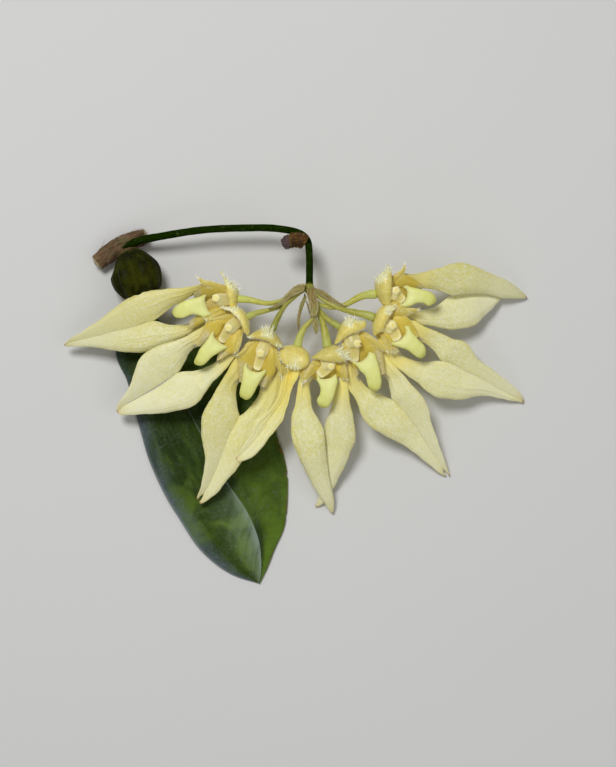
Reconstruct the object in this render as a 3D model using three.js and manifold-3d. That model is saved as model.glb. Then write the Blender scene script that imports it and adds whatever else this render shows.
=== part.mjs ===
// Bulbophyllum orchid, as picked: an umbel of eight flowers on its flower stem, with one leaf,
// its pseudobulb and a short cut piece of rhizome, lying on its back on a flat surface.
// Millimetres, +Z up, origin at the centre of the footprint on the surface.
import * as THREE from "three";
import Module from "manifold-3d";

// ---------------------------------------------------------------- driving dimensions (mm)
const GAP = 0.3; // clearance kept between neighbouring pieces
const SEPAL_THICK = 0.85; // lateral sepal at its middle
const SEPAL_EDGE = 0.42; // lateral sepal at its margin
const SEAM_LAP = 0.22; // how far the two halves of a pair run into each other along the seam
const TIP_WIDTH = 0.55; // least width of a blade's end
const HOOD_THICK = 0.6; // dorsal sepal
const HOOD_CROWN = 1.25;
const PETAL_THICK = 0.5;
const LIP_THICK = 1.7; // the lip is thick and waxy
const LIP_EDGE = 0.7;
const BRACT_THICK = 0.42;
const SHEATH_THICK = 0.7;
const LEAF_THICK = 1.0; // at the midrib
const LEAF_EDGE = 0.6;
const ANTHER_R = 0.82; // anther cap
const STEM_SIDES = 8;
const PEDICEL_SIDES = 6;
const BULB_SIDES = 14;

// ---------------------------------------------------------------- colours and finishes
const mat = (color, roughness) =>
  new THREE.MeshStandardMaterial({ color, roughness, metalness: 0 });
const M = {
  sepal: mat(0xdcd8ac, 0.5),
  hood: mat(0xc9b96a, 0.5),
  petal: mat(0xd2c27e, 0.5),
  lip: mat(0xdbe08a, 0.3),
  column: mat(0xded3a0, 0.35),
  stem: mat(0x9aa04a, 0.45),
  bract: mat(0x9a8a72, 0.8),
  sheath: mat(0x8d7350, 0.85),
  leaf: mat(0x3f5a20, 0.45),
  bulb: mat(0x3c4414, 0.35),
  rhizome: mat(0x5a4a26, 0.75),
};

// ---------------------------------------------------------------- traced forms
// A blade's row is its two margins, [x, y, z, x, y, z], base to tip, and on the lateral
// sepals the height of the crown between them. A stem's row is [x, y, z, radius].
const STEM = [[-34.79,31.95,3.0,0.84],[-32.4,32.9,3.87,0.81],[-29.91,33.52,4.66,0.78],[-27.37,33.92,5.39,0.76],[-24.87,34.33,5.73,0.75],[-22.37,34.72,6.05,0.74],[-19.87,35.05,6.26,0.73],[-17.36,35.28,6.36,0.72],[-14.85,35.43,6.4,0.72],[-12.34,35.52,6.4,0.72],[-9.82,35.57,6.41,0.72],[-7.31,35.6,6.52,0.72],[-4.79,35.51,6.68,0.72],[-2.29,35.2,7.17,0.72],[0.16,34.62,7.83,0.72],[2.15,33.15,8.67,0.72],[2.64,30.69,9.25,0.7],[2.72,28.17,9.66,0.7],[2.71,25.66,10.05,0.71],[2.66,23.15,10.4,0.92]];
const PEDICELS = {
  f1: [[-11.49,21.2,10.8,0.84],[-9.13,20.95,10.69,0.66],[-6.81,20.44,10.6,0.52],[-4.44,20.4,10.6,0.47],[-2.17,21.11,10.6,0.45],[-0.01,22.1,10.6,0.44],[2.02,23.34,10.6,0.48]],
  f2: [[-9.68,17.54,11.6,0.76],[-7.66,18.39,11.04,0.58],[-5.53,18.91,10.6,0.47],[-3.42,19.53,10.6,0.44],[-1.56,20.68,10.6,0.44],[0.19,22.02,10.6,0.44],[2.02,23.24,10.6,0.48]],
  f3: [[-4.63,14.98,11.1,0.72],[-3.94,16.61,11.16,0.63],[-3.15,18.19,11.27,0.53],[-2.21,19.68,11.6,0.47],[-0.96,20.93,11.27,0.45],[0.38,22.09,10.93,0.44],[1.82,23.14,10.6,0.48]],
  f4: [[0.33,11.81,10.4,0.92],[0.88,13.81,10.48,0.73],[1.87,15.63,10.57,0.57],[3.36,17.06,10.57,0.48],[3.91,19.0,10.51,0.45],[3.34,21.0,10.46,0.44],[2.62,22.95,10.4,0.48]],
  f5: [[6.29,11.6,11.1,0.98],[5.98,13.47,10.82,0.84],[5.62,15.33,10.6,0.7],[5.05,17.13,10.6,0.56],[4.37,18.89,10.6,0.48],[3.59,20.62,10.6,0.44],[2.82,22.35,10.6,0.46]],
  f6: [[8.77,15.47,11.4,0.72],[7.46,16.35,10.96,0.64],[6.17,17.26,10.6,0.56],[5.06,18.38,10.6,0.52],[4.24,19.72,10.6,0.46],[3.52,21.13,10.6,0.44],[2.82,22.54,10.6,0.46]],
  f7: [[15.52,17.45,11.4,0.94],[13.32,18.15,11.26,0.77],[11.06,18.61,11.2,0.61],[8.83,19.23,11.5,0.51],[6.73,20.19,11.2,0.45],[4.79,21.45,10.9,0.44],[3.02,22.94,10.6,0.48]],
  f8: [[15.91,22.11,11.6,0.98],[13.42,21.82,11.04,0.78],[11.17,20.71,10.6,0.61],[8.89,19.64,10.6,0.5],[6.38,19.61,10.6,0.47],[4.09,20.56,10.6,0.45],[2.82,22.74,10.6,0.48]],
};
const LATERALS = {
  f1a: [[-12.71,22.96,10.2,-12.91,20.98,10.0,0.34],[-16.27,24.01,9.8,-16.42,21.7,9.33,0.4],[-19.96,23.92,9.4,-19.87,22.19,8.63,0.3],[-23.65,23.4,9.0,-23.08,20.56,7.9,0.5],[-27.36,23.1,8.68,-26.12,18.65,7.3,0.8],[-31.05,22.54,8.36,-29.2,16.8,6.85,1.04],[-34.38,20.86,7.76,-32.66,15.75,6.4,0.93],[-37.44,18.67,6.88,-36.2,14.91,5.8,0.68],[-40.49,16.44,6.0,-39.74,13.99,5.2,0.44],[-43.72,14.42,5.0,-43.31,13.18,4.55,0.23],[-46.81,12.2,4.0,-46.82,12.12,3.9,0.01]],
  f1b: [[-12.31,18.58,10.2,-12.91,20.98,10.0,0.42],[-15.44,16.85,9.53,-16.12,19.53,9.33,0.47],[-18.74,15.39,8.8,-19.22,17.83,8.63,0.42],[-22.04,13.92,8.0,-22.4,16.29,7.9,0.41],[-25.28,12.33,7.44,-25.94,16.32,7.3,0.69],[-28.65,10.99,6.88,-29.45,16.65,6.85,0.97],[-32.24,10.58,6.32,-32.88,15.69,6.4,0.87],[-35.88,10.85,5.76,-36.37,14.87,5.8,0.69],[-39.49,11.45,5.2,-39.85,13.97,5.2,0.43],[-43.16,11.74,4.5,-43.36,13.16,4.55,0.24],[-46.84,12.04,3.8,-46.82,12.12,3.9,0.01]],
  f2a: [[-11.69,18.55,11.0,-10.9,16.77,10.8,0.33],[-14.84,17.55,10.73,-13.63,15.3,10.4,0.44],[-17.82,16.11,10.4,-16.42,13.93,9.87,0.45],[-20.69,14.45,10.0,-18.91,12.04,9.2,0.52],[-23.72,13.07,9.6,-21.38,10.16,8.2,0.65],[-26.89,12.05,9.2,-22.98,7.47,7.45,1.04],[-29.87,10.53,8.56,-25.34,5.41,6.88,1.1],[-31.89,7.91,7.68,-27.97,3.67,6.24,0.99],[-33.03,4.76,6.8,-30.73,2.09,5.6,0.61],[-34.74,1.85,5.6,-33.51,0.54,4.9,0.31],[-36.17,-1.19,4.4,-36.1,-1.32,4.2,0.02]],
  f2b: [[-9.7,15.77,11.0,-10.9,16.77,10.8,0.27],[-11.03,12.57,10.87,-12.3,13.92,10.4,0.31],[-12.29,9.36,10.5,-14.04,11.25,9.87,0.44],[-14.48,6.64,9.9,-16.06,8.78,9.2,0.45],[-16.92,4.11,9.14,-18.9,7.29,8.2,0.63],[-19.01,1.28,8.38,-22.09,6.75,7.45,1.06],[-21.94,-0.61,7.6,-25.07,5.6,6.88,1.1],[-25.4,-1.42,6.8,-27.76,3.8,6.24,0.97],[-28.95,-1.76,6.0,-30.58,2.17,5.6,0.72],[-32.53,-1.95,5.1,-33.44,0.59,4.9,0.45],[-36.06,-1.52,4.2,-36.1,-1.32,4.2,0.03]],
  f3a: [[-8.72,13.1,10.5,-6.73,12.81,10.3,0.34],[-11.25,10.68,10.17,-7.63,9.42,9.83,0.66],[-13.16,7.71,9.67,-9.48,6.42,9.1,0.67],[-14.99,4.67,9.0,-11.65,3.63,8.1,0.6],[-16.8,1.62,8.44,-11.77,0.13,7.3,0.9],[-18.46,-1.51,7.88,-11.95,-3.35,6.65,1.1],[-18.97,-5.01,7.2,-13.58,-6.52,6.08,0.96],[-18.55,-8.55,6.4,-14.83,-9.88,5.44,0.67],[-18.4,-12.12,5.6,-16.18,-13.21,4.8,0.42],[-19.07,-15.67,4.6,-17.75,-16.45,4.05,0.26],[-20.0,-19.18,3.6,-19.71,-19.5,3.3,0.07]],
  f3b: [[-4.34,12.6,10.5,-6.73,12.81,10.3,0.41],[-3.25,8.99,10.17,-6.31,9.3,9.83,0.52],[-2.97,5.18,9.53,-6.62,5.78,9.1,0.63],[-3.35,1.39,8.6,-7.51,2.34,8.1,0.72],[-4.81,-2.16,7.72,-9.51,-0.6,7.3,0.84],[-6.72,-5.52,6.84,-11.89,-3.27,6.65,0.96],[-8.81,-8.78,6.12,-13.54,-6.45,6.08,0.89],[-11.15,-11.86,5.56,-14.81,-9.82,5.44,0.71],[-13.6,-14.88,5.0,-16.16,-13.17,4.8,0.52],[-16.15,-17.83,4.2,-17.74,-16.43,4.05,0.36],[-19.4,-20.0,3.4,-19.71,-19.5,3.3,0.1]],
  f4a: [[-1.55,9.02,11.0,-0.26,9.02,10.8,0.22],[-2.73,7.07,11.0,-1.01,6.81,10.67,0.3],[-3.02,4.81,10.93,-1.53,4.54,10.5,0.26],[-3.4,2.55,10.8,-2.12,2.28,10.3,0.22],[-4.33,0.47,10.6,-3.13,0.17,10.03,0.21],[-5.85,-1.23,10.4,-4.47,-1.75,9.75,0.25],[-7.72,-2.58,10.1,-5.76,-3.71,9.46,0.39],[-8.82,-4.55,9.7,-7.07,-5.66,9.18,0.35],[-9.64,-6.7,9.3,-8.56,-7.48,8.9,0.23],[-10.89,-8.65,8.9,-10.23,-9.15,8.6,0.14],[-12.08,-10.63,8.5,-11.97,-10.74,8.3,0.03]],
  f4b: [[1.03,9.02,11.0,-0.26,9.02,10.8,0.22],[0.72,6.5,11.13,-1.01,6.81,10.67,0.3],[-0.32,4.18,11.13,-1.53,4.54,10.5,0.21],[-1.18,1.78,11.0,-2.12,2.28,10.3,0.18],[-1.87,-0.68,10.72,-3.13,0.17,10.03,0.26],[-2.73,-3.08,10.44,-4.47,-1.75,9.75,0.37],[-4.24,-5.14,10.1,-5.76,-3.71,9.46,0.36],[-5.79,-7.2,9.7,-7.07,-5.66,9.18,0.34],[-7.43,-9.18,9.3,-8.56,-7.48,8.9,0.35],[-9.47,-10.72,8.9,-10.23,-9.15,8.6,0.3],[-11.96,-10.89,8.5,-11.97,-10.74,8.3,0.03]],
  f5a: [[4.81,9.82,10.5,6.6,9.42,10.5,0.31],[2.13,7.57,10.3,4.75,6.71,10.3,0.47],[0.57,4.44,9.93,2.92,4.04,9.93,0.41],[-0.06,0.98,9.4,3.09,0.78,9.4,0.54],[-0.81,-2.48,8.76,4.23,-2.29,8.76,0.86],[-0.85,-6.01,8.12,5.56,-5.3,8.12,1.1],[0.14,-9.42,7.08,5.97,-8.6,7.08,1.0],[1.64,-12.69,5.64,6.33,-11.94,5.64,0.8],[3.27,-15.91,4.2,6.84,-15.29,4.2,0.61],[5.15,-19.03,2.6,7.53,-18.62,2.6,0.41],[7.29,-21.99,1.0,7.42,-22.03,1.0,0.02]],
  f5b: [[8.39,9.82,10.5,6.6,9.42,10.5,0.31],[10.18,7.16,10.3,7.95,6.7,10.3,0.39],[10.43,3.85,9.77,8.02,3.71,9.77,0.41],[10.85,0.54,8.9,7.33,0.74,8.9,0.6],[11.54,-2.74,7.74,6.41,-2.18,7.74,0.88],[11.88,-6.09,6.58,5.67,-5.15,6.58,1.06],[11.05,-9.35,5.32,5.41,-8.24,5.32,0.97],[9.77,-12.49,3.96,5.11,-11.35,3.96,0.81],[8.28,-15.57,2.6,4.93,-14.48,2.6,0.59],[6.54,-18.51,1.6,4.73,-17.61,1.6,0.34],[4.05,-20.76,0.6,3.88,-20.63,0.6,0.03]],
  f6a: [[9.38,12.8,10.8,11.57,14.19,10.6,0.44],[10.15,9.24,10.53,11.84,10.65,10.2,0.37],[10.31,5.6,10.0,12.29,7.12,9.53,0.42],[11.29,2.12,9.2,13.95,4.0,8.6,0.55],[12.84,-1.21,8.16,17.02,2.14,7.53,0.91],[14.94,-4.21,7.12,20.15,0.35,6.5,1.1],[18.07,-6.22,5.96,22.66,-2.28,5.38,1.02],[21.4,-7.95,4.68,24.77,-5.27,4.14,0.73],[24.46,-10.15,3.4,26.78,-8.35,2.9,0.49],[27.42,-12.51,2.1,28.8,-11.44,1.75,0.29],[30.56,-14.65,0.8,30.88,-14.52,0.6,0.06]],
  f6b: [[13.75,14.78,10.8,11.57,14.19,10.6,0.39],[16.08,12.33,10.67,14.0,11.78,10.2,0.37],[18.16,9.65,10.33,15.99,9.01,9.53,0.39],[20.44,7.13,9.8,17.46,5.91,8.6,0.56],[22.73,4.58,8.84,18.87,2.79,7.53,0.73],[25.05,2.05,7.88,20.67,-0.12,6.5,0.84],[26.62,-1.0,6.72,23.0,-2.72,5.38,0.69],[27.54,-4.33,5.36,25.0,-5.62,4.14,0.49],[28.77,-7.6,4.0,26.93,-8.59,2.9,0.36],[29.98,-10.9,2.45,28.88,-11.56,1.75,0.22],[31.17,-14.24,0.9,30.88,-14.52,0.6,0.07]],
  f7a: [[18.12,19.75,10.8,17.14,16.98,10.4,0.51],[21.06,18.11,10.53,20.24,15.88,10.0,0.41],[24.06,16.55,10.0,22.98,14.08,9.33,0.47],[27.14,15.12,9.2,25.76,12.29,8.4,0.54],[30.3,13.78,8.08,28.24,10.1,7.33,0.72],[33.56,12.69,6.96,31.06,8.41,6.3,0.85],[35.94,10.27,5.8,34.1,6.95,5.2,0.65],[38.48,7.95,4.6,37.15,5.44,4.0,0.48],[41.3,5.9,3.4,40.17,3.85,2.8,0.4],[44.07,3.75,2.15,43.18,2.22,1.7,0.3],[46.2,1.0,0.9,46.21,0.59,0.6,0.07]],
  f7b: [[15.64,14.79,10.6,17.14,16.98,10.4,0.45],[17.03,11.49,10.33,18.67,13.91,10.0,0.5],[19.09,8.56,9.8,20.56,11.04,9.33,0.49],[21.86,6.24,9.0,23.34,9.1,8.4,0.54],[24.77,4.06,7.96,26.81,8.75,7.33,0.87],[27.73,1.93,6.92,30.31,8.62,6.3,1.1],[31.32,1.19,5.76,33.55,7.25,5.2,1.09],[35.01,1.43,4.48,36.73,5.66,4.0,0.77],[38.72,1.73,3.2,39.89,4.0,2.8,0.43],[42.42,1.09,1.95,43.04,2.3,1.7,0.23],[46.12,0.35,0.7,46.21,0.59,0.6,0.04]],
  f8a: [[17.92,24.91,11.0,17.12,22.53,11.0,0.43],[20.72,26.04,10.87,19.97,23.16,10.87,0.51],[23.76,26.24,10.53,22.88,23.45,10.53,0.5],[26.75,26.89,10.0,25.81,23.25,10.0,0.64],[29.73,27.8,8.88,28.75,22.77,8.88,0.87],[32.77,28.47,7.76,31.64,22.08,7.76,1.1],[35.83,27.9,6.52,34.66,22.28,6.52,0.97],[38.74,26.72,5.16,37.7,22.34,5.16,0.76],[41.68,25.57,3.8,40.71,21.83,3.8,0.65],[44.46,24.07,2.35,43.77,21.55,2.35,0.44],[46.87,22.04,0.9,46.87,21.8,0.9,0.04]],
  f8b: [[17.12,20.14,11.0,17.12,22.53,11.0,0.41],[19.49,18.63,10.6,19.18,20.89,10.6,0.39],[22.13,17.6,9.93,21.4,19.47,9.93,0.34],[24.7,16.36,9.0,23.99,18.94,9.0,0.45],[27.51,15.74,7.8,26.66,19.33,7.8,0.63],[30.37,15.27,6.6,29.08,20.57,6.6,0.92],[33.27,15.36,5.48,31.4,22.0,5.48,1.1],[36.06,16.23,4.44,34.05,22.65,4.44,1.1],[38.28,18.13,3.4,36.79,22.8,3.4,0.82],[40.34,20.21,2.6,39.52,22.6,2.6,0.42],[42.44,22.25,1.8,42.26,22.46,1.8,0.05]],
};
const LIPS = {
  f1: {"rows":[[-17.66,21.85,11.5,-16.67,18.22,11.5],[-18.91,21.53,11.8,-17.94,17.64,11.8],[-20.17,21.27,12.0,-19.31,17.83,12.0],[-21.43,20.95,11.9,-20.7,17.96,11.9],[-22.64,20.47,11.6,-22.04,17.48,11.6],[-23.75,19.78,11.1,-23.46,17.41,11.1],[-24.57,18.77,10.5,-24.57,18.27,10.5]],"notch":[-0.5,-0.01]},
  f2: {"rows":[[-16.06,14.67,12.3,-13.45,11.84,12.3],[-16.93,13.76,12.6,-14.46,11.04,12.6],[-17.72,12.77,12.8,-15.51,10.29,12.8],[-18.53,11.8,12.7,-16.58,9.56,12.7],[-19.25,10.76,12.4,-17.51,8.66,12.4],[-19.79,9.61,11.9,-18.62,7.98,11.9],[-20.21,8.42,11.3,-19.92,8.1,11.3]],"notch":[-0.8,-0.09]},
  f3: {"rows":[[-9.64,8.67,11.8,-5.91,7.36,11.8],[-10.21,7.62,12.1,-6.33,6.15,12.1],[-10.48,6.44,12.3,-6.92,5.01,12.3],[-10.63,5.24,12.2,-7.55,3.88,12.2],[-10.88,4.05,11.9,-8.15,2.74,11.9],[-11.12,2.86,11.4,-8.87,1.67,11.4],[-11.0,1.67,10.8,-10.0,1.07,10.8]],"notch":[-0.62,-0.92]},
  f4: {"rows":[[-1.38,7.85,7.6,0.82,7.85,7.6],[-1.64,7.14,7.5,0.57,7.11,7.5],[-1.82,6.41,7.3,0.32,6.36,7.3],[-1.89,5.65,7.1,0.07,5.61,7.1],[-1.82,4.9,6.9,-0.22,4.88,6.9],[-1.66,4.16,6.8,-0.54,4.15,6.8],[-1.39,3.45,6.7,-0.89,3.45,6.7]],"notch":[0.0,-0.6]},
  f5: {"rows":[[4.09,6.15,11.8,8.31,5.64,11.8],[4.2,5.06,12.1,8.29,4.42,12.1],[4.62,4.05,12.3,7.97,3.23,12.3],[4.87,2.98,12.2,7.62,2.06,12.2],[4.6,1.93,11.9,7.18,0.91,11.9],[4.23,0.91,11.4,6.52,-0.12,11.4],[4.61,-0.12,10.8,5.4,-0.56,10.8]],"notch":[-0.71,-0.38]},
  f6: {"rows":[[11.24,9.01,12.1,14.41,10.73,12.1],[11.97,8.02,12.4,15.63,9.86,12.4],[12.66,7.0,12.6,16.27,8.46,12.6],[13.51,6.13,12.5,16.67,6.98,12.5],[14.02,5.01,12.2,16.93,5.46,12.2],[14.38,3.83,11.7,16.86,3.93,11.7],[15.13,2.86,11.1,15.93,2.76,11.1]],"notch":[0.2,-0.79]},
  f7: {"rows":[[21.35,15.84,12.1,18.77,12.67,12.1],[22.47,15.29,12.4,19.77,11.95,12.4],[23.26,14.28,12.6,20.87,11.41,12.6],[24.09,13.28,12.5,22.04,10.98,12.5],[25.0,12.36,12.2,23.05,10.27,12.2],[25.7,11.28,11.7,24.11,9.59,11.7],[25.76,10.01,11.1,25.34,9.53,11.1]],"notch":[0.96,-0.5]},
  f8: {"rows":[[21.04,23.47,12.3,20.55,19.9,12.3],[22.29,23.51,12.6,21.75,19.63,12.6],[23.55,23.28,12.8,22.96,19.8,12.8],[24.81,23.0,12.7,24.13,20.22,12.7],[26.07,22.68,12.4,25.37,20.14,12.4],[27.21,22.08,11.9,26.57,19.82,11.9],[27.93,21.03,11.3,27.71,20.37,11.3]],"notch":[0.97,0.1]},
};
const HOODS = {
  f1: [[-14.74,26.6,11.0,-14.71,26.56,11.8],[-14.07,25.65,10.3,-14.37,25.5,13.0],[-13.21,24.84,9.8,-14.06,24.47,13.7],[-12.25,24.12,9.6,-13.81,23.44,13.9],[-11.51,23.16,9.6,-13.63,22.42,13.9],[-11.35,21.96,9.9,-13.38,21.43,13.6],[-11.51,20.75,10.3,-13.15,20.45,12.8],[-11.78,19.55,11.0,-13.09,19.45,11.6]],
  f2: [[-14.63,19.52,11.8,-14.6,19.1,12.6],[-13.26,19.6,11.1,-13.52,18.79,13.8],[-11.87,19.54,10.6,-12.58,18.22,14.5],[-10.57,19.09,10.4,-11.78,17.5,14.7],[-9.68,18.01,10.4,-11.11,16.66,14.7],[-9.24,16.67,10.7,-10.66,15.7,14.4],[-9.14,15.26,11.1,-10.29,14.71,13.6],[-9.38,13.87,11.8,-9.66,13.9,12.4]],
  f3: [[-9.69,13.66,11.3,-9.57,13.33,12.1],[-8.53,14.46,10.6,-8.48,13.18,13.3],[-7.29,15.13,10.1,-7.41,13.12,14.0],[-5.95,15.59,9.9,-6.36,12.92,14.2],[-4.64,15.21,9.9,-5.37,12.56,14.2],[-3.76,14.09,10.2,-4.52,11.94,13.9],[-2.99,12.89,10.6,-3.54,11.58,13.1],[-2.38,11.6,11.3,-2.5,11.47,11.9]],
  f4: [[-3.34,9.52,10.8,-3.34,9.31,11.2],[-3.36,10.79,10.4,-2.57,8.41,12.2],[-2.44,11.69,10.2,-1.69,7.64,12.6],[-1.17,12.01,10.2,-0.65,7.1,12.6],[0.14,11.99,10.2,0.5,6.99,12.6],[1.37,11.52,10.4,1.62,7.31,12.6],[2.34,10.64,10.8,2.46,8.1,12.2],[2.74,9.42,11,2.8,9.22,11.2]],
  f5: [[3.04,9.57,11.3,3.11,9.28,12.1],[4.07,10.36,10.6,4.27,9.1,13.3],[5.09,11.17,10.1,5.42,8.83,14.0],[6.23,11.79,9.9,6.57,8.64,14.2],[7.49,12.05,9.9,7.74,8.58,14.2],[8.75,11.81,10.2,8.92,8.64,13.9],[9.84,11.11,10.6,10.03,9.03,13.1],[10.76,10.21,11.3,10.85,9.9,11.9]],
  f6: [[7.64,12.39,11.6,7.77,12.09,12.4],[8.05,13.69,10.9,8.7,12.62,13.6],[8.45,15.0,10.4,9.54,13.29,14.3],[9.08,16.2,10.2,10.47,13.84,14.5],[10.08,17.1,10.2,11.47,14.28,14.5],[11.4,17.25,10.5,12.49,14.68,14.2],[12.72,17.0,10.9,13.44,15.28,13.4],[13.97,16.55,11.6,13.99,16.24,12.2]],
  f7: [[18.69,20.02,11.6,20.24,19.5,12.4],[17.56,19.9,10.9,19.41,18.74,13.6],[16.62,19.29,10.4,18.74,17.88,14.3],[15.95,18.35,10.2,18.17,16.96,14.5],[15.5,17.27,10.2,17.7,16.01,14.5],[15.2,16.13,10.5,17.25,15.06,14.2],[15.23,14.96,10.9,16.52,14.34,13.4],[15.47,13.81,11.6,15.68,13.76,12.2]],
  f8: [[18.28,27.79,11.8,18.57,27.71,12.6],[17.46,26.82,11.1,18.85,26.57,13.8],[16.51,25.95,10.6,18.95,25.42,14.5],[15.79,24.88,10.4,18.94,24.28,14.7],[15.68,23.57,10.4,18.91,23.16,14.7],[15.93,22.27,10.7,18.88,22.05,14.4],[16.43,21.04,11.1,18.8,20.96,13.6],[17.13,19.92,11.8,18.62,19.9,12.4]],
};
const PETALS = {
  f1_petal_left: [[-13.25,23.69,11.6,-13.85,21.91,11.6],[-14.8,24.07,11.8,-15.3,22.69,11.8],[-16.34,24.51,11.9,-16.8,23.37,11.9],[-17.9,24.85,11.9,-18.34,23.98,11.9],[-19.39,25.43,11.8,-19.39,25.23,11.8]],
  f1_petal_right: [[-13.45,19.53,11.6,-12.86,18.54,11.6],[-14.69,19.1,11.8,-14.16,17.86,11.8],[-15.91,18.59,11.9,-15.52,17.3,11.9],[-17.08,18.01,11.9,-16.95,16.98,11.9],[-18.3,17.5,11.8,-18.3,17.34,11.8]],
  f2_petal_left: [[-12.24,18.31,12.4,-11.84,16.53,12.4],[-13.63,18.04,12.6,-13.31,16.7,12.6],[-14.99,17.64,12.7,-14.8,16.65,12.7],[-16.37,17.26,12.7,-16.29,16.61,12.7],[-17.77,17.0,12.6,-17.77,16.8,12.6]],
  f2_petal_right: [[-11.84,15.34,12.4,-10.45,14.95,12.4],[-11.81,14.14,12.6,-10.55,13.74,12.6],[-11.92,12.94,12.7,-10.74,12.54,12.7],[-12.19,11.78,12.7,-11.14,11.41,12.7],[-12.11,10.59,12.6,-11.79,10.39,12.6]],
  f3_petal_left: [[-7.69,13.17,11.9,-7.49,11.39,11.9],[-8.82,12.55,12.1,-8.58,11.09,12.1],[-9.84,11.77,12.2,-9.57,10.54,12.2],[-10.78,10.89,12.2,-10.56,10.0,12.2],[-11.75,10.04,12.1,-11.65,9.7,12.1]],
  f3_petal_right: [[-4.92,12.58,11.9,-5.71,11.39,11.9],[-3.86,11.16,12.1,-4.83,10.15,12.1],[-3.25,9.51,12.2,-4.16,8.79,12.2],[-2.87,7.79,12.2,-3.57,7.39,12.2],[-2.81,6.03,12.1,-3.03,5.98,12.1]],
  f4_petal_left: [[-2.35,9.22,11.2,-1.35,8.22,11.2],[-2.84,8.4,11.4,-1.63,7.52,11.4],[-3.16,7.51,11.5,-1.9,6.82,11.5],[-3.16,6.56,11.5,-2.21,6.14,11.5],[-2.94,5.64,11.4,-2.64,5.52,11.4]],
  f4_petal_right: [[0.83,8.22,11.2,2.02,8.82,11.2],[1.0,7.24,11.4,2.28,7.64,11.4],[0.98,6.24,11.5,2.09,6.45,11.5],[0.93,5.24,11.5,1.7,5.3,11.5],[1.03,4.25,11.4,1.27,4.17,11.4]],
  f5_petal_left: [[4.01,9.21,11.9,5.2,8.22,11.9],[3.03,8.4,12.1,4.26,7.44,12.1],[2.33,7.35,12.2,3.43,6.57,12.2],[1.87,6.17,12.2,2.64,5.64,12.2],[1.53,4.94,12.1,1.83,4.75,12.1]],
  f5_petal_right: [[7.77,8.81,11.9,8.96,9.21,11.9],[8.31,7.87,12.1,9.57,8.3,12.1],[8.82,6.9,12.2,10.04,7.31,12.2],[9.34,5.95,12.2,10.25,6.24,12.2],[9.95,5.04,12.1,10.27,5.14,12.1]],
  f6_petal_left: [[9.35,13.17,12.2,10.44,12.57,12.2],[9.15,12.23,12.4,10.31,11.7,12.4],[8.96,11.3,12.5,10.05,10.86,12.5],[8.85,10.35,12.5,9.66,10.07,12.5],[8.88,9.4,12.4,9.15,9.36,12.4]],
  f6_petal_right: [[12.92,14.75,12.2,12.33,13.37,12.2],[14.48,14.12,12.4,13.76,12.65,12.4],[15.84,13.13,12.5,15.18,11.91,12.5],[17.11,12.02,12.5,16.59,11.14,12.5],[18.26,10.79,12.4,18.07,10.51,12.4]],
  f7_petal_left: [[18.87,19.51,12.2,18.47,17.72,12.2],[20.24,19.41,12.4,19.99,17.64,12.4],[21.63,19.33,12.5,21.51,17.81,12.5],[23.02,19.27,12.5,22.96,18.3,12.5],[24.4,19.14,12.4,24.4,18.83,12.4]],
  f7_petal_right: [[17.68,14.95,12.2,16.49,14.36,12.2],[18.19,13.94,12.4,16.99,13.32,12.4],[18.59,12.89,12.5,17.55,12.3,12.5],[18.86,11.79,12.5,18.18,11.34,12.5],[19.17,10.71,12.4,18.94,10.47,12.4]],
  f8_petal_left: [[18.46,25.24,12.4,18.86,23.86,12.4],[19.29,25.82,12.6,19.97,24.52,12.6],[20.14,26.37,12.7,20.88,25.45,12.7],[20.92,27.03,12.7,21.56,26.56,12.7],[21.38,27.93,12.6,21.6,27.85,12.6]],
  f8_petal_right: [[18.66,21.28,12.4,18.07,20.09,12.4],[19.7,20.77,12.6,19.06,19.5,12.6],[20.69,20.16,12.7,20.1,19.02,12.7],[21.6,19.44,12.7,21.2,18.66,12.7],[22.49,18.7,12.6,22.33,18.42,12.6]],
};
const COLUMNS = {
  f1: {"p":[[-12.48,20.93,11.1],[-14.54,21.16,11.9],[-15.63,21.27,12.7]],"f":[[-14.24,21.14,11.4],[-17.44,19.74,11.1]],"r":[1.05,0.95,0.8,0.7]},
  f2: {"p":[[-10.47,17.14,11.9],[-12.28,15.96,12.7],[-13.25,15.31,13.5]],"f":[[-12.02,16.15,12.2],[-15.03,13.17,11.9]],"r":[1.05,0.95,0.8,0.7]},
  f3: {"p":[[-6.51,13.38,11.4],[-6.82,11.43,12.2],[-6.97,10.38,13.0]],"f":[[-6.78,11.74,11.7],[-7.7,7.82,11.4]],"r":[1.05,0.95,0.8400000000000001,0.7]},
  f4: {"p":[[-0.27,10.63,9.2],[-0.58,6.65,7.6]],"f":[[-0.43,8.65,8.4],[-0.79,5.45,7.0]],"r":[0.9,0.8,0.55]},
  f5: {"p":[[6.79,10.01,11.4],[6.95,8.49,12.2],[7.03,7.67,13.0]],"f":[[6.93,8.73,11.7],[6.29,6.24,11.4]],"r":[1.05,0.95,0.7200000000000001,0.7]},
  f6: {"p":[[10.95,14.96,11.7],[11.71,13.22,12.5],[12.1,12.28,13.3]],"f":[[11.6,13.49,12.0],[13.03,10.2,11.7]],"r":[1.05,0.95,0.8,0.7]},
  f7: {"p":[[16.7,16.75,11.7],[18.28,16.11,12.5],[19.12,15.75,13.3]],"f":[[18.05,16.22,12.0],[20.47,14.37,11.7]],"r":[1.05,0.95,0.86,0.7]},
  f8: {"p":[[16.7,22.29,11.9],[18.69,22.61,12.7],[19.75,22.76,13.5]],"f":[[18.4,22.58,12.2],[21.06,21.3,11.9]],"r":[1.05,0.95,0.8,0.7]},
};
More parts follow.
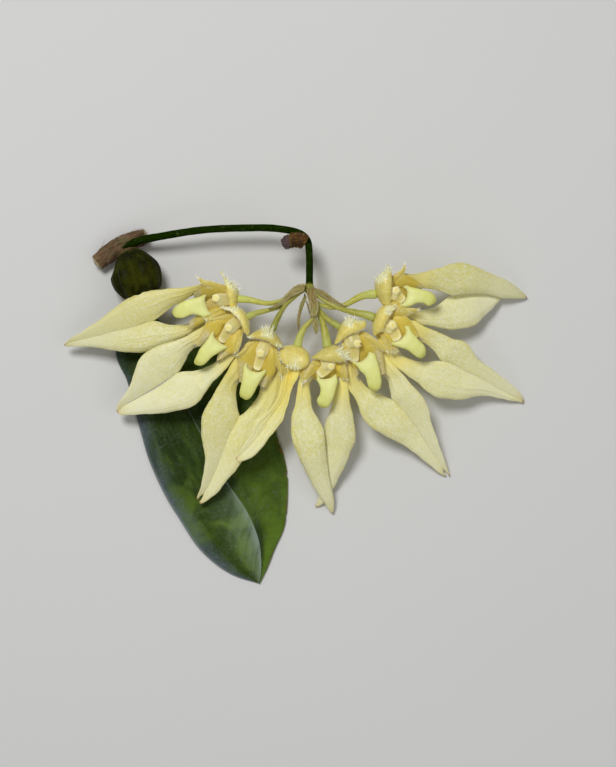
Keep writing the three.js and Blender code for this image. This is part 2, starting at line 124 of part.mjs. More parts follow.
const BRACTS = {
  bract_1: [[2.02,24.15,12.4,1.63,22.67,12.4],[0.22,23.8,12.24,0.16,22.02,12.24],[-1.28,22.74,12.02,-1.19,21.17,12.02],[-2.55,21.39,11.86,-2.45,20.18,11.86],[-3.93,20.17,11.76,-3.89,19.48,11.76],[-5.52,19.21,11.6,-5.42,18.97,11.6]],
  bract_2: [[1.72,22.35,10.4,2.18,21.56,10.4],[1.2,20.93,10.24,1.77,20.26,10.24],[0.65,19.53,9.96,1.3,18.99,9.96],[0.34,18.04,9.64,0.96,17.68,9.64],[0.24,16.53,9.32,0.82,16.33,9.32],[0.42,15.03,9.0,0.62,14.99,9.0]],
  bract_3: [[2.22,23.05,12.8,3.31,23.25,12.8],[2.23,21.94,12.86,3.83,22.17,12.86],[2.47,20.87,12.88,4.23,21.04,12.88],[2.69,19.79,12.82,4.44,19.87,12.82],[2.85,18.7,12.72,4.39,18.68,12.72],[3.01,17.61,12.6,4.14,17.51,12.6]],
  bract_4: [[1.92,21.12,11.4,2.54,20.13,11.4],[2.09,20.28,11.28,2.66,19.48,11.28],[2.31,19.44,11.16,2.8,18.83,11.16],[2.57,18.61,11.04,2.99,18.19,11.04],[2.84,17.79,10.92,3.21,17.57,10.92],[3.12,16.97,10.8,3.41,16.93,10.8]],
  bract_5: [[3.61,17.42,12.4,4.2,17.22,12.4],[3.3,16.8,12.28,4.45,16.63,12.28],[3.24,16.12,12.16,4.6,16.02,12.16],[3.39,15.45,12.04,4.58,15.38,12.04],[3.63,14.8,11.92,4.45,14.75,11.92],[3.91,14.17,11.8,4.2,14.17,11.8]],
  bract_6: [[3.21,23.47,12.2,3.91,22.68,12.2],[4.71,23.04,12.12,4.95,21.79,12.12],[6.11,22.35,11.92,6.1,21.03,11.92],[7.35,21.41,11.72,7.29,20.35,11.72],[8.63,20.51,11.6,8.55,19.82,11.6],[9.96,19.69,11.6,9.88,19.45,11.6]],
};
const SHEATH = [[-3.14,33.12,8.4,-2.88,32.13,8.4],[-2.38,33.83,9.2,-2.13,31.44,9.2],[-1.36,33.92,9.76,-1.16,31.44,9.76],[-0.3,33.81,10.08,-0.21,31.64,10.08],[0.75,33.7,10.16,0.77,31.62,10.16],[1.62,33.12,10.0,1.54,32.21,10.0]];
const LEAF = [[-32.05,21.39,4.4,-31.25,21.39,4.3,-30.44,21.39,4.4,0.0],[-34.14,17.28,2.86,-30.9,17.25,2.57,-27.92,17.5,2.86,0.17],[-36.1,13.09,1.45,-29.87,13.2,1.23,-23.92,15.05,1.45,0.32],[-36.01,8.57,0.92,-28.05,9.38,0.77,-19.53,13.18,0.92,0.43],[-34.27,4.29,0.67,-25.98,5.67,0.59,-15.15,11.23,0.67,0.54],[-33.06,-0.18,0.55,-23.8,2.02,0.5,-11.13,8.62,0.55,0.64],[-31.86,-4.65,0.54,-21.65,-1.65,0.5,-8.06,4.95,0.54,0.75],[-30.59,-9.11,0.54,-19.62,-5.39,0.5,-5.99,0.61,0.54,0.72],[-29.01,-13.46,0.53,-17.64,-9.16,0.5,-4.47,-3.96,0.53,0.68],[-27.05,-17.66,0.53,-15.66,-12.93,0.5,-3.04,-8.55,0.53,0.65],[-24.73,-21.67,0.52,-13.54,-16.62,0.5,-1.94,-13.23,0.52,0.62],[-22.27,-25.59,0.52,-11.15,-20.13,0.5,-1.7,-18.03,0.52,0.58],[-19.55,-29.34,0.51,-9.08,-23.85,0.5,-2.07,-22.82,0.51,0.55],[-16.15,-32.47,0.51,-7.65,-27.85,0.5,-3.45,-27.42,0.51,0.4],[-12.15,-34.79,0.5,-7.15,-32.07,0.5,-5.31,-31.85,0.5,0.25],[-7.75,-36.21,0.5,-7.54,-36.3,0.5,-7.34,-36.21,0.5,0.1]];
const BULB = [[-34.1,30.98,4.0,1.5],[-33.67,30.05,4.4,2.7],[-33.04,28.63,4.7,3.9],[-32.52,27.21,4.9,4.7],[-32.11,25.69,4.95,4.95],[-31.71,24.19,4.9,4.7],[-31.43,22.79,4.6,3.9],[-31.25,21.79,4.3,2.6],[-31.16,21.19,4.2,1.5]];
const RHIZOME = [[-40.33,28.77,2.1,1.7],[-38.91,29.88,2.1,1.9],[-37.5,30.99,2.1,2.0],[-35.88,32.01,2.1,2.0],[-34.05,32.92,2.1,1.9],[-32.23,33.63,2.1,1.8],[-30.41,34.14,2.0,1.6]];

// ---------------------------------------------------------------- solids
const wasm = await Module();
wasm.setup();

function solid(positions, triangles) {
  let volume = 0;
  const p = (i) => positions.slice(3 * i, 3 * i + 3);
  for (let i = 0; i < triangles.length; i += 3) {
    const [a, b, c] = [p(triangles[i]), p(triangles[i + 1]), p(triangles[i + 2])];
    volume +=
      a[0] * (b[1] * c[2] - b[2] * c[1]) -
      a[1] * (b[0] * c[2] - b[2] * c[0]) +
      a[2] * (b[0] * c[1] - b[1] * c[0]);
  }
  if (volume < 0)
    for (let i = 0; i < triangles.length; i += 3)
      [triangles[i + 1], triangles[i + 2]] = [triangles[i + 2], triangles[i + 1]];
  return new wasm.Manifold(
    new wasm.Mesh({
      numProp: 3,
      vertProperties: new Float32Array(positions),
      triVerts: new Uint32Array(triangles),
    }),
  );
}

// A closed skin over a grid of top points and the same grid of bottom points.
function slab(top, bottom) {
  const n = top.length,
    m = top[0].length,
    positions = [],
    triangles = [];
  for (const grid of [top, bottom]) for (const row of grid) for (const q of row) positions.push(...q);
  const T = (i, j) => i * m + j,
    B = (i, j) => n * m + i * m + j;
  const quad = (a, b, c, d) => triangles.push(a, b, c, a, c, d);
  for (let i = 0; i < n - 1; i++)
    for (let j = 0; j < m - 1; j++) {
      quad(T(i, j), T(i, j + 1), T(i + 1, j + 1), T(i + 1, j));
      quad(B(i, j), B(i + 1, j), B(i + 1, j + 1), B(i, j + 1));
    }
  for (let i = 0; i < n - 1; i++) {
    quad(T(i, 0), T(i + 1, 0), B(i + 1, 0), B(i, 0));
    quad(T(i, m - 1), B(i, m - 1), B(i + 1, m - 1), T(i + 1, m - 1));
  }
  for (let j = 0; j < m - 1; j++) {
    quad(T(0, j), B(0, j), B(0, j + 1), T(0, j + 1));
    quad(T(n - 1, j), T(n - 1, j + 1), B(n - 1, j + 1), B(n - 1, j));
  }
  return solid(positions, triangles);
}

// A blade between two margins: cols points across, crowned, thick in the middle. lap pushes
// the second margin outwards; grow makes it bigger all round; notch draws the base row back.
function blade(rows, { cols = 5, crown = 0, thick, edge, lap = 0, grow = 0, notch = null }) {
  const list = rows.map((r) => {
    const L = new THREE.Vector3(r[0], r[1], r[2]),
      R = new THREE.Vector3(r[3], r[4], r[5]);
    const across = R.clone().sub(L).setZ(0);
    const width = across.length();
    return { L, R, across: width > 1e-6 ? across.divideScalar(width) : null, width, c: r[6] ?? crown };
  });
  for (let i = list.length - 1; i >= 0; i--)
    if (!list[i].across || list[i].width < 0.15)
      list[i].across = (list[i - 1] || list[i + 1]).across?.clone() || new THREE.Vector3(1, 0, 0);
  list.forEach((q) => {
    if (q.width < TIP_WIDTH) {
      const d = (TIP_WIDTH - q.width) / 2;
      q.L.addScaledVector(q.across, -d);
      q.R.addScaledVector(q.across, d);
    }
    q.L.addScaledVector(q.across, -grow);
    q.R.addScaledVector(q.across, grow + lap);
  });
  if (grow) {
    const push = (a, b) => {
      const d = a.L.clone().add(a.R).sub(b.L).sub(b.R).setZ(0).normalize().multiplyScalar(grow);
      a.L.add(d);
      a.R.add(d);
    };
    push(list[0], list[1]);
    push(list[list.length - 1], list[list.length - 2]);
  }
  const top = [],
    bottom = [];
  list.forEach(({ L, R, c }, i) => {
    const t = i / (list.length - 1),
      a = [],
      b = [];
    for (let j = 0; j < cols; j++) {
      const s = j / (cols - 1),
        e = 1 - (2 * s - 1) ** 2;
      const q = L.clone().lerp(R, s);
      if (notch) {
        const k = e * (1 - t) ** 5;
        q.x += notch[0] * k;
        q.y += notch[1] * k;
      }
      const z = q.z + c * e,
        h = (edge + (thick - edge) * e) / 2 + grow;
      a.push([q.x, q.y, z + h]);
      b.push([q.x, q.y, z - h]);
    }
    top.push(a);
    bottom.push(b);
  });
  return slab(top, bottom);
}

// A round stem through rows of [x, y, z, radius], with flat ends.
function stem(rows, sides, grow = 0, squash = 1) {
  const P = rows.map((r) => new THREE.Vector3(r[0], r[1], r[2]));
  const positions = [],
    triangles = [];
  rows.forEach((r, i) => {
    const d = P[Math.min(i + 1, P.length - 1)].clone().sub(P[Math.max(i - 1, 0)]).normalize();
    const side = new THREE.Vector3(-d.y, d.x, 0).normalize();
    const up = new THREE.Vector3().crossVectors(d, side).multiplyScalar(squash);
    const c = P[i].clone();
    if (grow && i === 0) c.addScaledVector(d, -grow);
    if (grow && i === P.length - 1) c.addScaledVector(d, grow);
    for (let k = 0; k < sides; k++) {
      const a = (2 * Math.PI * k) / sides;
      const q = c
        .clone()
        .addScaledVector(side, Math.cos(a) * (r[3] + grow))
        .addScaledVector(up, Math.sin(a) * (r[3] + grow));
      positions.push(q.x, q.y, q.z);
    }
  });
  const n = rows.length,
    V = (i, k) => i * sides + (k % sides);
  for (let i = 0; i < n - 1; i++)
    for (let k = 0; k < sides; k++)
      triangles.push(V(i, k), V(i, k + 1), V(i + 1, k + 1), V(i, k), V(i + 1, k + 1), V(i + 1, k));
  for (let k = 1; k < sides - 1; k++) {
    triangles.push(V(0, 0), V(0, k + 1), V(0, k));
    triangles.push(V(n - 1, 0), V(n - 1, k), V(n - 1, k + 1));
  }
  return solid(positions, triangles);
}

// The largest single body of a solid, with vertices closer than snap made one, or null where
// that leaves an edge without exactly two faces.
function largestAt(m, snap) {
  const np = m.numProp,
    ids = new Map(),
    pos = [],
    map = [];
  for (let i = 0; i < m.vertProperties.length / np; i++) {
    const q = [0, 1, 2].map((k) => Math.round(m.vertProperties[i * np + k] / snap));
    const key = q.join(",");
    if (!ids.has(key)) {
      ids.set(key, pos.length / 3);
      pos.push(q[0] * snap, q[1] * snap, q[2] * snap);
    }
    map.push(ids.get(key));
  }
  const tri = [];
  for (let i = 0; i < m.triVerts.length; i += 3) {
    const t = [map[m.triVerts[i]], map[m.triVerts[i + 1]], map[m.triVerts[i + 2]]];
    if (t[0] !== t[1] && t[1] !== t[2] && t[2] !== t[0]) tri.push(t);
  }
  // bodies are the faces that share edges; two that only touch at a corner are apart
  const parent = tri.map((_, i) => i);
  const find = (i) => {
    while (parent[i] !== i) i = parent[i] = parent[parent[i]];
    return i;
  };
  const first = new Map();
  tri.forEach(([a, b, c], i) => {
    for (const [u, v] of [[a, b], [b, c], [c, a]]) {
      const key = u < v ? u + "_" + v : v + "_" + u;
      if (first.has(key)) parent[find(i)] = find(first.get(key));
      else first.set(key, i);
    }
  });
  const volume = new Map(),
    at = (i) => new THREE.Vector3(pos[3 * i], pos[3 * i + 1], pos[3 * i + 2]);
  tri.forEach(([a, b, c], i) => {
    volume.set(find(i), (volume.get(find(i)) || 0) + at(a).dot(at(b).cross(at(c))) / 6);
  });
  const best = [...volume].sort((a, b) => b[1] - a[1])[0][0];
  const used = new Map(),
    outPos = [],
    outTri = [],
    edges = new Map();
  for (const [i, t] of tri.entries())
    if (find(i) === best) {
      for (const v of t) {
        if (!used.has(v)) {
          used.set(v, outPos.length / 3);
          outPos.push(pos[3 * v], pos[3 * v + 1], pos[3 * v + 2]);
        }
        outTri.push(used.get(v));
      }
      for (const [a, b] of [[t[0], t[1]], [t[1], t[2]], [t[2], t[0]]]) {
        const key = a < b ? a + "_" + b : b + "_" + a;
        const e = edges.get(key) || [0, 0];
        e[a < b ? 0 : 1]++;
        edges.set(key, e);
      }
    }
  for (const [f, r] of edges.values()) if (f !== 1 || r !== 1) return null;
  return { pos: outPos, tri: outTri };
}
// Takes out faces thinner than thin and edges shorter than short, which boolean cuts leave: a
// short edge is drawn together, and a face with a corner almost on its long side hands that
// side over to the corner opposite.
function tidy({ pos, tri }, short, thin) {
  const at = (i) => new THREE.Vector3(pos[3 * i], pos[3 * i + 1], pos[3 * i + 2]);
  let faces = [];
  for (let i = 0; i < tri.length; i += 3) faces.push([tri[i], tri[i + 1], tri[i + 2]]);
  const normal = ([a, b, c]) => at(b).sub(at(a)).cross(at(c).sub(at(a)));
  const stuck = new Set();
  for (let round = 0; round < 4000; round++) {
    const around = new Map(),
      owner = new Map();
    faces.forEach((f, i) => {
      for (let k = 0; k < 3; k++) {
        owner.set(f[k] + "_" + f[(k + 1) % 3], i);
        if (!around.has(f[k])) around.set(f[k], []);
        around.get(f[k]).push(i);
      }
    });
    const touched = new Set(),
      dead = new Set();
    let changed = 0;
    for (let i = 0; i < faces.length; i++) {
      const f = faces[i];
      if (dead.has(i) || f.some((v) => touched.has(v))) continue;
      const e = [0, 1, 2].map((k) => at(f[k]).distanceTo(at(f[(k + 1) % 3])));
      const kMin = e.indexOf(Math.min(...e)),
        kMax = e.indexOf(Math.max(...e));
      const height = normal(f).length() / e[kMax];
      const ring = (v) => new Set(around.get(v).flatMap((j) => faces[j]).filter((w) => w !== v));
      if (e[kMin] < short || (height < thin && e[kMin] < 2.5 * thin)) {
        const u = f[kMin],
          v = f[(kMin + 1) % 3];
        const id = "c" + Math.min(u, v) + "_" + Math.max(u, v);
        if (!stuck.has(id)) {
          const ru = ring(u),
            rv = ring(v);
          const common = [...ru].filter((w) => rv.has(w));
          const all = [...ru, ...rv];
          let ok = common.length === 2 && !all.some((w) => touched.has(w));
          if (ok)
            for (const j of around.get(v)) {
              const g = faces[j];
              if (g.includes(u)) continue;
              const before = normal(g),
                after = normal(g.map((w) => (w === v ? u : w)));
              if (after.dot(before) <= 1e-9 && before.length() > 0.004) ok = false;
            }
          if (ok) {
            for (const j of around.get(v))
              if (faces[j].includes(u)) dead.add(j);
              else faces[j] = faces[j].map((w) => (w === v ? u : w));
            all.forEach((w) => touched.add(w));
            changed++;
            continue;
          } else if (common.length !== 2) stuck.add(id);
        }
      }
      if (height < thin) {
        const p = f[kMax],
          q = f[(kMax + 1) % 3],
          c = f[(kMax + 2) % 3];
        const j = owner.get(q + "_" + p);
        if (j === undefined || dead.has(j)) continue;
        const d = faces[j].find((w) => w !== p && w !== q);
        if ([p, q, c, d].some((w) => touched.has(w)) || ring(c).has(d)) continue;
        const id = "f" + [p, q, c, d].join("_");
        if (stuck.has(id)) continue;
        stuck.add(id);
        faces[i] = [p, d, c];
        faces[j] = [d, q, c];
        [p, q, c, d].forEach((w) => touched.add(w));
        changed++;
      }
    }
    faces = faces.filter((_, i) => !dead.has(i));
    if (!changed) break;
  }
  return { pos, tri: faces.flat() };
}

function largest(s, fine) {
  const m = s.getMesh();
  for (const snap of [0.006, 0.004, 0.003, 0.002]) {
    let made = largestAt(m, snap);
    for (let pass = 0; made && pass < 3; pass++) made = tidy(made, fine ? 0.05 : 0.1, fine ? 0.02 : 0.03);
    for (let pass = 0; made && pass < 2; pass++) made = largestAt(solid(made.pos, made.tri).getMesh(), 0.002);
    if (made) return made;
  }
  throw new Error("an edge has other than two faces");
}

// ---------------------------------------------------------------- the pieces, grown by g
const laterals = (f) => (g) => {
  const o = { cols: 5, thick: SEPAL_THICK, edge: SEPAL_EDGE, grow: g };
  return blade(LATERALS[f + "a"], { ...o, lap: SEAM_LAP }).add(blade(LATERALS[f + "b"], { ...o, lap: SEAM_LAP }));
};
const lip = (f) => (g) =>
  blade(LIPS[f].rows, { cols: 5, crown: 0.5, thick: LIP_THICK, edge: LIP_EDGE, notch: LIPS[f].notch, grow: g });
const hood = (f) => (g) => blade(HOODS[f], { cols: 5, crown: HOOD_CROWN, thick: HOOD_THICK, edge: 0.4, grow: g });
const petal = (k) => (g) => blade(PETALS[k], { cols: 3, crown: 0.2, thick: PETAL_THICK, edge: 0.35, grow: g });
const column = (f) => (g) => {
  const { p, f: foot, r } = COLUMNS[f];
  const body = stem(p.map((q, i) => [...q, r[Math.min(i, 2)]]), 8, g);
  const arm = stem(foot.map((q, i) => [...q, r[r.length - 1] * (i ? 1 : 1.1)]), 6, g);
  return body.add(arm);
};
const scape = (g) => {
  let s = stem(STEM, STEM_SIDES, g);
  for (const f of FLOWERS) s = s.add(stem(PEDICELS[f], PEDICEL_SIDES, g));
  return s;
};
const bract = (k) => (g) => blade(BRACTS[k], { cols: 3, crown: 0.15, thick: BRACT_THICK, edge: 0.34, grow: g });
const sheath = (g) => blade(SHEATH, { cols: 5, crown: 0.6, thick: SHEATH_THICK, edge: 0.4, grow: g });
const leaf = (g) => {
  const top = [],
    bottom = [];
  LEAF.forEach((r, i) => {
    const L = new THREE.Vector3(r[0], r[1], r[2]),
      C = new THREE.Vector3(r[3], r[4], r[5]),
      R = new THREE.Vector3(r[6], r[7], r[8]);
    const across = R.clone().sub(L).setZ(0);
    if (across.length() < 0.9) {
      const d = (0.9 - across.length()) / 2;
      across.normalize();
      L.addScaledVector(across, -d);
      R.addScaledVector(across, d);
    } else across.normalize();
    L.addScaledVector(across, -g);
    R.addScaledVector(across, g);
    const end = i === 0 ? -g : i === LEAF.length - 1 ? g : 0;
    const q = LEAF[Math.min(i + 1, LEAF.length - 1)],
      p = LEAF[Math.max(i - 1, 0)];
    const along = new THREE.Vector3(q[3] - p[3], q[4] - p[4], 0).normalize();
    const a = [],
      b = [];
    for (const [A, B, n] of [[L, C, 3], [C, R, 4]])
      for (let j = A === L ? 0 : 1; j < (A === L ? n : n); j++) {
        const s = A === L ? j / n : (j - 1) / (n - 1);
        const m = A.clone().lerp(B, s).addScaledVector(along, end);
        const e = 1 - (2 * s - 1) ** 2;
        const w = A === L ? s : 1 - s;
        const h = (LEAF_EDGE + (LEAF_THICK - LEAF_EDGE) * w) / 2 + g;
        const z = Math.max(m.z + r[9] * e, h);
        a.push([m.x, m.y, z + h]);
        b.push([m.x, m.y, z - h]);
      }
    top.push(a);
    bottom.push(b);
  });
  return slab(top, bottom);
};
const bulb = (g) => stem(BULB, BULB_SIDES, g, 0.98);
const rhizome = (g) => stem(RHIZOME, 8, g);

// ---------------------------------------------------------------- the plant
const FLOWERS = ["f1", "f2", "f3", "f4", "f5", "f6", "f7", "f8"];
const list = [["scape", scape, M.stem]];
for (const f of FLOWERS) list.push([f + "_column", column(f), M.column]);
for (const f of FLOWERS) list.push([f + "_lip", lip(f), M.lip]);
for (const f of FLOWERS) list.push([f + "_dorsal_sepal", hood(f), M.hood]);
for (const k of Object.keys(PETALS)) list.push([k, petal(k), M.petal]);
for (const f of ["f4", "f8", "f2", "f7", "f3", "f6", "f5", "f1"])
  list.push([f + "_lateral_sepals", laterals(f), M.sepal]);
for (const k of ["bract_3", "bract_5", "bract_1", "bract_6", "bract_2", "bract_4"])
  list.push([k, bract(k), M.bract]);
list.push(["pseudobulb", bulb, M.bulb]);
list.push(["leaf", leaf, M.leaf]);
list.push(["rhizome", rhizome, M.rhizome]);
list.push(["peduncle_sheath", sheath, M.sheath]);

const plant = new THREE.Group();
plant.name = "bulbophyllum_orchid";
const boxes = [];
const boxOf = (s) => {
  const b = s.boundingBox();
  return [b.min, b.max];
};
const near = (a, b) => [0, 1, 2].every((k) => a[0][k] < b[1][k] && b[0][k] < a[1][k]);
for (const [name, make, material] of list) {
  let s = make(0);
  const box = boxOf(s);
  // each piece gives way to those before it, with the clearance between them
  for (const other of boxes)
    if (near(box, other.box)) s = s.subtract(other.grown).subtract(other.plain);
  const grown = make(GAP);
  boxes.push({ grown, plain: make(0), box: boxOf(grown) });
  const { pos, tri } = largest(s, /petal|bract/.test(name));
  const geometry = new THREE.BufferGeometry();
  geometry.setAttribute("position", new THREE.Float32BufferAttribute(pos, 3));
  geometry.setIndex(tri);
  geometry.computeVertexNormals();
  const mesh = new THREE.Mesh(geometry, material);
  mesh.name = name;
  plant.add(mesh);
}

export default plant;
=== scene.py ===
import math
import bpy
import numpy as np
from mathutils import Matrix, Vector


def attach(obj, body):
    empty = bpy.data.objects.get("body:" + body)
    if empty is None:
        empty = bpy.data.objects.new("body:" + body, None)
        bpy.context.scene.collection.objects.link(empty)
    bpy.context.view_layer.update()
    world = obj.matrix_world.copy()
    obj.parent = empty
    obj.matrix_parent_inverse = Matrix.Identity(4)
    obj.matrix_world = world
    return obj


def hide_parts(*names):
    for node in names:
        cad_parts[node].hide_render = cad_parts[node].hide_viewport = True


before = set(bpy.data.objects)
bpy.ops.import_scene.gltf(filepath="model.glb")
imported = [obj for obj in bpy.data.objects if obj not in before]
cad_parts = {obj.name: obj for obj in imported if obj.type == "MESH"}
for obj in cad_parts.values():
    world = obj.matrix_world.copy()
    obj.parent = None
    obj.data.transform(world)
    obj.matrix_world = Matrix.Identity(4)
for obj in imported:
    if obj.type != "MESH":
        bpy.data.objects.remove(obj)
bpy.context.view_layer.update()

RNG = np.random.default_rng(20)
MM = 0.001

# ------------------------------------------------------------------ tables, millimetres
CENTRE = (2.42, 4.35)
STEM = [[-34.79,31.95,3.0,0.84],[-34.02,32.26,3.28,0.83],[-33.25,32.57,3.56,0.82],[-32.48,32.87,3.83,0.81],[-31.69,33.13,4.1,0.8],[-30.89,33.33,4.35,0.79],[-30.08,33.49,4.6,0.79],[-29.26,33.63,4.83,0.78],[-28.45,33.75,5.05,0.77],[-27.64,33.88,5.25,0.76],[-26.83,34.01,5.41,0.76],[-26.02,34.15,5.55,0.76],[-25.21,34.28,5.67,0.75],[-24.41,34.41,5.79,0.75],[-23.6,34.54,5.89,0.75],[-22.8,34.66,5.99,0.75],[-21.99,34.78,6.08,0.74],[-21.18,34.89,6.16,0.74],[-20.38,34.99,6.22,0.74],[-19.57,35.08,6.26,0.73],[-18.76,35.17,6.3,0.73],[-17.96,35.24,6.33,0.73],[-17.15,35.3,6.36,0.72],[-16.34,35.36,6.38,0.72],[-15.53,35.4,6.39,0.72],[-14.72,35.44,6.4,0.72],[-13.91,35.47,6.4,0.72],[-13.1,35.5,6.4,0.72],[-12.29,35.52,6.4,0.72],[-11.48,35.54,6.41,0.72],[-10.67,35.55,6.41,0.72],[-9.86,35.57,6.43,0.72],[-9.05,35.58,6.45,0.72],[-8.24,35.59,6.48,0.72],[-7.43,35.6,6.52,0.72],[-6.62,35.59,6.56,0.72],[-5.81,35.57,6.62,0.72],[-5.0,35.53,6.71,0.72],[-4.2,35.46,6.83,0.72],[-3.39,35.36,6.97,0.72],[-2.59,35.25,7.13,0.72],[-1.79,35.11,7.31,0.72],[-0.99,34.94,7.51,0.72],[-0.21,34.74,7.73,0.72],[0.56,34.47,7.98,0.72],[1.28,34.09,8.23,0.72],[1.89,33.55,8.48,0.72],[2.3,32.84,8.71,0.72],[2.52,32.06,8.93,0.71],[2.6,31.25,9.11,0.7],[2.66,30.44,9.27,0.7],[2.69,29.62,9.42,0.7],[2.71,28.81,9.55,0.7],[2.73,28.0,9.68,0.7],[2.72,27.19,9.81,0.7],[2.72,26.38,9.93,0.7],[2.71,25.57,10.06,0.71],[2.7,24.76,10.18,0.72],[2.68,23.96,10.29,0.82],[2.66,23.15,10.4,0.92]]
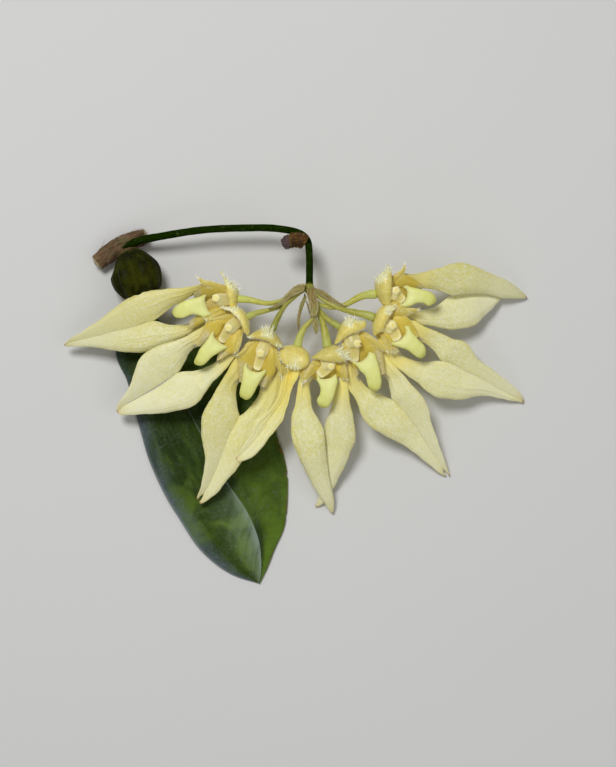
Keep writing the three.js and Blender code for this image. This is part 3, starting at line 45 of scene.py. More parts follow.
PEDICELS = {
 "f1": [[-11.49,21.2,10.8,0.84],[-10.88,21.14,10.77,0.79],[-10.26,21.09,10.74,0.74],[-9.64,21.02,10.71,0.69],[-9.03,20.93,10.68,0.65],[-8.42,20.8,10.66,0.61],[-7.82,20.65,10.63,0.56],[-7.21,20.51,10.61,0.53],[-6.6,20.41,10.6,0.51],[-5.99,20.32,10.6,0.5],[-5.37,20.29,10.6,0.48],[-4.75,20.34,10.6,0.47],[-4.14,20.46,10.6,0.47],[-3.54,20.63,10.6,0.46],[-2.95,20.82,10.6,0.45],[-2.37,21.03,10.6,0.45],[-1.79,21.27,10.6,0.44],[-1.22,21.52,10.6,0.44],[-0.66,21.78,10.6,0.44],[-0.1,22.05,10.6,0.44],[0.45,22.34,10.6,0.44],[1.0,22.64,10.6,0.46],[1.51,22.98,10.6,0.47],[2.02,23.34,10.6,0.48]],
 "f2": [[-9.68,17.54,11.6,0.76],[-9.17,17.79,11.46,0.71],[-8.65,18.03,11.31,0.66],[-8.12,18.25,11.17,0.61],[-7.57,18.41,11.02,0.57],[-7.02,18.55,10.88,0.54],[-6.46,18.68,10.76,0.5],[-5.9,18.82,10.67,0.47],[-5.34,18.95,10.62,0.46],[-4.78,19.08,10.61,0.45],[-4.23,19.24,10.6,0.44],[-3.69,19.42,10.6,0.44],[-3.16,19.64,10.6,0.44],[-2.65,19.9,10.6,0.44],[-2.16,20.21,10.6,0.44],[-1.71,20.56,10.6,0.44],[-1.26,20.92,10.6,0.44],[-0.8,21.27,10.6,0.44],[-0.35,21.62,10.6,0.44],[0.11,21.97,10.6,0.44],[0.57,22.31,10.6,0.44],[1.05,22.63,10.6,0.46],[1.54,22.93,10.6,0.47],[2.02,23.24,10.6,0.48]],
 "f3": [[-4.63,14.98,11.1,0.72],[-4.46,15.4,11.11,0.7],[-4.28,15.83,11.13,0.67],[-4.1,16.25,11.14,0.65],[-3.91,16.68,11.16,0.62],[-3.71,17.09,11.18,0.6],[-3.51,17.51,11.2,0.57],[-3.3,17.92,11.25,0.55],[-3.07,18.32,11.31,0.53],[-2.83,18.71,11.38,0.5],[-2.59,19.1,11.45,0.48],[-2.34,19.49,11.49,0.47],[-2.07,19.87,11.49,0.47],[-1.77,20.22,11.45,0.46],[-1.43,20.53,11.38,0.45],[-1.07,20.83,11.3,0.45],[-0.73,21.13,11.21,0.44],[-0.38,21.44,11.12,0.44],[-0.03,21.75,11.03,0.44],[0.32,22.05,10.95,0.44],[0.69,22.33,10.86,0.44],[1.06,22.6,10.77,0.46],[1.44,22.87,10.69,0.47],[1.82,23.14,10.6,0.48]],
 "f4": [[0.33,11.81,10.4,0.92],[0.45,12.34,10.42,0.87],[0.57,12.87,10.44,0.82],[0.73,13.39,10.47,0.77],[0.91,13.9,10.49,0.73],[1.12,14.4,10.51,0.68],[1.36,14.88,10.53,0.63],[1.65,15.34,10.55,0.59],[1.98,15.77,10.57,0.56],[2.33,16.18,10.58,0.53],[2.72,16.56,10.58,0.5],[3.16,16.89,10.57,0.49],[3.54,17.27,10.56,0.47],[3.78,17.75,10.54,0.46],[3.91,18.28,10.53,0.45],[3.92,18.82,10.52,0.45],[3.84,19.35,10.5,0.44],[3.71,19.88,10.49,0.44],[3.54,20.4,10.47,0.44],[3.37,20.91,10.46,0.44],[3.19,21.43,10.44,0.44],[3.01,21.94,10.43,0.46],[2.82,22.44,10.41,0.47],[2.62,22.95,10.4,0.48]],
 "f5": [[6.29,11.6,11.1,0.98],[6.21,12.09,11.03,0.94],[6.14,12.58,10.96,0.91],[6.06,13.06,10.88,0.87],[5.97,13.55,10.81,0.83],[5.88,14.04,10.74,0.8],[5.79,14.52,10.68,0.76],[5.69,15.01,10.64,0.72],[5.58,15.49,10.61,0.69],[5.44,15.96,10.6,0.65],[5.29,16.43,10.6,0.61],[5.13,16.9,10.6,0.58],[4.97,17.36,10.6,0.55],[4.8,17.83,10.6,0.53],[4.62,18.29,10.6,0.51],[4.43,18.74,10.6,0.49],[4.23,19.2,10.6,0.47],[4.03,19.64,10.6,0.46],[3.82,20.09,10.6,0.45],[3.62,20.54,10.6,0.44],[3.42,20.99,10.6,0.44],[3.22,21.44,10.6,0.45],[3.02,21.89,10.6,0.45],[2.82,22.35,10.6,0.46]],
 "f6": [[8.77,15.47,11.4,0.72],[8.43,15.7,11.28,0.7],[8.09,15.93,11.17,0.68],[7.75,16.16,11.05,0.66],[7.41,16.39,10.94,0.64],[7.06,16.61,10.83,0.62],[6.72,16.84,10.73,0.59],[6.38,17.08,10.66,0.57],[6.06,17.34,10.62,0.56],[5.75,17.62,10.6,0.55],[5.46,17.91,10.6,0.54],[5.19,18.22,10.6,0.53],[4.94,18.54,10.6,0.51],[4.71,18.89,10.6,0.5],[4.5,19.24,10.6,0.48],[4.31,19.6,10.6,0.47],[4.12,19.97,10.6,0.46],[3.93,20.34,10.6,0.45],[3.74,20.7,10.6,0.45],[3.55,21.07,10.6,0.44],[3.37,21.44,10.6,0.44],[3.18,21.81,10.6,0.45],[3.0,22.18,10.6,0.45],[2.82,22.54,10.6,0.46]],
 "f7": [[15.52,17.45,11.4,0.94],[14.95,17.65,11.36,0.9],[14.38,17.85,11.32,0.85],[13.81,18.03,11.29,0.81],[13.22,18.17,11.25,0.77],[12.63,18.28,11.22,0.72],[12.04,18.39,11.2,0.67],[11.45,18.52,11.21,0.63],[10.86,18.65,11.25,0.6],[10.28,18.8,11.31,0.57],[9.7,18.96,11.37,0.54],[9.12,19.14,11.4,0.52],[8.55,19.33,11.4,0.5],[7.99,19.55,11.37,0.48],[7.44,19.8,11.3,0.47],[6.91,20.09,11.23,0.46],[6.39,20.39,11.15,0.45],[5.88,20.71,11.07,0.44],[5.37,21.04,10.99,0.44],[4.87,21.39,10.91,0.44],[4.39,21.75,10.83,0.44],[3.92,22.14,10.76,0.46],[3.47,22.54,10.68,0.47],[3.02,22.94,10.6,0.48]],
 "f8": [[15.91,22.11,11.6,0.98],[15.26,22.08,11.46,0.93],[14.6,22.03,11.31,0.88],[13.96,21.93,11.17,0.82],[13.32,21.79,11.02,0.77],[12.71,21.55,10.88,0.72],[12.13,21.25,10.76,0.68],[11.55,20.93,10.67,0.64],[10.98,20.6,10.62,0.6],[10.41,20.27,10.61,0.57],[9.82,19.98,10.6,0.54],[9.21,19.73,10.6,0.51],[8.57,19.57,10.6,0.5],[7.91,19.48,10.6,0.49],[7.25,19.47,10.6,0.48],[6.6,19.56,10.6,0.47],[5.96,19.72,10.6,0.46],[5.32,19.88,10.6,0.46],[4.69,20.09,10.6,0.46],[4.17,20.48,10.6,0.45],[3.76,21.01,10.6,0.45],[3.41,21.56,10.6,0.45],[3.1,22.14,10.6,0.46],[2.82,22.74,10.6,0.48]],
}
SEPALS = {
 "f1a": {"rows":[[-12.71,22.96,10.2,-12.91,20.98,10.0],[-13.51,23.28,10.11,-13.75,21.05,9.84],[-14.33,23.57,10.01,-14.59,21.14,9.69],[-15.16,23.81,9.92,-15.42,21.28,9.53],[-16.01,24.01,9.83,-16.24,21.49,9.38],[-16.86,24.16,9.73,-16.97,21.9,9.22],[-17.73,24.25,9.64,-17.63,22.43,9.07],[-18.59,24.23,9.55,-18.44,22.62,8.91],[-19.43,24.02,9.46,-19.26,22.44,8.74],[-20.28,23.85,9.36,-20.08,22.24,8.57],[-21.14,23.69,9.27,-20.83,21.85,8.39],[-22.0,23.55,9.18,-21.54,21.4,8.22],[-22.86,23.43,9.08,-22.26,20.96,8.05],[-23.73,23.37,8.99,-23.0,20.55,7.89],[-24.6,23.34,8.92,-23.78,20.24,7.75],[-25.46,23.29,8.84,-24.54,19.86,7.61],[-26.33,23.2,8.77,-25.22,19.36,7.47],[-27.2,23.12,8.69,-25.89,18.84,7.33],[-28.06,23.04,8.62,-26.55,18.32,7.19],[-28.93,22.95,8.55,-27.22,17.8,7.05],[-29.8,22.86,8.47,-27.9,17.3,6.95],[-30.66,22.74,8.4,-28.64,16.9,6.88],[-31.5,22.5,8.32,-29.46,16.68,6.82],[-32.27,22.11,8.25,-30.28,16.48,6.75],[-33.04,21.7,8.13,-31.09,16.23,6.65],[-33.81,21.28,7.92,-31.9,15.97,6.51],[-34.55,20.8,7.72,-32.72,15.72,6.37],[-35.24,20.26,7.51,-33.54,15.49,6.23],[-35.94,19.74,7.31,-34.37,15.3,6.09],[-36.66,19.23,7.11,-35.21,15.14,5.95],[-37.38,18.73,6.9,-36.04,14.97,5.81],[-38.11,18.23,6.7,-36.87,14.77,5.67],[-38.76,17.64,6.49,-37.69,14.52,5.53],[-39.41,17.05,6.29,-38.51,14.28,5.4],[-40.17,16.6,6.08,-39.34,14.07,5.26],[-40.95,16.17,5.86,-40.18,13.89,5.11],[-41.71,15.71,5.63,-41.02,13.7,4.96],[-42.45,15.22,5.4,-41.86,13.52,4.81],[-43.19,14.73,5.16,-42.7,13.33,4.66],[-43.95,14.26,4.93,-43.54,13.13,4.5],[-44.71,13.81,4.7,-44.37,12.93,4.35],[-45.48,13.36,4.47,-45.2,12.69,4.2],[-46.22,12.85,4.23,-46.01,12.41,4.05],[-46.81,12.2,4.0,-46.82,12.12,3.9]],"tc":0.486,"patch":[0,0]},
 "f1b": {"rows":[[-12.31,18.58,10.2,-12.91,20.98,10.0],[-13.01,18.13,10.04,-13.68,20.69,9.84],[-13.73,17.7,9.89,-14.45,20.39,9.69],[-14.47,17.31,9.73,-15.21,20.05,9.53],[-15.22,16.94,9.58,-15.93,19.66,9.38],[-15.98,16.59,9.42,-16.65,19.25,9.22],[-16.75,16.25,9.27,-17.36,18.82,9.07],[-17.52,15.92,9.1,-18.06,18.39,8.91],[-18.27,15.55,8.91,-18.8,18.02,8.74],[-19.05,15.24,8.73,-19.57,17.72,8.57],[-19.85,14.96,8.54,-20.31,17.33,8.39],[-20.62,14.62,8.35,-20.89,16.75,8.22],[-21.38,14.25,8.17,-21.59,16.34,8.05],[-22.13,13.88,7.99,-22.41,16.22,7.89],[-22.89,13.5,7.86,-23.24,16.15,7.75],[-23.64,13.13,7.73,-24.07,16.08,7.61],[-24.4,12.76,7.6,-24.91,16.08,7.47],[-25.15,12.38,7.47,-25.73,16.21,7.33],[-25.91,12.01,7.34,-26.54,16.43,7.19],[-26.68,11.66,7.21,-27.33,16.7,7.05],[-27.47,11.35,7.08,-28.14,16.89,6.95],[-28.26,11.06,6.95,-28.97,16.85,6.88],[-29.07,10.82,6.81,-29.77,16.63,6.82],[-29.9,10.63,6.68,-30.56,16.39,6.75],[-30.74,10.54,6.55,-31.36,16.14,6.65],[-31.59,10.55,6.42,-32.16,15.89,6.51],[-32.44,10.58,6.29,-32.96,15.65,6.37],[-33.29,10.61,6.16,-33.77,15.43,6.23],[-34.14,10.66,6.03,-34.59,15.26,6.09],[-34.99,10.73,5.9,-35.41,15.1,5.95],[-35.84,10.81,5.77,-36.23,14.93,5.81],[-36.68,10.94,5.64,-37.04,14.71,5.67],[-37.52,11.11,5.51,-37.85,14.47,5.53],[-38.35,11.28,5.38,-38.66,14.24,5.4],[-39.19,11.42,5.25,-39.47,14.04,5.26],[-40.04,11.55,5.1,-40.3,13.86,5.11],[-40.89,11.63,4.94,-41.12,13.68,4.96],[-41.75,11.67,4.78,-41.95,13.5,4.81],[-42.61,11.71,4.61,-42.77,13.31,4.66],[-43.47,11.76,4.45,-43.59,13.12,4.5],[-44.33,11.8,4.29,-44.41,12.91,4.35],[-45.19,11.8,4.13,-45.23,12.68,4.2],[-46.05,11.77,3.96,-46.03,12.4,4.05],[-46.84,12.04,3.8,-46.82,12.12,3.9]],"tc":0.477,"patch":[0.163,0.256]},
 "f2a": {"rows":[[-11.69,18.55,11.0,-10.9,16.77,10.8],[-12.43,18.34,10.94,-11.52,16.39,10.71],[-13.17,18.12,10.88,-12.13,16.01,10.61],[-13.91,17.89,10.81,-12.77,15.65,10.52],[-14.64,17.64,10.75,-13.43,15.36,10.43],[-15.37,17.38,10.69,-14.12,15.11,10.33],[-16.08,17.07,10.63,-14.8,14.84,10.24],[-16.77,16.72,10.55,-15.45,14.53,10.11],[-17.44,16.33,10.46,-16.1,14.18,9.96],[-18.11,15.95,10.36,-16.72,13.8,9.8],[-18.79,15.56,10.27,-17.3,13.35,9.65],[-19.45,15.17,10.18,-17.84,12.87,9.49],[-20.12,14.77,10.08,-18.38,12.37,9.34],[-20.79,14.37,9.99,-18.92,11.88,9.18],[-21.47,14.0,9.9,-19.6,11.62,8.94],[-22.17,13.67,9.8,-20.31,11.43,8.71],[-22.88,13.36,9.71,-20.85,10.94,8.48],[-23.61,13.08,9.62,-21.33,10.38,8.25],[-24.35,12.84,9.53,-21.71,9.76,8.01],[-25.1,12.62,9.43,-21.99,9.08,7.78],[-25.85,12.39,9.34,-22.36,8.45,7.62],[-26.59,12.16,9.25,-22.73,7.81,7.51],[-27.33,11.92,9.15,-23.08,7.17,7.39],[-28.06,11.65,9.06,-23.58,6.63,7.28],[-28.75,11.27,8.93,-24.18,6.21,7.15],[-29.42,10.87,8.72,-24.79,5.79,7.0],[-30.1,10.47,8.52,-25.4,5.37,6.85],[-30.69,9.95,8.31,-26.0,4.95,6.7],[-31.18,9.34,8.11,-26.61,4.53,6.55],[-31.58,8.67,7.91,-27.23,4.12,6.4],[-31.91,7.96,7.7,-27.86,3.72,6.25],[-32.2,7.23,7.5,-28.49,3.34,6.11],[-32.46,6.5,7.29,-29.14,2.97,5.96],[-32.68,5.75,7.09,-29.79,2.61,5.81],[-32.89,4.99,6.88,-30.44,2.25,5.66],[-33.19,4.27,6.63,-31.09,1.89,5.5],[-33.54,3.56,6.35,-31.74,1.53,5.34],[-33.93,2.87,6.07,-32.39,1.17,5.18],[-34.42,2.25,5.8,-33.05,0.81,5.01],[-34.94,1.64,5.52,-33.71,0.46,4.85],[-35.42,1.01,5.24,-34.35,0.08,4.69],[-35.81,0.31,4.96,-34.95,-0.36,4.53],[-36.11,-0.42,4.68,-35.53,-0.84,4.36],[-36.17,-1.19,4.4,-36.1,-1.32,4.2]],"tc":0.545,"patch":[0.209,0.349]},
 "f2b": {"rows":[[-9.7,15.77,11.0,-10.9,16.77,10.8],[-10.12,15.07,10.97,-11.19,16.09,10.71],[-10.5,14.36,10.94,-11.5,15.42,10.61],[-10.81,13.6,10.91,-11.82,14.75,10.52],[-11.02,12.82,10.88,-12.18,14.1,10.43],[-11.13,12.01,10.84,-12.55,13.46,10.33],[-11.3,11.21,10.81,-12.93,12.82,10.24],[-11.58,10.45,10.72,-13.33,12.18,10.11],[-11.93,9.71,10.58,-13.75,11.57,9.96],[-12.44,9.08,10.44,-14.23,11.0,9.8],[-13.0,8.49,10.3,-14.71,10.43,9.65],[-13.48,7.82,10.17,-15.13,9.81,9.49],[-13.97,7.16,10.03,-15.56,9.2,9.34],[-14.52,6.55,9.88,-16.05,8.64,9.18],[-15.09,5.97,9.71,-16.67,8.21,8.94],[-15.7,5.41,9.53,-17.35,7.89,8.71],[-16.31,4.86,9.35,-18.05,7.59,8.48],[-16.87,4.26,9.18,-18.74,7.3,8.25],[-17.37,3.6,9.0,-19.46,7.07,8.01],[-17.84,2.93,8.82,-20.2,6.91,7.78],[-18.28,2.23,8.65,-20.95,6.83,7.62],[-18.7,1.52,8.47,-21.71,6.81,7.51],[-19.22,0.88,8.29,-22.46,6.77,7.39],[-19.85,0.35,8.11,-23.21,6.65,7.28],[-20.53,-0.13,7.93,-23.91,6.4,7.15],[-21.28,-0.48,7.75,-24.54,5.97,7.0],[-22.08,-0.7,7.56,-25.16,5.54,6.85],[-22.89,-0.88,7.38,-25.78,5.11,6.7],[-23.7,-1.09,7.19,-26.4,4.68,6.55],[-24.51,-1.29,7.0,-27.03,4.25,6.4],[-25.33,-1.44,6.82,-27.67,3.84,6.25],[-26.16,-1.55,6.63,-28.31,3.44,6.11],[-26.99,-1.64,6.45,-28.97,3.07,5.96],[-27.82,-1.71,6.26,-29.64,2.7,5.81],[-28.66,-1.75,6.07,-30.3,2.33,5.66],[-29.49,-1.79,5.87,-30.97,1.96,5.5],[-30.33,-1.83,5.67,-31.64,1.59,5.34],[-31.17,-1.88,5.46,-32.3,1.22,5.18],[-32.01,-1.92,5.25,-32.97,0.85,5.01],[-32.85,-1.96,5.04,-33.65,0.49,4.85],[-33.69,-2.02,4.83,-34.31,0.11,4.69],[-34.53,-2.09,4.62,-34.93,-0.34,4.53],[-35.37,-1.98,4.41,-35.51,-0.83,4.36],[-36.06,-1.52,4.2,-36.1,-1.32,4.2]],"tc":0.555,"patch":[0.186,0.302]},
 "f3a": {"rows":[[-8.72,13.1,10.5,-6.73,12.81,10.3],[-9.41,12.67,10.42,-6.87,11.99,10.19],[-10.07,12.16,10.34,-7.01,11.18,10.08],[-10.63,11.56,10.27,-7.21,10.38,9.97],[-11.13,10.92,10.19,-7.49,9.6,9.87],[-11.58,10.22,10.11,-7.83,8.85,9.76],[-12.02,9.53,10.03,-8.24,8.13,9.65],[-12.49,8.86,9.91,-8.71,7.44,9.47],[-12.92,8.15,9.76,-9.2,6.77,9.24],[-13.33,7.44,9.6,-9.69,6.09,9.01],[-13.74,6.72,9.45,-10.2,5.44,8.77],[-14.16,6.01,9.29,-10.84,4.91,8.54],[-14.6,5.31,9.14,-11.49,4.39,8.31],[-15.04,4.61,8.99,-11.82,3.64,8.08],[-15.46,3.9,8.86,-11.94,2.81,7.9],[-15.86,3.18,8.73,-11.98,1.98,7.71],[-16.27,2.46,8.6,-11.92,1.15,7.52],[-16.72,1.76,8.47,-11.81,0.33,7.34],[-17.16,1.06,8.34,-11.71,-0.5,7.15],[-17.58,0.35,8.21,-11.52,-1.31,6.97],[-17.99,-0.37,8.08,-11.3,-2.08,6.82],[-18.39,-1.1,7.95,-11.62,-2.86,6.71],[-18.68,-1.88,7.81,-12.02,-3.59,6.59],[-18.85,-2.69,7.68,-12.45,-4.31,6.48],[-18.96,-3.51,7.53,-12.86,-5.04,6.35],[-19.01,-4.34,7.35,-13.27,-5.77,6.2],[-19.0,-5.17,7.16,-13.62,-6.53,6.05],[-18.95,-6.0,6.98,-13.92,-7.32,5.9],[-18.84,-6.82,6.79,-14.2,-8.11,5.75],[-18.71,-7.64,6.6,-14.48,-8.91,5.6],[-18.56,-8.46,6.42,-14.76,-9.7,5.45],[-18.41,-9.28,6.23,-15.05,-10.49,5.31],[-18.32,-10.11,6.05,-15.36,-11.28,5.16],[-18.28,-10.94,5.86,-15.68,-12.06,5.01],[-18.31,-11.78,5.67,-16.01,-12.83,4.86],[-18.43,-12.61,5.46,-16.35,-13.61,4.7],[-18.58,-13.44,5.23,-16.69,-14.38,4.52],[-18.75,-14.26,5.0,-17.05,-15.15,4.35],[-18.93,-15.09,4.76,-17.43,-15.91,4.17],[-19.12,-15.91,4.53,-17.83,-16.66,4.0],[-19.31,-16.73,4.3,-18.27,-17.38,3.82],[-19.54,-17.55,4.07,-18.75,-18.09,3.65],[-19.78,-18.36,3.83,-19.23,-18.79,3.47],[-20.0,-19.18,3.6,-19.71,-19.5,3.3]],"tc":0.467,"patch":[0.186,0.279]},
 "f3b": {"rows":[[-4.34,12.6,10.5,-6.73,12.81,10.3],[-3.87,11.85,10.42,-6.61,11.99,10.19],[-3.54,11.03,10.34,-6.49,11.18,10.08],[-3.35,10.16,10.27,-6.38,10.36,9.97],[-3.26,9.28,10.19,-6.3,9.54,9.87],[-3.2,8.39,10.11,-6.25,8.71,9.76],[-3.12,7.51,10.03,-6.25,7.88,9.65],[-3.03,6.62,9.88,-6.33,7.06,9.47],[-2.97,5.73,9.66,-6.47,6.25,9.24],[-2.93,4.84,9.45,-6.67,5.44,9.01],[-2.94,3.95,9.23,-6.94,4.66,8.77],[-3.01,3.06,9.01,-7.12,3.85,8.54],[-3.12,2.18,8.8,-7.22,3.02,8.31],[-3.31,1.3,8.58,-7.43,2.22,8.08],[-3.58,0.45,8.37,-7.81,1.48,7.9],[-3.92,-0.38,8.17,-8.31,0.81,7.71],[-4.3,-1.19,7.97,-8.82,0.15,7.52],[-4.71,-1.99,7.76,-9.36,-0.49,7.34],[-5.13,-2.79,7.56,-9.93,-1.11,7.15],[-5.57,-3.57,7.35,-10.54,-1.68,6.97],[-6.02,-4.35,7.15,-11.24,-2.12,6.82],[-6.48,-5.13,6.94,-11.69,-2.83,6.71],[-6.94,-5.9,6.74,-12.09,-3.56,6.59],[-7.42,-6.67,6.53,-12.48,-4.3,6.48],[-7.9,-7.44,6.35,-12.87,-5.04,6.35],[-8.39,-8.19,6.22,-13.27,-5.78,6.2],[-8.9,-8.94,6.09,-13.62,-6.54,6.05],[-9.42,-9.67,5.96,-13.92,-7.33,5.9],[-9.97,-10.39,5.83,-14.2,-8.12,5.75],[-10.54,-11.1,5.7,-14.48,-8.91,5.6],[-11.12,-11.79,5.57,-14.76,-9.71,5.45],[-11.69,-12.49,5.44,-15.06,-10.49,5.31],[-12.18,-13.25,5.31,-15.36,-11.28,5.16],[-12.76,-13.95,5.18,-15.68,-12.06,5.01],[-13.41,-14.58,5.05,-16.01,-12.84,4.86],[-13.99,-15.28,4.89,-16.35,-13.61,4.7],[-14.51,-16.03,4.7,-16.7,-14.38,4.52],[-15.04,-16.77,4.52,-17.05,-15.15,4.35],[-15.65,-17.45,4.33,-17.43,-15.91,4.17],[-16.33,-18.06,4.14,-17.83,-16.66,4.0],[-17.04,-18.63,3.96,-18.27,-17.38,3.82],[-17.77,-19.18,3.77,-18.75,-18.09,3.65],[-18.55,-19.66,3.59,-19.23,-18.79,3.47],[-19.4,-20.0,3.4,-19.71,-19.5,3.3]],"tc":0.467,"patch":[0.14,0.279]},
 "f4a": {"rows":[[-1.55,9.02,11.0,-0.26,9.02,10.8],[-1.88,8.6,11.0,-0.42,8.5,10.77],[-2.21,8.17,11.0,-0.58,7.98,10.74],[-2.5,7.72,11.0,-0.75,7.47,10.71],[-2.74,7.24,11.0,-0.96,6.96,10.68],[-2.91,6.74,11.0,-1.17,6.46,10.64],[-2.95,6.21,11.0,-1.3,5.94,10.61],[-2.94,5.67,10.98,-1.37,5.4,10.57],[-2.99,5.14,10.95,-1.46,4.86,10.53],[-3.03,4.61,10.92,-1.56,4.33,10.48],[-3.09,4.07,10.89,-1.66,3.79,10.43],[-3.16,3.54,10.86,-1.79,3.26,10.39],[-3.26,3.01,10.83,-1.93,2.74,10.34],[-3.39,2.49,10.8,-2.11,2.23,10.29],[-3.55,1.98,10.75,-2.32,1.72,10.23],[-3.75,1.49,10.7,-2.54,1.23,10.17],[-3.98,1.0,10.66,-2.79,0.74,10.11],[-4.25,0.54,10.61,-3.05,0.26,10.05],[-4.55,0.09,10.56,-3.33,-0.21,9.98],[-4.88,-0.33,10.52,-3.64,-0.66,9.92],[-5.24,-0.73,10.47,-3.97,-1.09,9.85],[-5.64,-1.09,10.42,-4.31,-1.52,9.78],[-6.06,-1.42,10.38,-4.63,-1.96,9.72],[-6.49,-1.74,10.33,-4.94,-2.41,9.65],[-6.93,-2.05,10.27,-5.24,-2.87,9.58],[-7.4,-2.32,10.17,-5.53,-3.33,9.51],[-7.86,-2.59,10.08,-5.82,-3.8,9.45],[-8.25,-2.97,9.99,-6.11,-4.26,9.38],[-8.5,-3.44,9.9,-6.41,-4.71,9.32],[-8.68,-3.95,9.8,-6.72,-5.17,9.25],[-8.82,-4.47,9.71,-7.03,-5.62,9.19],[-8.92,-5.0,9.62,-7.35,-6.06,9.12],[-9.05,-5.53,9.52,-7.69,-6.49,9.06],[-9.26,-6.02,9.43,-8.04,-6.91,8.99],[-9.51,-6.5,9.34,-8.4,-7.32,8.93],[-9.78,-6.97,9.24,-8.78,-7.73,8.86],[-10.07,-7.43,9.15,-9.16,-8.12,8.79],[-10.38,-7.87,9.06,-9.54,-8.51,8.72],[-10.68,-8.32,8.97,-9.94,-8.89,8.65],[-10.98,-8.77,8.87,-10.34,-9.26,8.58],[-11.28,-9.23,8.78,-10.75,-9.63,8.51],[-11.56,-9.68,8.69,-11.16,-10.0,8.44],[-11.85,-10.15,8.59,-11.56,-10.37,8.37],[-12.08,-10.63,8.5,-11.97,-10.74,8.3]],"tc":0.127,"patch":[0,0]},
 "f4b": {"rows":[[1.03,9.02,11.0,-0.26,9.02,10.8],[1.05,8.42,11.03,-0.42,8.5,10.77],[1.05,7.82,11.06,-0.58,7.98,10.74],[0.99,7.23,11.09,-0.75,7.47,10.71],[0.8,6.66,11.12,-0.96,6.96,10.68],[0.59,6.1,11.16,-1.17,6.46,10.64],[0.42,5.53,11.19,-1.3,5.94,10.61],[0.19,4.98,11.18,-1.37,5.4,10.57],[-0.18,4.51,11.15,-1.46,4.86,10.53],[-0.48,3.99,11.12,-1.56,4.33,10.48],[-0.69,3.44,11.09,-1.66,3.79,10.43],[-0.89,2.87,11.06,-1.79,3.26,10.39],[-1.06,2.3,11.03,-1.93,2.74,10.34],[-1.2,1.72,10.99,-2.11,2.23,10.29],[-1.34,1.13,10.93,-2.32,1.72,10.23],[-1.5,0.56,10.86,-2.54,1.23,10.17],[-1.68,-0.01,10.8,-2.79,0.74,10.11],[-1.85,-0.59,10.73,-3.05,0.26,10.05],[-2.02,-1.16,10.67,-3.33,-0.21,9.98],[-2.17,-1.74,10.6,-3.64,-0.66,9.92],[-2.33,-2.32,10.54,-3.97,-1.09,9.85],[-2.54,-2.88,10.47,-4.31,-1.52,9.78],[-2.85,-3.39,10.41,-4.63,-1.96,9.72],[-3.22,-3.87,10.34,-4.94,-2.41,9.65],[-3.61,-4.33,10.27,-5.24,-2.87,9.58],[-3.98,-4.8,10.17,-5.53,-3.33,9.51],[-4.35,-5.27,10.08,-5.82,-3.8,9.45],[-4.72,-5.75,9.99,-6.11,-4.26,9.38],[-5.09,-6.22,9.9,-6.41,-4.71,9.32],[-5.44,-6.71,9.8,-6.72,-5.17,9.25],[-5.79,-7.2,9.71,-7.03,-5.62,9.19],[-6.14,-7.69,9.62,-7.35,-6.06,9.12],[-6.51,-8.17,9.52,-7.69,-6.49,9.06],[-6.9,-8.63,9.43,-8.04,-6.91,8.99],[-7.3,-9.08,9.34,-8.4,-7.32,8.93],[-7.72,-9.51,9.24,-8.78,-7.73,8.86],[-8.17,-9.92,9.15,-9.16,-8.12,8.79],[-8.65,-10.28,9.06,-9.54,-8.51,8.72],[-9.16,-10.61,8.97,-9.94,-8.89,8.65],[-9.69,-10.89,8.87,-10.34,-9.26,8.58],[-10.26,-11.1,8.78,-10.75,-9.63,8.51],[-10.86,-11.19,8.69,-11.16,-10.0,8.44],[-11.46,-11.19,8.59,-11.56,-10.37,8.37],[-11.96,-10.89,8.5,-11.97,-10.74,8.3]],"tc":0.127,"patch":[0,0]},
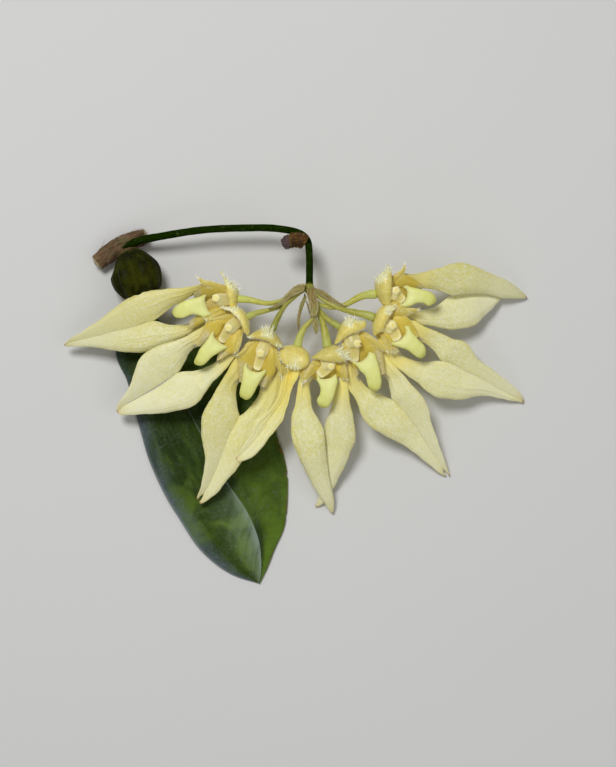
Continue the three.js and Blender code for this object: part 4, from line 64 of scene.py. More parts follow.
 "f5a": {"rows":[[4.81,9.82,10.5,6.6,9.42,10.5],[4.11,9.39,10.45,6.19,8.77,10.45],[3.43,8.93,10.41,5.79,8.12,10.41],[2.8,8.41,10.36,5.37,7.47,10.36],[2.22,7.82,10.31,4.93,6.84,10.31],[1.74,7.16,10.27,4.43,6.26,10.27],[1.32,6.46,10.22,3.85,5.75,10.22],[0.95,5.72,10.13,3.31,5.21,10.13],[0.66,4.96,10.01,2.88,4.57,10.01],[0.46,4.16,9.88,2.71,3.83,9.88],[0.29,3.36,9.76,2.77,3.06,9.76],[0.16,2.55,9.64,2.91,2.3,9.64],[0.06,1.73,9.51,3.03,1.54,9.51],[-0.05,0.91,9.39,3.06,0.77,9.39],[-0.18,0.1,9.24,3.14,0.0,9.24],[-0.38,-0.7,9.09,3.36,-0.74,9.09],[-0.64,-1.48,8.94,3.68,-1.44,8.94],[-0.84,-2.28,8.79,4.11,-2.08,8.79],[-0.95,-3.1,8.64,4.52,-2.73,8.64],[-0.99,-3.92,8.49,4.87,-3.43,8.49],[-0.98,-4.75,8.34,5.22,-4.12,8.34],[-0.96,-5.58,8.19,5.53,-4.83,8.19],[-0.86,-6.4,8.05,5.68,-5.59,8.05],[-0.66,-7.2,7.9,5.76,-6.36,7.9],[-0.41,-7.99,7.68,5.84,-7.13,7.68],[-0.13,-8.78,7.35,5.91,-7.91,7.35],[0.17,-9.56,7.01,5.97,-8.69,7.01],[0.5,-10.32,6.68,6.04,-9.48,6.68],[0.85,-11.09,6.34,6.13,-10.26,6.34],[1.22,-11.84,6.01,6.22,-11.04,6.01],[1.59,-12.59,5.67,6.31,-11.82,5.67],[1.96,-13.35,5.34,6.41,-12.61,5.34],[2.33,-14.1,5.0,6.5,-13.39,5.0],[2.7,-14.86,4.67,6.6,-14.18,4.67],[3.09,-15.61,4.33,6.74,-14.96,4.33],[3.49,-16.35,3.98,6.92,-15.73,3.98],[3.91,-17.09,3.6,7.11,-16.51,3.6],[4.35,-17.82,3.23,7.29,-17.28,3.23],[4.8,-18.54,2.86,7.47,-18.06,2.86],[5.28,-19.24,2.49,7.61,-18.85,2.49],[5.77,-19.94,2.12,7.67,-19.65,2.12],[6.24,-20.65,1.74,7.69,-20.45,1.74],[6.72,-21.36,1.37,7.6,-21.25,1.37],[7.29,-21.99,1.0,7.42,-22.03,1.0]],"tc":0.0,"patch":[0,0]},
 "f5b": {"rows":[[8.39,9.82,10.5,6.6,9.42,10.5],[9.06,9.42,10.45,6.91,8.79,10.45],[9.65,8.93,10.41,7.24,8.16,10.41],[10.04,8.26,10.36,7.61,7.55,10.36],[10.23,7.5,10.31,7.94,6.93,10.31],[10.26,6.73,10.27,8.2,6.27,10.27],[10.29,5.95,10.22,8.32,5.57,10.22],[10.32,5.17,10.09,8.26,4.87,10.09],[10.35,4.39,9.89,8.12,4.17,9.89],[10.42,3.61,9.69,7.98,3.47,9.69],[10.56,2.85,9.48,7.83,2.78,9.48],[10.65,2.07,9.28,7.67,2.09,9.28],[10.73,1.29,9.08,7.49,1.4,9.08],[10.83,0.51,8.87,7.33,0.71,8.87],[10.97,-0.26,8.6,7.17,0.01,8.6],[11.14,-1.02,8.33,6.97,-0.68,8.33],[11.33,-1.79,8.06,6.73,-1.35,8.06],[11.53,-2.55,7.79,6.47,-2.02,7.79],[11.69,-3.32,7.52,6.21,-2.68,7.52],[11.79,-4.11,7.25,5.96,-3.35,7.25],[11.87,-4.89,6.98,5.77,-4.05,6.98],[11.94,-5.68,6.71,5.68,-4.76,6.71],[11.94,-6.47,6.45,5.62,-5.48,6.45],[11.84,-7.25,6.18,5.57,-6.2,6.18],[11.61,-8.01,5.89,5.52,-6.92,5.89],[11.29,-8.73,5.57,5.47,-7.64,5.57],[10.98,-9.47,5.26,5.41,-8.36,5.26],[10.72,-10.22,4.94,5.33,-9.09,4.94],[10.44,-10.96,4.62,5.26,-9.81,4.62],[10.13,-11.7,4.31,5.18,-10.53,4.31],[9.81,-12.43,3.99,5.12,-11.26,3.99],[9.48,-13.15,3.68,5.06,-11.99,3.68],[9.12,-13.87,3.36,5.01,-12.72,3.36],[8.77,-14.59,3.04,4.97,-13.45,3.04],[8.43,-15.32,2.73,4.94,-14.18,2.73],[8.07,-16.03,2.46,4.91,-14.91,2.46],[7.63,-16.7,2.23,4.88,-15.64,2.23],[7.2,-17.37,2.0,4.84,-16.38,2.0],[6.81,-18.08,1.76,4.79,-17.11,1.76],[6.42,-18.77,1.53,4.73,-17.84,1.53],[6.0,-19.46,1.3,4.64,-18.57,1.3],[5.48,-20.07,1.07,4.44,-19.27,1.07],[4.79,-20.47,0.83,4.17,-19.96,0.83],[4.05,-20.76,0.6,3.88,-20.63,0.6]],"tc":0.0,"patch":[0.093,0.186]},
 "f6a": {"rows":[[9.38,12.8,10.8,11.57,14.19,10.6],[9.61,11.98,10.74,11.65,13.37,10.51],[9.84,11.16,10.68,11.73,12.54,10.41],[10.02,10.33,10.61,11.79,11.71,10.32],[10.16,9.49,10.55,11.82,10.88,10.23],[10.24,8.64,10.49,11.86,10.05,10.13],[10.28,7.79,10.43,11.93,9.22,10.04],[10.28,6.94,10.3,12.03,8.4,9.88],[10.28,6.09,10.11,12.16,7.58,9.66],[10.3,5.23,9.93,12.32,6.76,9.45],[10.34,4.38,9.74,12.56,5.96,9.23],[10.47,3.54,9.55,12.92,5.21,9.01],[10.85,2.77,9.37,13.37,4.5,8.8],[11.33,2.06,9.18,13.94,3.89,8.58],[11.78,1.33,8.93,14.57,3.33,8.33],[12.18,0.57,8.69,15.29,2.9,8.08],[12.5,-0.23,8.45,16.06,2.55,7.83],[12.73,-1.06,8.21,16.84,2.24,7.58],[13.05,-1.86,7.97,17.6,1.87,7.33],[13.47,-2.61,7.72,18.38,1.53,7.09],[13.96,-3.32,7.48,19.15,1.19,6.85],[14.54,-3.96,7.24,19.86,0.73,6.62],[15.2,-4.52,7.0,20.46,0.13,6.38],[15.93,-4.98,6.76,21.03,-0.49,6.15],[16.69,-5.41,6.5,21.64,-1.09,5.9],[17.44,-5.85,6.2,22.24,-1.69,5.61],[18.19,-6.3,5.9,22.77,-2.36,5.32],[18.95,-6.73,5.6,23.26,-3.06,5.03],[19.73,-7.13,5.31,23.76,-3.74,4.75],[20.53,-7.49,5.01,24.27,-4.44,4.46],[21.34,-7.83,4.71,24.72,-5.16,4.17],[22.08,-8.3,4.41,25.14,-5.9,3.88],[22.77,-8.84,4.11,25.63,-6.61,3.59],[23.48,-9.37,3.82,26.15,-7.3,3.3],[24.18,-9.91,3.52,26.6,-8.03,3.02],[24.85,-10.47,3.22,27.03,-8.77,2.74],[25.55,-11.02,2.92,27.5,-9.49,2.47],[26.26,-11.55,2.61,27.99,-10.2,2.2],[26.95,-12.1,2.31,28.47,-10.92,1.94],[27.63,-12.67,2.01,28.93,-11.65,1.67],[28.29,-13.27,1.71,29.4,-12.38,1.4],[28.98,-13.83,1.4,29.89,-13.09,1.13],[29.75,-14.28,1.1,30.38,-13.8,0.87],[30.56,-14.65,0.8,30.88,-14.52,0.6]],"tc":0.468,"patch":[0.116,0.256]},
 "f6b": {"rows":[[13.75,14.78,10.8,11.57,14.19,10.6],[14.31,14.23,10.77,12.14,13.63,10.51],[14.87,13.67,10.74,12.71,13.06,10.41],[15.41,13.1,10.71,13.28,12.5,10.32],[15.95,12.52,10.68,13.86,11.94,10.23],[16.46,11.92,10.64,14.42,11.37,10.13],[16.96,11.3,10.61,14.95,10.76,10.04],[17.43,10.67,10.53,15.45,10.12,9.88],[17.87,10.02,10.41,15.86,9.44,9.66],[18.33,9.37,10.28,16.18,8.7,9.45],[18.83,8.76,10.16,16.45,7.94,9.23],[19.38,8.19,10.04,16.68,7.16,9.01],[19.95,7.63,9.91,16.94,6.4,8.8],[20.51,7.08,9.78,17.46,5.8,8.58],[21.06,6.5,9.55,18.08,5.27,8.33],[21.6,5.91,9.33,18.49,4.58,8.08],[22.14,5.32,9.11,18.64,3.79,7.83],[22.63,4.7,8.88,18.82,3.0,7.58],[23.11,4.06,8.66,18.99,2.2,7.33],[23.68,3.5,8.44,19.16,1.41,7.09],[24.29,2.98,8.21,19.67,0.8,6.85],[24.87,2.42,7.99,20.31,0.29,6.62],[25.34,1.77,7.77,20.86,-0.32,6.38],[25.74,1.08,7.55,21.43,-0.9,6.15],[26.11,0.37,7.29,22.02,-1.47,5.9],[26.44,-0.37,6.97,22.56,-2.09,5.61],[26.72,-1.12,6.66,23.04,-2.76,5.32],[26.92,-1.9,6.34,23.52,-3.43,5.03],[27.07,-2.69,6.02,24.02,-4.09,4.75],[27.25,-3.48,5.71,24.48,-4.77,4.46],[27.46,-4.26,5.39,24.9,-5.49,4.17],[27.75,-5.02,5.08,25.33,-6.19,3.88],[28.09,-5.75,4.76,25.82,-6.86,3.59],[28.39,-6.51,4.44,26.3,-7.54,3.3],[28.66,-7.28,4.13,26.72,-8.26,3.02],[28.93,-8.05,3.78,27.15,-8.97,2.74],[29.2,-8.82,3.42,27.61,-9.66,2.47],[29.48,-9.59,3.06,28.09,-10.35,2.2],[29.78,-10.36,2.7,28.55,-11.04,1.94],[30.08,-11.12,2.34,28.99,-11.75,1.67],[30.36,-11.9,1.98,29.45,-12.45,1.4],[30.62,-12.68,1.62,29.92,-13.14,1.13],[30.89,-13.46,1.26,30.4,-13.83,0.87],[31.17,-14.24,0.9,30.88,-14.52,0.6]],"tc":0.45,"patch":[0.186,0.326]},
 "f7a": {"rows":[[18.12,19.75,10.8,17.14,16.98,10.4],[18.83,19.41,10.74,17.87,16.74,10.31],[19.54,19.06,10.68,18.61,16.5,10.21],[20.22,18.66,10.61,19.34,16.26,10.12],[20.87,18.23,10.55,20.06,16.0,10.03],[21.53,17.79,10.49,20.77,15.69,9.93],[22.19,17.36,10.43,21.45,15.33,9.84],[22.91,17.04,10.3,22.09,14.89,9.68],[23.67,16.8,10.11,22.67,14.38,9.46],[24.36,16.42,9.93,23.23,13.85,9.25],[25.06,16.04,9.74,23.8,13.32,9.03],[25.78,15.69,9.55,24.39,12.81,8.81],[26.5,15.36,9.37,25.14,12.63,8.6],[27.24,15.08,9.17,25.86,12.34,8.38],[28.0,14.8,8.91,26.51,11.91,8.13],[28.73,14.47,8.65,27.09,11.39,7.88],[29.45,14.12,8.39,27.66,10.85,7.63],[30.18,13.8,8.13,28.15,10.25,7.38],[30.93,13.51,7.87,28.58,9.6,7.13],[31.7,13.25,7.61,29.07,9.0,6.89],[32.49,13.12,7.35,29.82,8.78,6.65],[33.28,12.94,7.09,30.59,8.63,6.42],[34.01,12.6,6.83,31.33,8.35,6.18],[34.66,12.13,6.57,32.05,8.03,5.95],[35.12,11.47,6.3,32.76,7.68,5.7],[35.55,10.8,6.02,33.45,7.3,5.42],[36.01,10.14,5.74,34.14,6.91,5.14],[36.44,9.46,5.47,34.85,6.55,4.87],[37.05,8.93,5.19,35.57,6.21,4.59],[37.71,8.46,4.91,36.29,5.87,4.31],[38.39,8.01,4.63,37.01,5.52,4.03],[39.07,7.55,4.35,37.73,5.16,3.75],[39.74,7.09,4.07,38.43,4.79,3.47],[40.4,6.61,3.79,39.13,4.4,3.19],[41.04,6.1,3.51,39.84,4.02,2.91],[41.68,5.59,3.23,40.54,3.64,2.65],[42.34,5.1,2.93,41.25,3.26,2.39],[43.0,4.62,2.64,41.96,2.88,2.13],[43.65,4.12,2.35,42.66,2.5,1.88],[44.29,3.6,2.06,43.37,2.12,1.62],[44.9,3.05,1.77,44.07,1.73,1.37],[45.45,2.44,1.48,44.78,1.34,1.11],[45.89,1.75,1.19,45.49,0.96,0.86],[46.2,1.0,0.9,46.21,0.59,0.6]],"tc":0.449,"patch":[0.163,0.279]},
 "f7b": {"rows":[[15.64,14.79,10.6,17.14,16.98,10.4],[15.88,13.99,10.54,17.46,16.25,10.31],[16.15,13.2,10.48,17.79,15.52,10.21],[16.5,12.44,10.41,18.15,14.8,10.12],[16.9,11.7,10.35,18.54,14.1,10.03],[17.29,10.96,10.29,18.95,13.41,9.93],[17.71,10.23,10.23,19.39,12.73,9.84],[18.19,9.55,10.1,19.85,12.07,9.68],[18.72,8.9,9.91,20.31,11.41,9.46],[19.29,8.27,9.73,20.76,10.74,9.25],[19.9,7.69,9.54,21.14,10.03,9.03],[20.57,7.18,9.35,21.83,9.62,8.81],[21.25,6.68,9.17,22.58,9.32,8.6],[21.93,6.18,8.98,23.35,9.05,8.38],[22.62,5.69,8.73,24.14,8.83,8.13],[23.34,5.23,8.49,24.95,8.72,7.88],[24.03,4.73,8.25,25.77,8.66,7.63],[24.68,4.19,8.01,26.59,8.68,7.38],[25.28,3.59,7.77,27.4,8.82,7.13],[25.92,3.02,7.52,28.22,8.88,6.89],[26.61,2.52,7.28,29.04,8.88,6.65],[27.33,2.05,7.04,29.86,8.8,6.42],[28.08,1.65,6.8,30.66,8.62,6.18],[28.91,1.41,6.56,31.42,8.32,5.95],[29.76,1.3,6.3,32.18,7.98,5.7],[30.62,1.25,6.0,32.92,7.61,5.42],[31.48,1.18,5.7,33.64,7.2,5.14],[32.34,1.08,5.4,34.36,6.8,4.87],[33.21,1.11,5.11,35.11,6.44,4.59],[34.07,1.23,4.81,35.86,6.08,4.31],[34.92,1.41,4.51,36.61,5.72,4.03],[35.77,1.59,4.21,37.36,5.36,3.75],[36.62,1.75,3.91,38.1,4.97,3.47],[37.49,1.84,3.62,38.83,4.57,3.19],[38.36,1.82,3.32,39.57,4.18,2.91],[39.23,1.72,3.03,40.3,3.78,2.65],[40.09,1.55,2.73,41.04,3.38,2.39],[40.95,1.37,2.44,41.77,2.98,2.13],[41.81,1.19,2.15,42.51,2.59,1.88],[42.67,1.03,1.86,43.25,2.19,1.62],[43.54,0.88,1.57,43.98,1.78,1.37],[44.41,0.78,1.28,44.72,1.37,1.11],[45.27,0.61,0.99,45.46,0.98,0.86],[46.12,0.35,0.7,46.21,0.59,0.6]],"tc":0.473,"patch":[0.116,0.233]},
 "f8a": {"rows":[[17.92,24.91,11.0,17.12,22.53,11.0],[18.52,25.28,10.97,17.79,22.68,10.97],[19.14,25.62,10.94,18.45,22.83,10.94],[19.81,25.87,10.91,19.11,22.98,10.91],[20.49,26.05,10.88,19.78,23.14,10.88],[21.19,26.18,10.84,20.44,23.28,10.84],[21.9,26.19,10.81,21.12,23.38,10.81],[22.6,26.13,10.73,21.8,23.44,10.73],[23.32,26.16,10.61,22.48,23.47,10.61],[24.03,26.25,10.48,23.17,23.47,10.48],[24.73,26.36,10.36,23.85,23.43,10.36],[25.43,26.53,10.24,24.54,23.37,10.24],[26.11,26.73,10.11,25.22,23.3,10.11],[26.81,26.92,9.97,25.9,23.24,9.97],[27.52,27.07,9.71,26.6,23.19,9.71],[28.22,27.25,9.45,27.29,23.11,9.45],[28.91,27.48,9.19,27.97,22.99,9.19],[29.59,27.75,8.93,28.64,22.82,8.93],[30.26,28.03,8.67,29.31,22.62,8.67],[30.96,28.27,8.41,29.97,22.39,8.41],[31.67,28.42,8.15,30.62,22.15,8.15],[32.39,28.53,7.89,31.29,21.96,7.89],[33.12,28.54,7.63,31.98,22.03,7.63],[33.84,28.43,7.37,32.68,22.11,7.37],[34.56,28.29,7.09,33.38,22.18,7.09],[35.27,28.12,6.77,34.09,22.25,6.77],[35.96,27.89,6.46,34.8,22.3,6.46],[36.63,27.61,6.14,35.51,22.33,6.14],[37.3,27.3,5.82,36.22,22.34,5.82],[37.97,27.02,5.51,36.93,22.35,5.51],[38.65,26.75,5.19,37.64,22.38,5.19],[39.34,26.49,4.88,38.35,22.36,4.88],[40.02,26.22,4.56,39.05,22.22,4.56],[40.71,25.96,4.24,39.74,22.04,4.24],[41.4,25.7,3.93,40.44,21.89,3.93],[42.09,25.42,3.6,41.13,21.72,3.6],[42.76,25.12,3.26,41.83,21.58,3.26],[43.41,24.77,2.92,42.55,21.55,2.92],[44.04,24.38,2.59,43.27,21.55,2.59],[44.65,23.97,2.25,44.0,21.55,2.25],[45.24,23.53,1.91,44.72,21.54,1.91],[45.83,23.08,1.57,45.45,21.55,1.57],[46.38,22.59,1.24,46.17,21.6,1.24],[46.87,22.04,0.9,46.87,21.8,0.9]],"tc":0.0,"patch":[0.116,0.279]},
 "f8b": {"rows":[[17.12,20.14,11.0,17.12,22.53,11.0],[17.65,19.76,10.91,17.59,22.13,10.91],[18.19,19.38,10.81,18.05,21.73,10.81],[18.74,19.02,10.72,18.53,21.34,10.72],[19.31,18.69,10.63,19.02,20.98,10.63],[19.9,18.39,10.53,19.53,20.63,10.53],[20.51,18.14,10.44,20.04,20.28,10.44],[21.14,17.94,10.28,20.55,19.94,10.28],[21.78,17.75,10.06,21.08,19.61,10.06],[22.41,17.55,9.85,21.61,19.3,9.85],[23.0,17.26,9.63,22.18,19.05,9.63],[23.58,16.92,9.41,22.79,18.94,9.41],[24.14,16.57,9.2,23.41,18.91,9.2],[24.73,16.25,8.97,24.04,18.91,8.97],[25.38,16.09,8.69,24.67,18.94,8.69],[26.04,15.99,8.41,25.3,19.02,8.41],[26.7,15.87,8.13,25.92,19.13,8.13],[27.37,15.77,7.86,26.54,19.26,7.86],[28.04,15.66,7.58,27.15,19.43,7.58],[28.7,15.51,7.3,27.74,19.68,7.3],[29.36,15.36,7.02,28.3,19.98,7.02],[30.03,15.27,6.74,28.82,20.34,6.74],[30.71,15.21,6.46,29.32,20.74,6.46],[31.39,15.19,6.18,29.82,21.14,6.18],[32.07,15.21,5.92,30.33,21.52,5.92],[32.75,15.26,5.67,30.88,21.84,5.67],[33.42,15.36,5.43,31.48,22.08,5.43],[34.09,15.49,5.19,32.09,22.27,5.19],[34.75,15.66,4.95,32.7,22.43,4.95],[35.4,15.86,4.71,33.33,22.56,4.71],[36.04,16.12,4.46,33.96,22.66,4.46],[36.62,16.48,4.22,34.6,22.73,4.22],[37.1,16.97,3.98,35.24,22.79,3.98],[37.56,17.47,3.74,35.88,22.82,3.74],[38.07,17.93,3.5,36.52,22.82,3.5],[38.58,18.38,3.29,37.16,22.8,3.29],[39.08,18.86,3.1,37.79,22.75,3.1],[39.55,19.35,2.92,38.43,22.69,2.92],[40.01,19.85,2.73,39.07,22.64,2.73],[40.47,20.36,2.54,39.7,22.58,2.54],[40.93,20.87,2.36,40.34,22.53,2.36],[41.4,21.36,2.17,40.98,22.48,2.17],[41.91,21.82,1.99,41.62,22.46,1.99],[42.44,22.25,1.8,42.26,22.46,1.8]],"tc":0.0,"patch":[0.14,0.233]},
}
LIPS = {
 "f1": {"rows":[[-17.65,21.84,11.7,-16.66,18.22,11.7],[-18.15,21.71,11.83,-17.16,17.93,11.83],[-18.65,21.58,11.97,-17.66,17.66,11.97],[-19.15,21.46,12.02,-18.21,17.52,12.02],[-19.66,21.37,12.06,-18.76,17.66,12.06],[-20.17,21.27,12.09,-19.31,17.83,12.09],[-20.68,21.17,12.06,-19.86,18.0,12.06],[-21.19,21.04,12.01,-20.43,18.03,12.01],[-21.68,20.87,11.95,-20.99,17.92,11.95],[-22.17,20.68,11.9,-21.51,17.66,11.9],[-22.65,20.48,11.73,-22.04,17.42,11.73],[-23.12,20.23,11.57,-22.61,17.32,11.57],[-23.56,19.95,11.4,-23.19,17.32,11.4],[-23.96,19.61,11.17,-23.77,17.43,11.17],[-24.3,19.21,10.93,-24.24,17.77,10.93],[-24.56,18.76,10.7,-24.56,18.27,10.7]],"notch":[-0.5,-0.01]},
 "f2": {"rows":[[-16.05,14.67,12.5,-13.44,11.83,12.5],[-16.42,14.32,12.63,-13.85,11.51,12.63],[-16.77,13.95,12.77,-14.25,11.19,12.77],[-17.09,13.56,12.82,-14.66,10.87,12.82],[-17.4,13.16,12.86,-15.08,10.56,12.86],[-17.72,12.77,12.89,-15.51,10.27,12.89],[-18.04,12.38,12.86,-15.96,10.0,12.86],[-18.37,11.99,12.81,-16.4,9.72,12.81],[-18.69,11.6,12.75,-16.8,9.39,12.75],[-19.01,11.2,12.7,-17.16,9.01,12.7],[-19.26,10.76,12.53,-17.52,8.63,12.53],[-19.45,10.29,12.37,-17.9,8.27,12.37],[-19.66,9.83,12.2,-18.36,8.02,12.2],[-19.9,9.38,11.97,-18.87,7.88,11.97],[-20.12,8.92,11.73,-19.4,7.93,11.73],[-20.2,8.42,11.5,-19.91,8.1,11.5]],"notch":[-0.8,-0.09]},
 "f3": {"rows":[[-9.63,8.67,12.0,-5.91,7.36,12.0],[-9.9,8.27,12.13,-6.02,6.86,12.13],[-10.14,7.85,12.27,-6.21,6.38,12.27],[-10.3,7.39,12.32,-6.44,5.92,12.32],[-10.4,6.92,12.36,-6.68,5.46,12.36],[-10.48,6.44,12.39,-6.92,5.0,12.39],[-10.54,5.96,12.36,-7.17,4.55,12.36],[-10.6,5.48,12.31,-7.43,4.1,12.31],[-10.66,5.0,12.25,-7.68,3.65,12.25],[-10.76,4.52,12.2,-7.92,3.19,12.2],[-10.87,4.05,12.03,-8.14,2.72,12.03],[-10.98,3.57,11.87,-8.41,2.27,11.87],[-11.08,3.1,11.7,-8.69,1.84,11.7],[-11.16,2.61,11.47,-9.03,1.44,11.47],[-11.13,2.13,11.23,-9.49,1.19,11.23],[-10.99,1.67,11.0,-10.0,1.07,11.0]],"notch":[-0.62,-0.92]},
 "f4": {"rows":[[-1.39,7.85,7.4,0.82,7.85,7.4],[-1.49,7.57,7.53,0.72,7.55,7.53],[-1.59,7.28,7.67,0.62,7.25,7.67],[-1.69,7.0,7.73,0.52,6.96,7.73],[-1.77,6.7,7.76,0.42,6.66,7.76],[-1.83,6.41,7.79,0.32,6.36,7.79],[-1.86,6.1,7.76,0.23,6.06,7.76],[-1.88,5.8,7.71,0.13,5.76,7.71],[-1.88,5.5,7.65,0.02,5.46,7.65],[-1.86,5.2,7.6,-0.09,5.17,7.6],[-1.82,4.9,7.43,-0.21,4.87,7.43],[-1.77,4.6,7.27,-0.34,4.58,7.27],[-1.7,4.3,7.1,-0.47,4.3,7.1],[-1.62,4.01,6.87,-0.6,4.01,6.87],[-1.51,3.73,6.63,-0.75,3.73,6.63],[-1.39,3.45,6.4,-0.89,3.45,6.4]],"notch":[0.0,-0.6]},
 "f5": {"rows":[[4.09,6.15,12.0,8.31,5.64,12.0],[4.1,5.71,12.13,8.36,5.15,12.13],[4.12,5.26,12.27,8.36,4.65,12.27],[4.24,4.83,12.32,8.25,4.17,12.32],[4.45,4.44,12.36,8.1,3.7,12.36],[4.64,4.04,12.39,7.96,3.23,12.39],[4.79,3.62,12.36,7.83,2.75,12.36],[4.88,3.18,12.31,7.7,2.28,12.31],[4.88,2.74,12.25,7.55,1.81,12.25],[4.78,2.31,12.2,7.37,1.34,12.2],[4.61,1.89,12.03,7.18,0.89,12.03],[4.35,1.53,11.87,6.96,0.44,11.87],[4.17,1.13,11.7,6.71,0.02,11.7],[4.21,0.68,11.47,6.36,-0.33,11.47],[4.39,0.27,11.23,5.89,-0.47,11.23],[4.61,-0.12,11.0,5.4,-0.56,11.0]],"notch":[-0.71,-0.38]},
 "f6": {"rows":[[11.23,9.01,12.3,14.4,10.73,12.3],[11.53,8.61,12.43,14.99,10.53,12.43],[11.83,8.21,12.57,15.48,10.17,12.57],[12.12,7.81,12.62,15.8,9.63,12.62],[12.39,7.4,12.66,16.05,9.06,12.66],[12.65,6.98,12.69,16.28,8.48,12.69],[12.96,6.59,12.66,16.45,7.88,12.66],[13.38,6.33,12.61,16.6,7.28,12.61],[13.69,5.95,12.55,16.73,6.67,12.55],[13.88,5.49,12.5,16.84,6.06,12.5],[14.02,5.02,12.33,16.94,5.44,12.33],[14.14,4.53,12.17,16.99,4.82,12.17],[14.27,4.06,12.0,16.95,4.2,12.0],[14.45,3.59,11.77,16.8,3.6,11.77],[14.75,3.2,11.53,16.44,3.1,11.53],[15.13,2.86,11.3,15.92,2.76,11.3]],"notch":[0.2,-0.79]},
 "f7": {"rows":[[21.34,15.84,12.3,18.76,12.67,12.3],[21.85,15.79,12.43,19.16,12.37,12.43],[22.28,15.52,12.57,19.55,12.07,12.57],[22.62,15.12,12.62,19.97,11.79,12.62],[22.94,14.71,12.66,20.41,11.57,12.66],[23.24,14.29,12.69,20.88,11.39,12.69],[23.57,13.88,12.66,21.36,11.26,12.66],[23.9,13.47,12.61,21.83,11.09,12.61],[24.25,13.09,12.55,22.28,10.87,12.55],[24.63,12.73,12.5,22.68,10.57,12.5],[25.0,12.36,12.33,23.06,10.24,12.33],[25.36,11.98,12.17,23.47,9.94,12.17],[25.64,11.53,12.0,23.89,9.67,12.0],[25.8,11.04,11.77,24.35,9.44,11.77],[25.82,10.52,11.53,24.84,9.37,11.53],[25.75,10.01,11.3,25.33,9.53,11.3]],"notch":[0.96,-0.5]},
 "f8": {"rows":[[21.03,23.46,12.5,20.54,19.89,12.5],[21.49,23.64,12.63,21.01,19.74,12.63],[22.0,23.56,12.77,21.5,19.64,12.77],[22.51,23.46,12.82,22.0,19.59,12.82],[23.02,23.38,12.86,22.5,19.63,12.86],[23.53,23.29,12.89,22.98,19.78,12.89],[24.04,23.19,12.86,23.43,20.02,12.86],[24.54,23.06,12.81,23.9,20.2,12.81],[25.05,22.93,12.75,24.4,20.27,12.75],[25.56,22.82,12.7,24.91,20.27,12.7],[26.07,22.7,12.53,25.41,20.16,12.53],[26.56,22.52,12.37,25.85,19.91,12.37],[27.02,22.26,12.2,26.31,19.71,12.2],[27.42,21.92,11.97,26.81,19.83,11.97],[27.72,21.5,11.73,27.27,20.07,11.73],[27.92,21.02,11.5,27.7,20.36,11.5]],"notch":[0.97,0.1]},
}
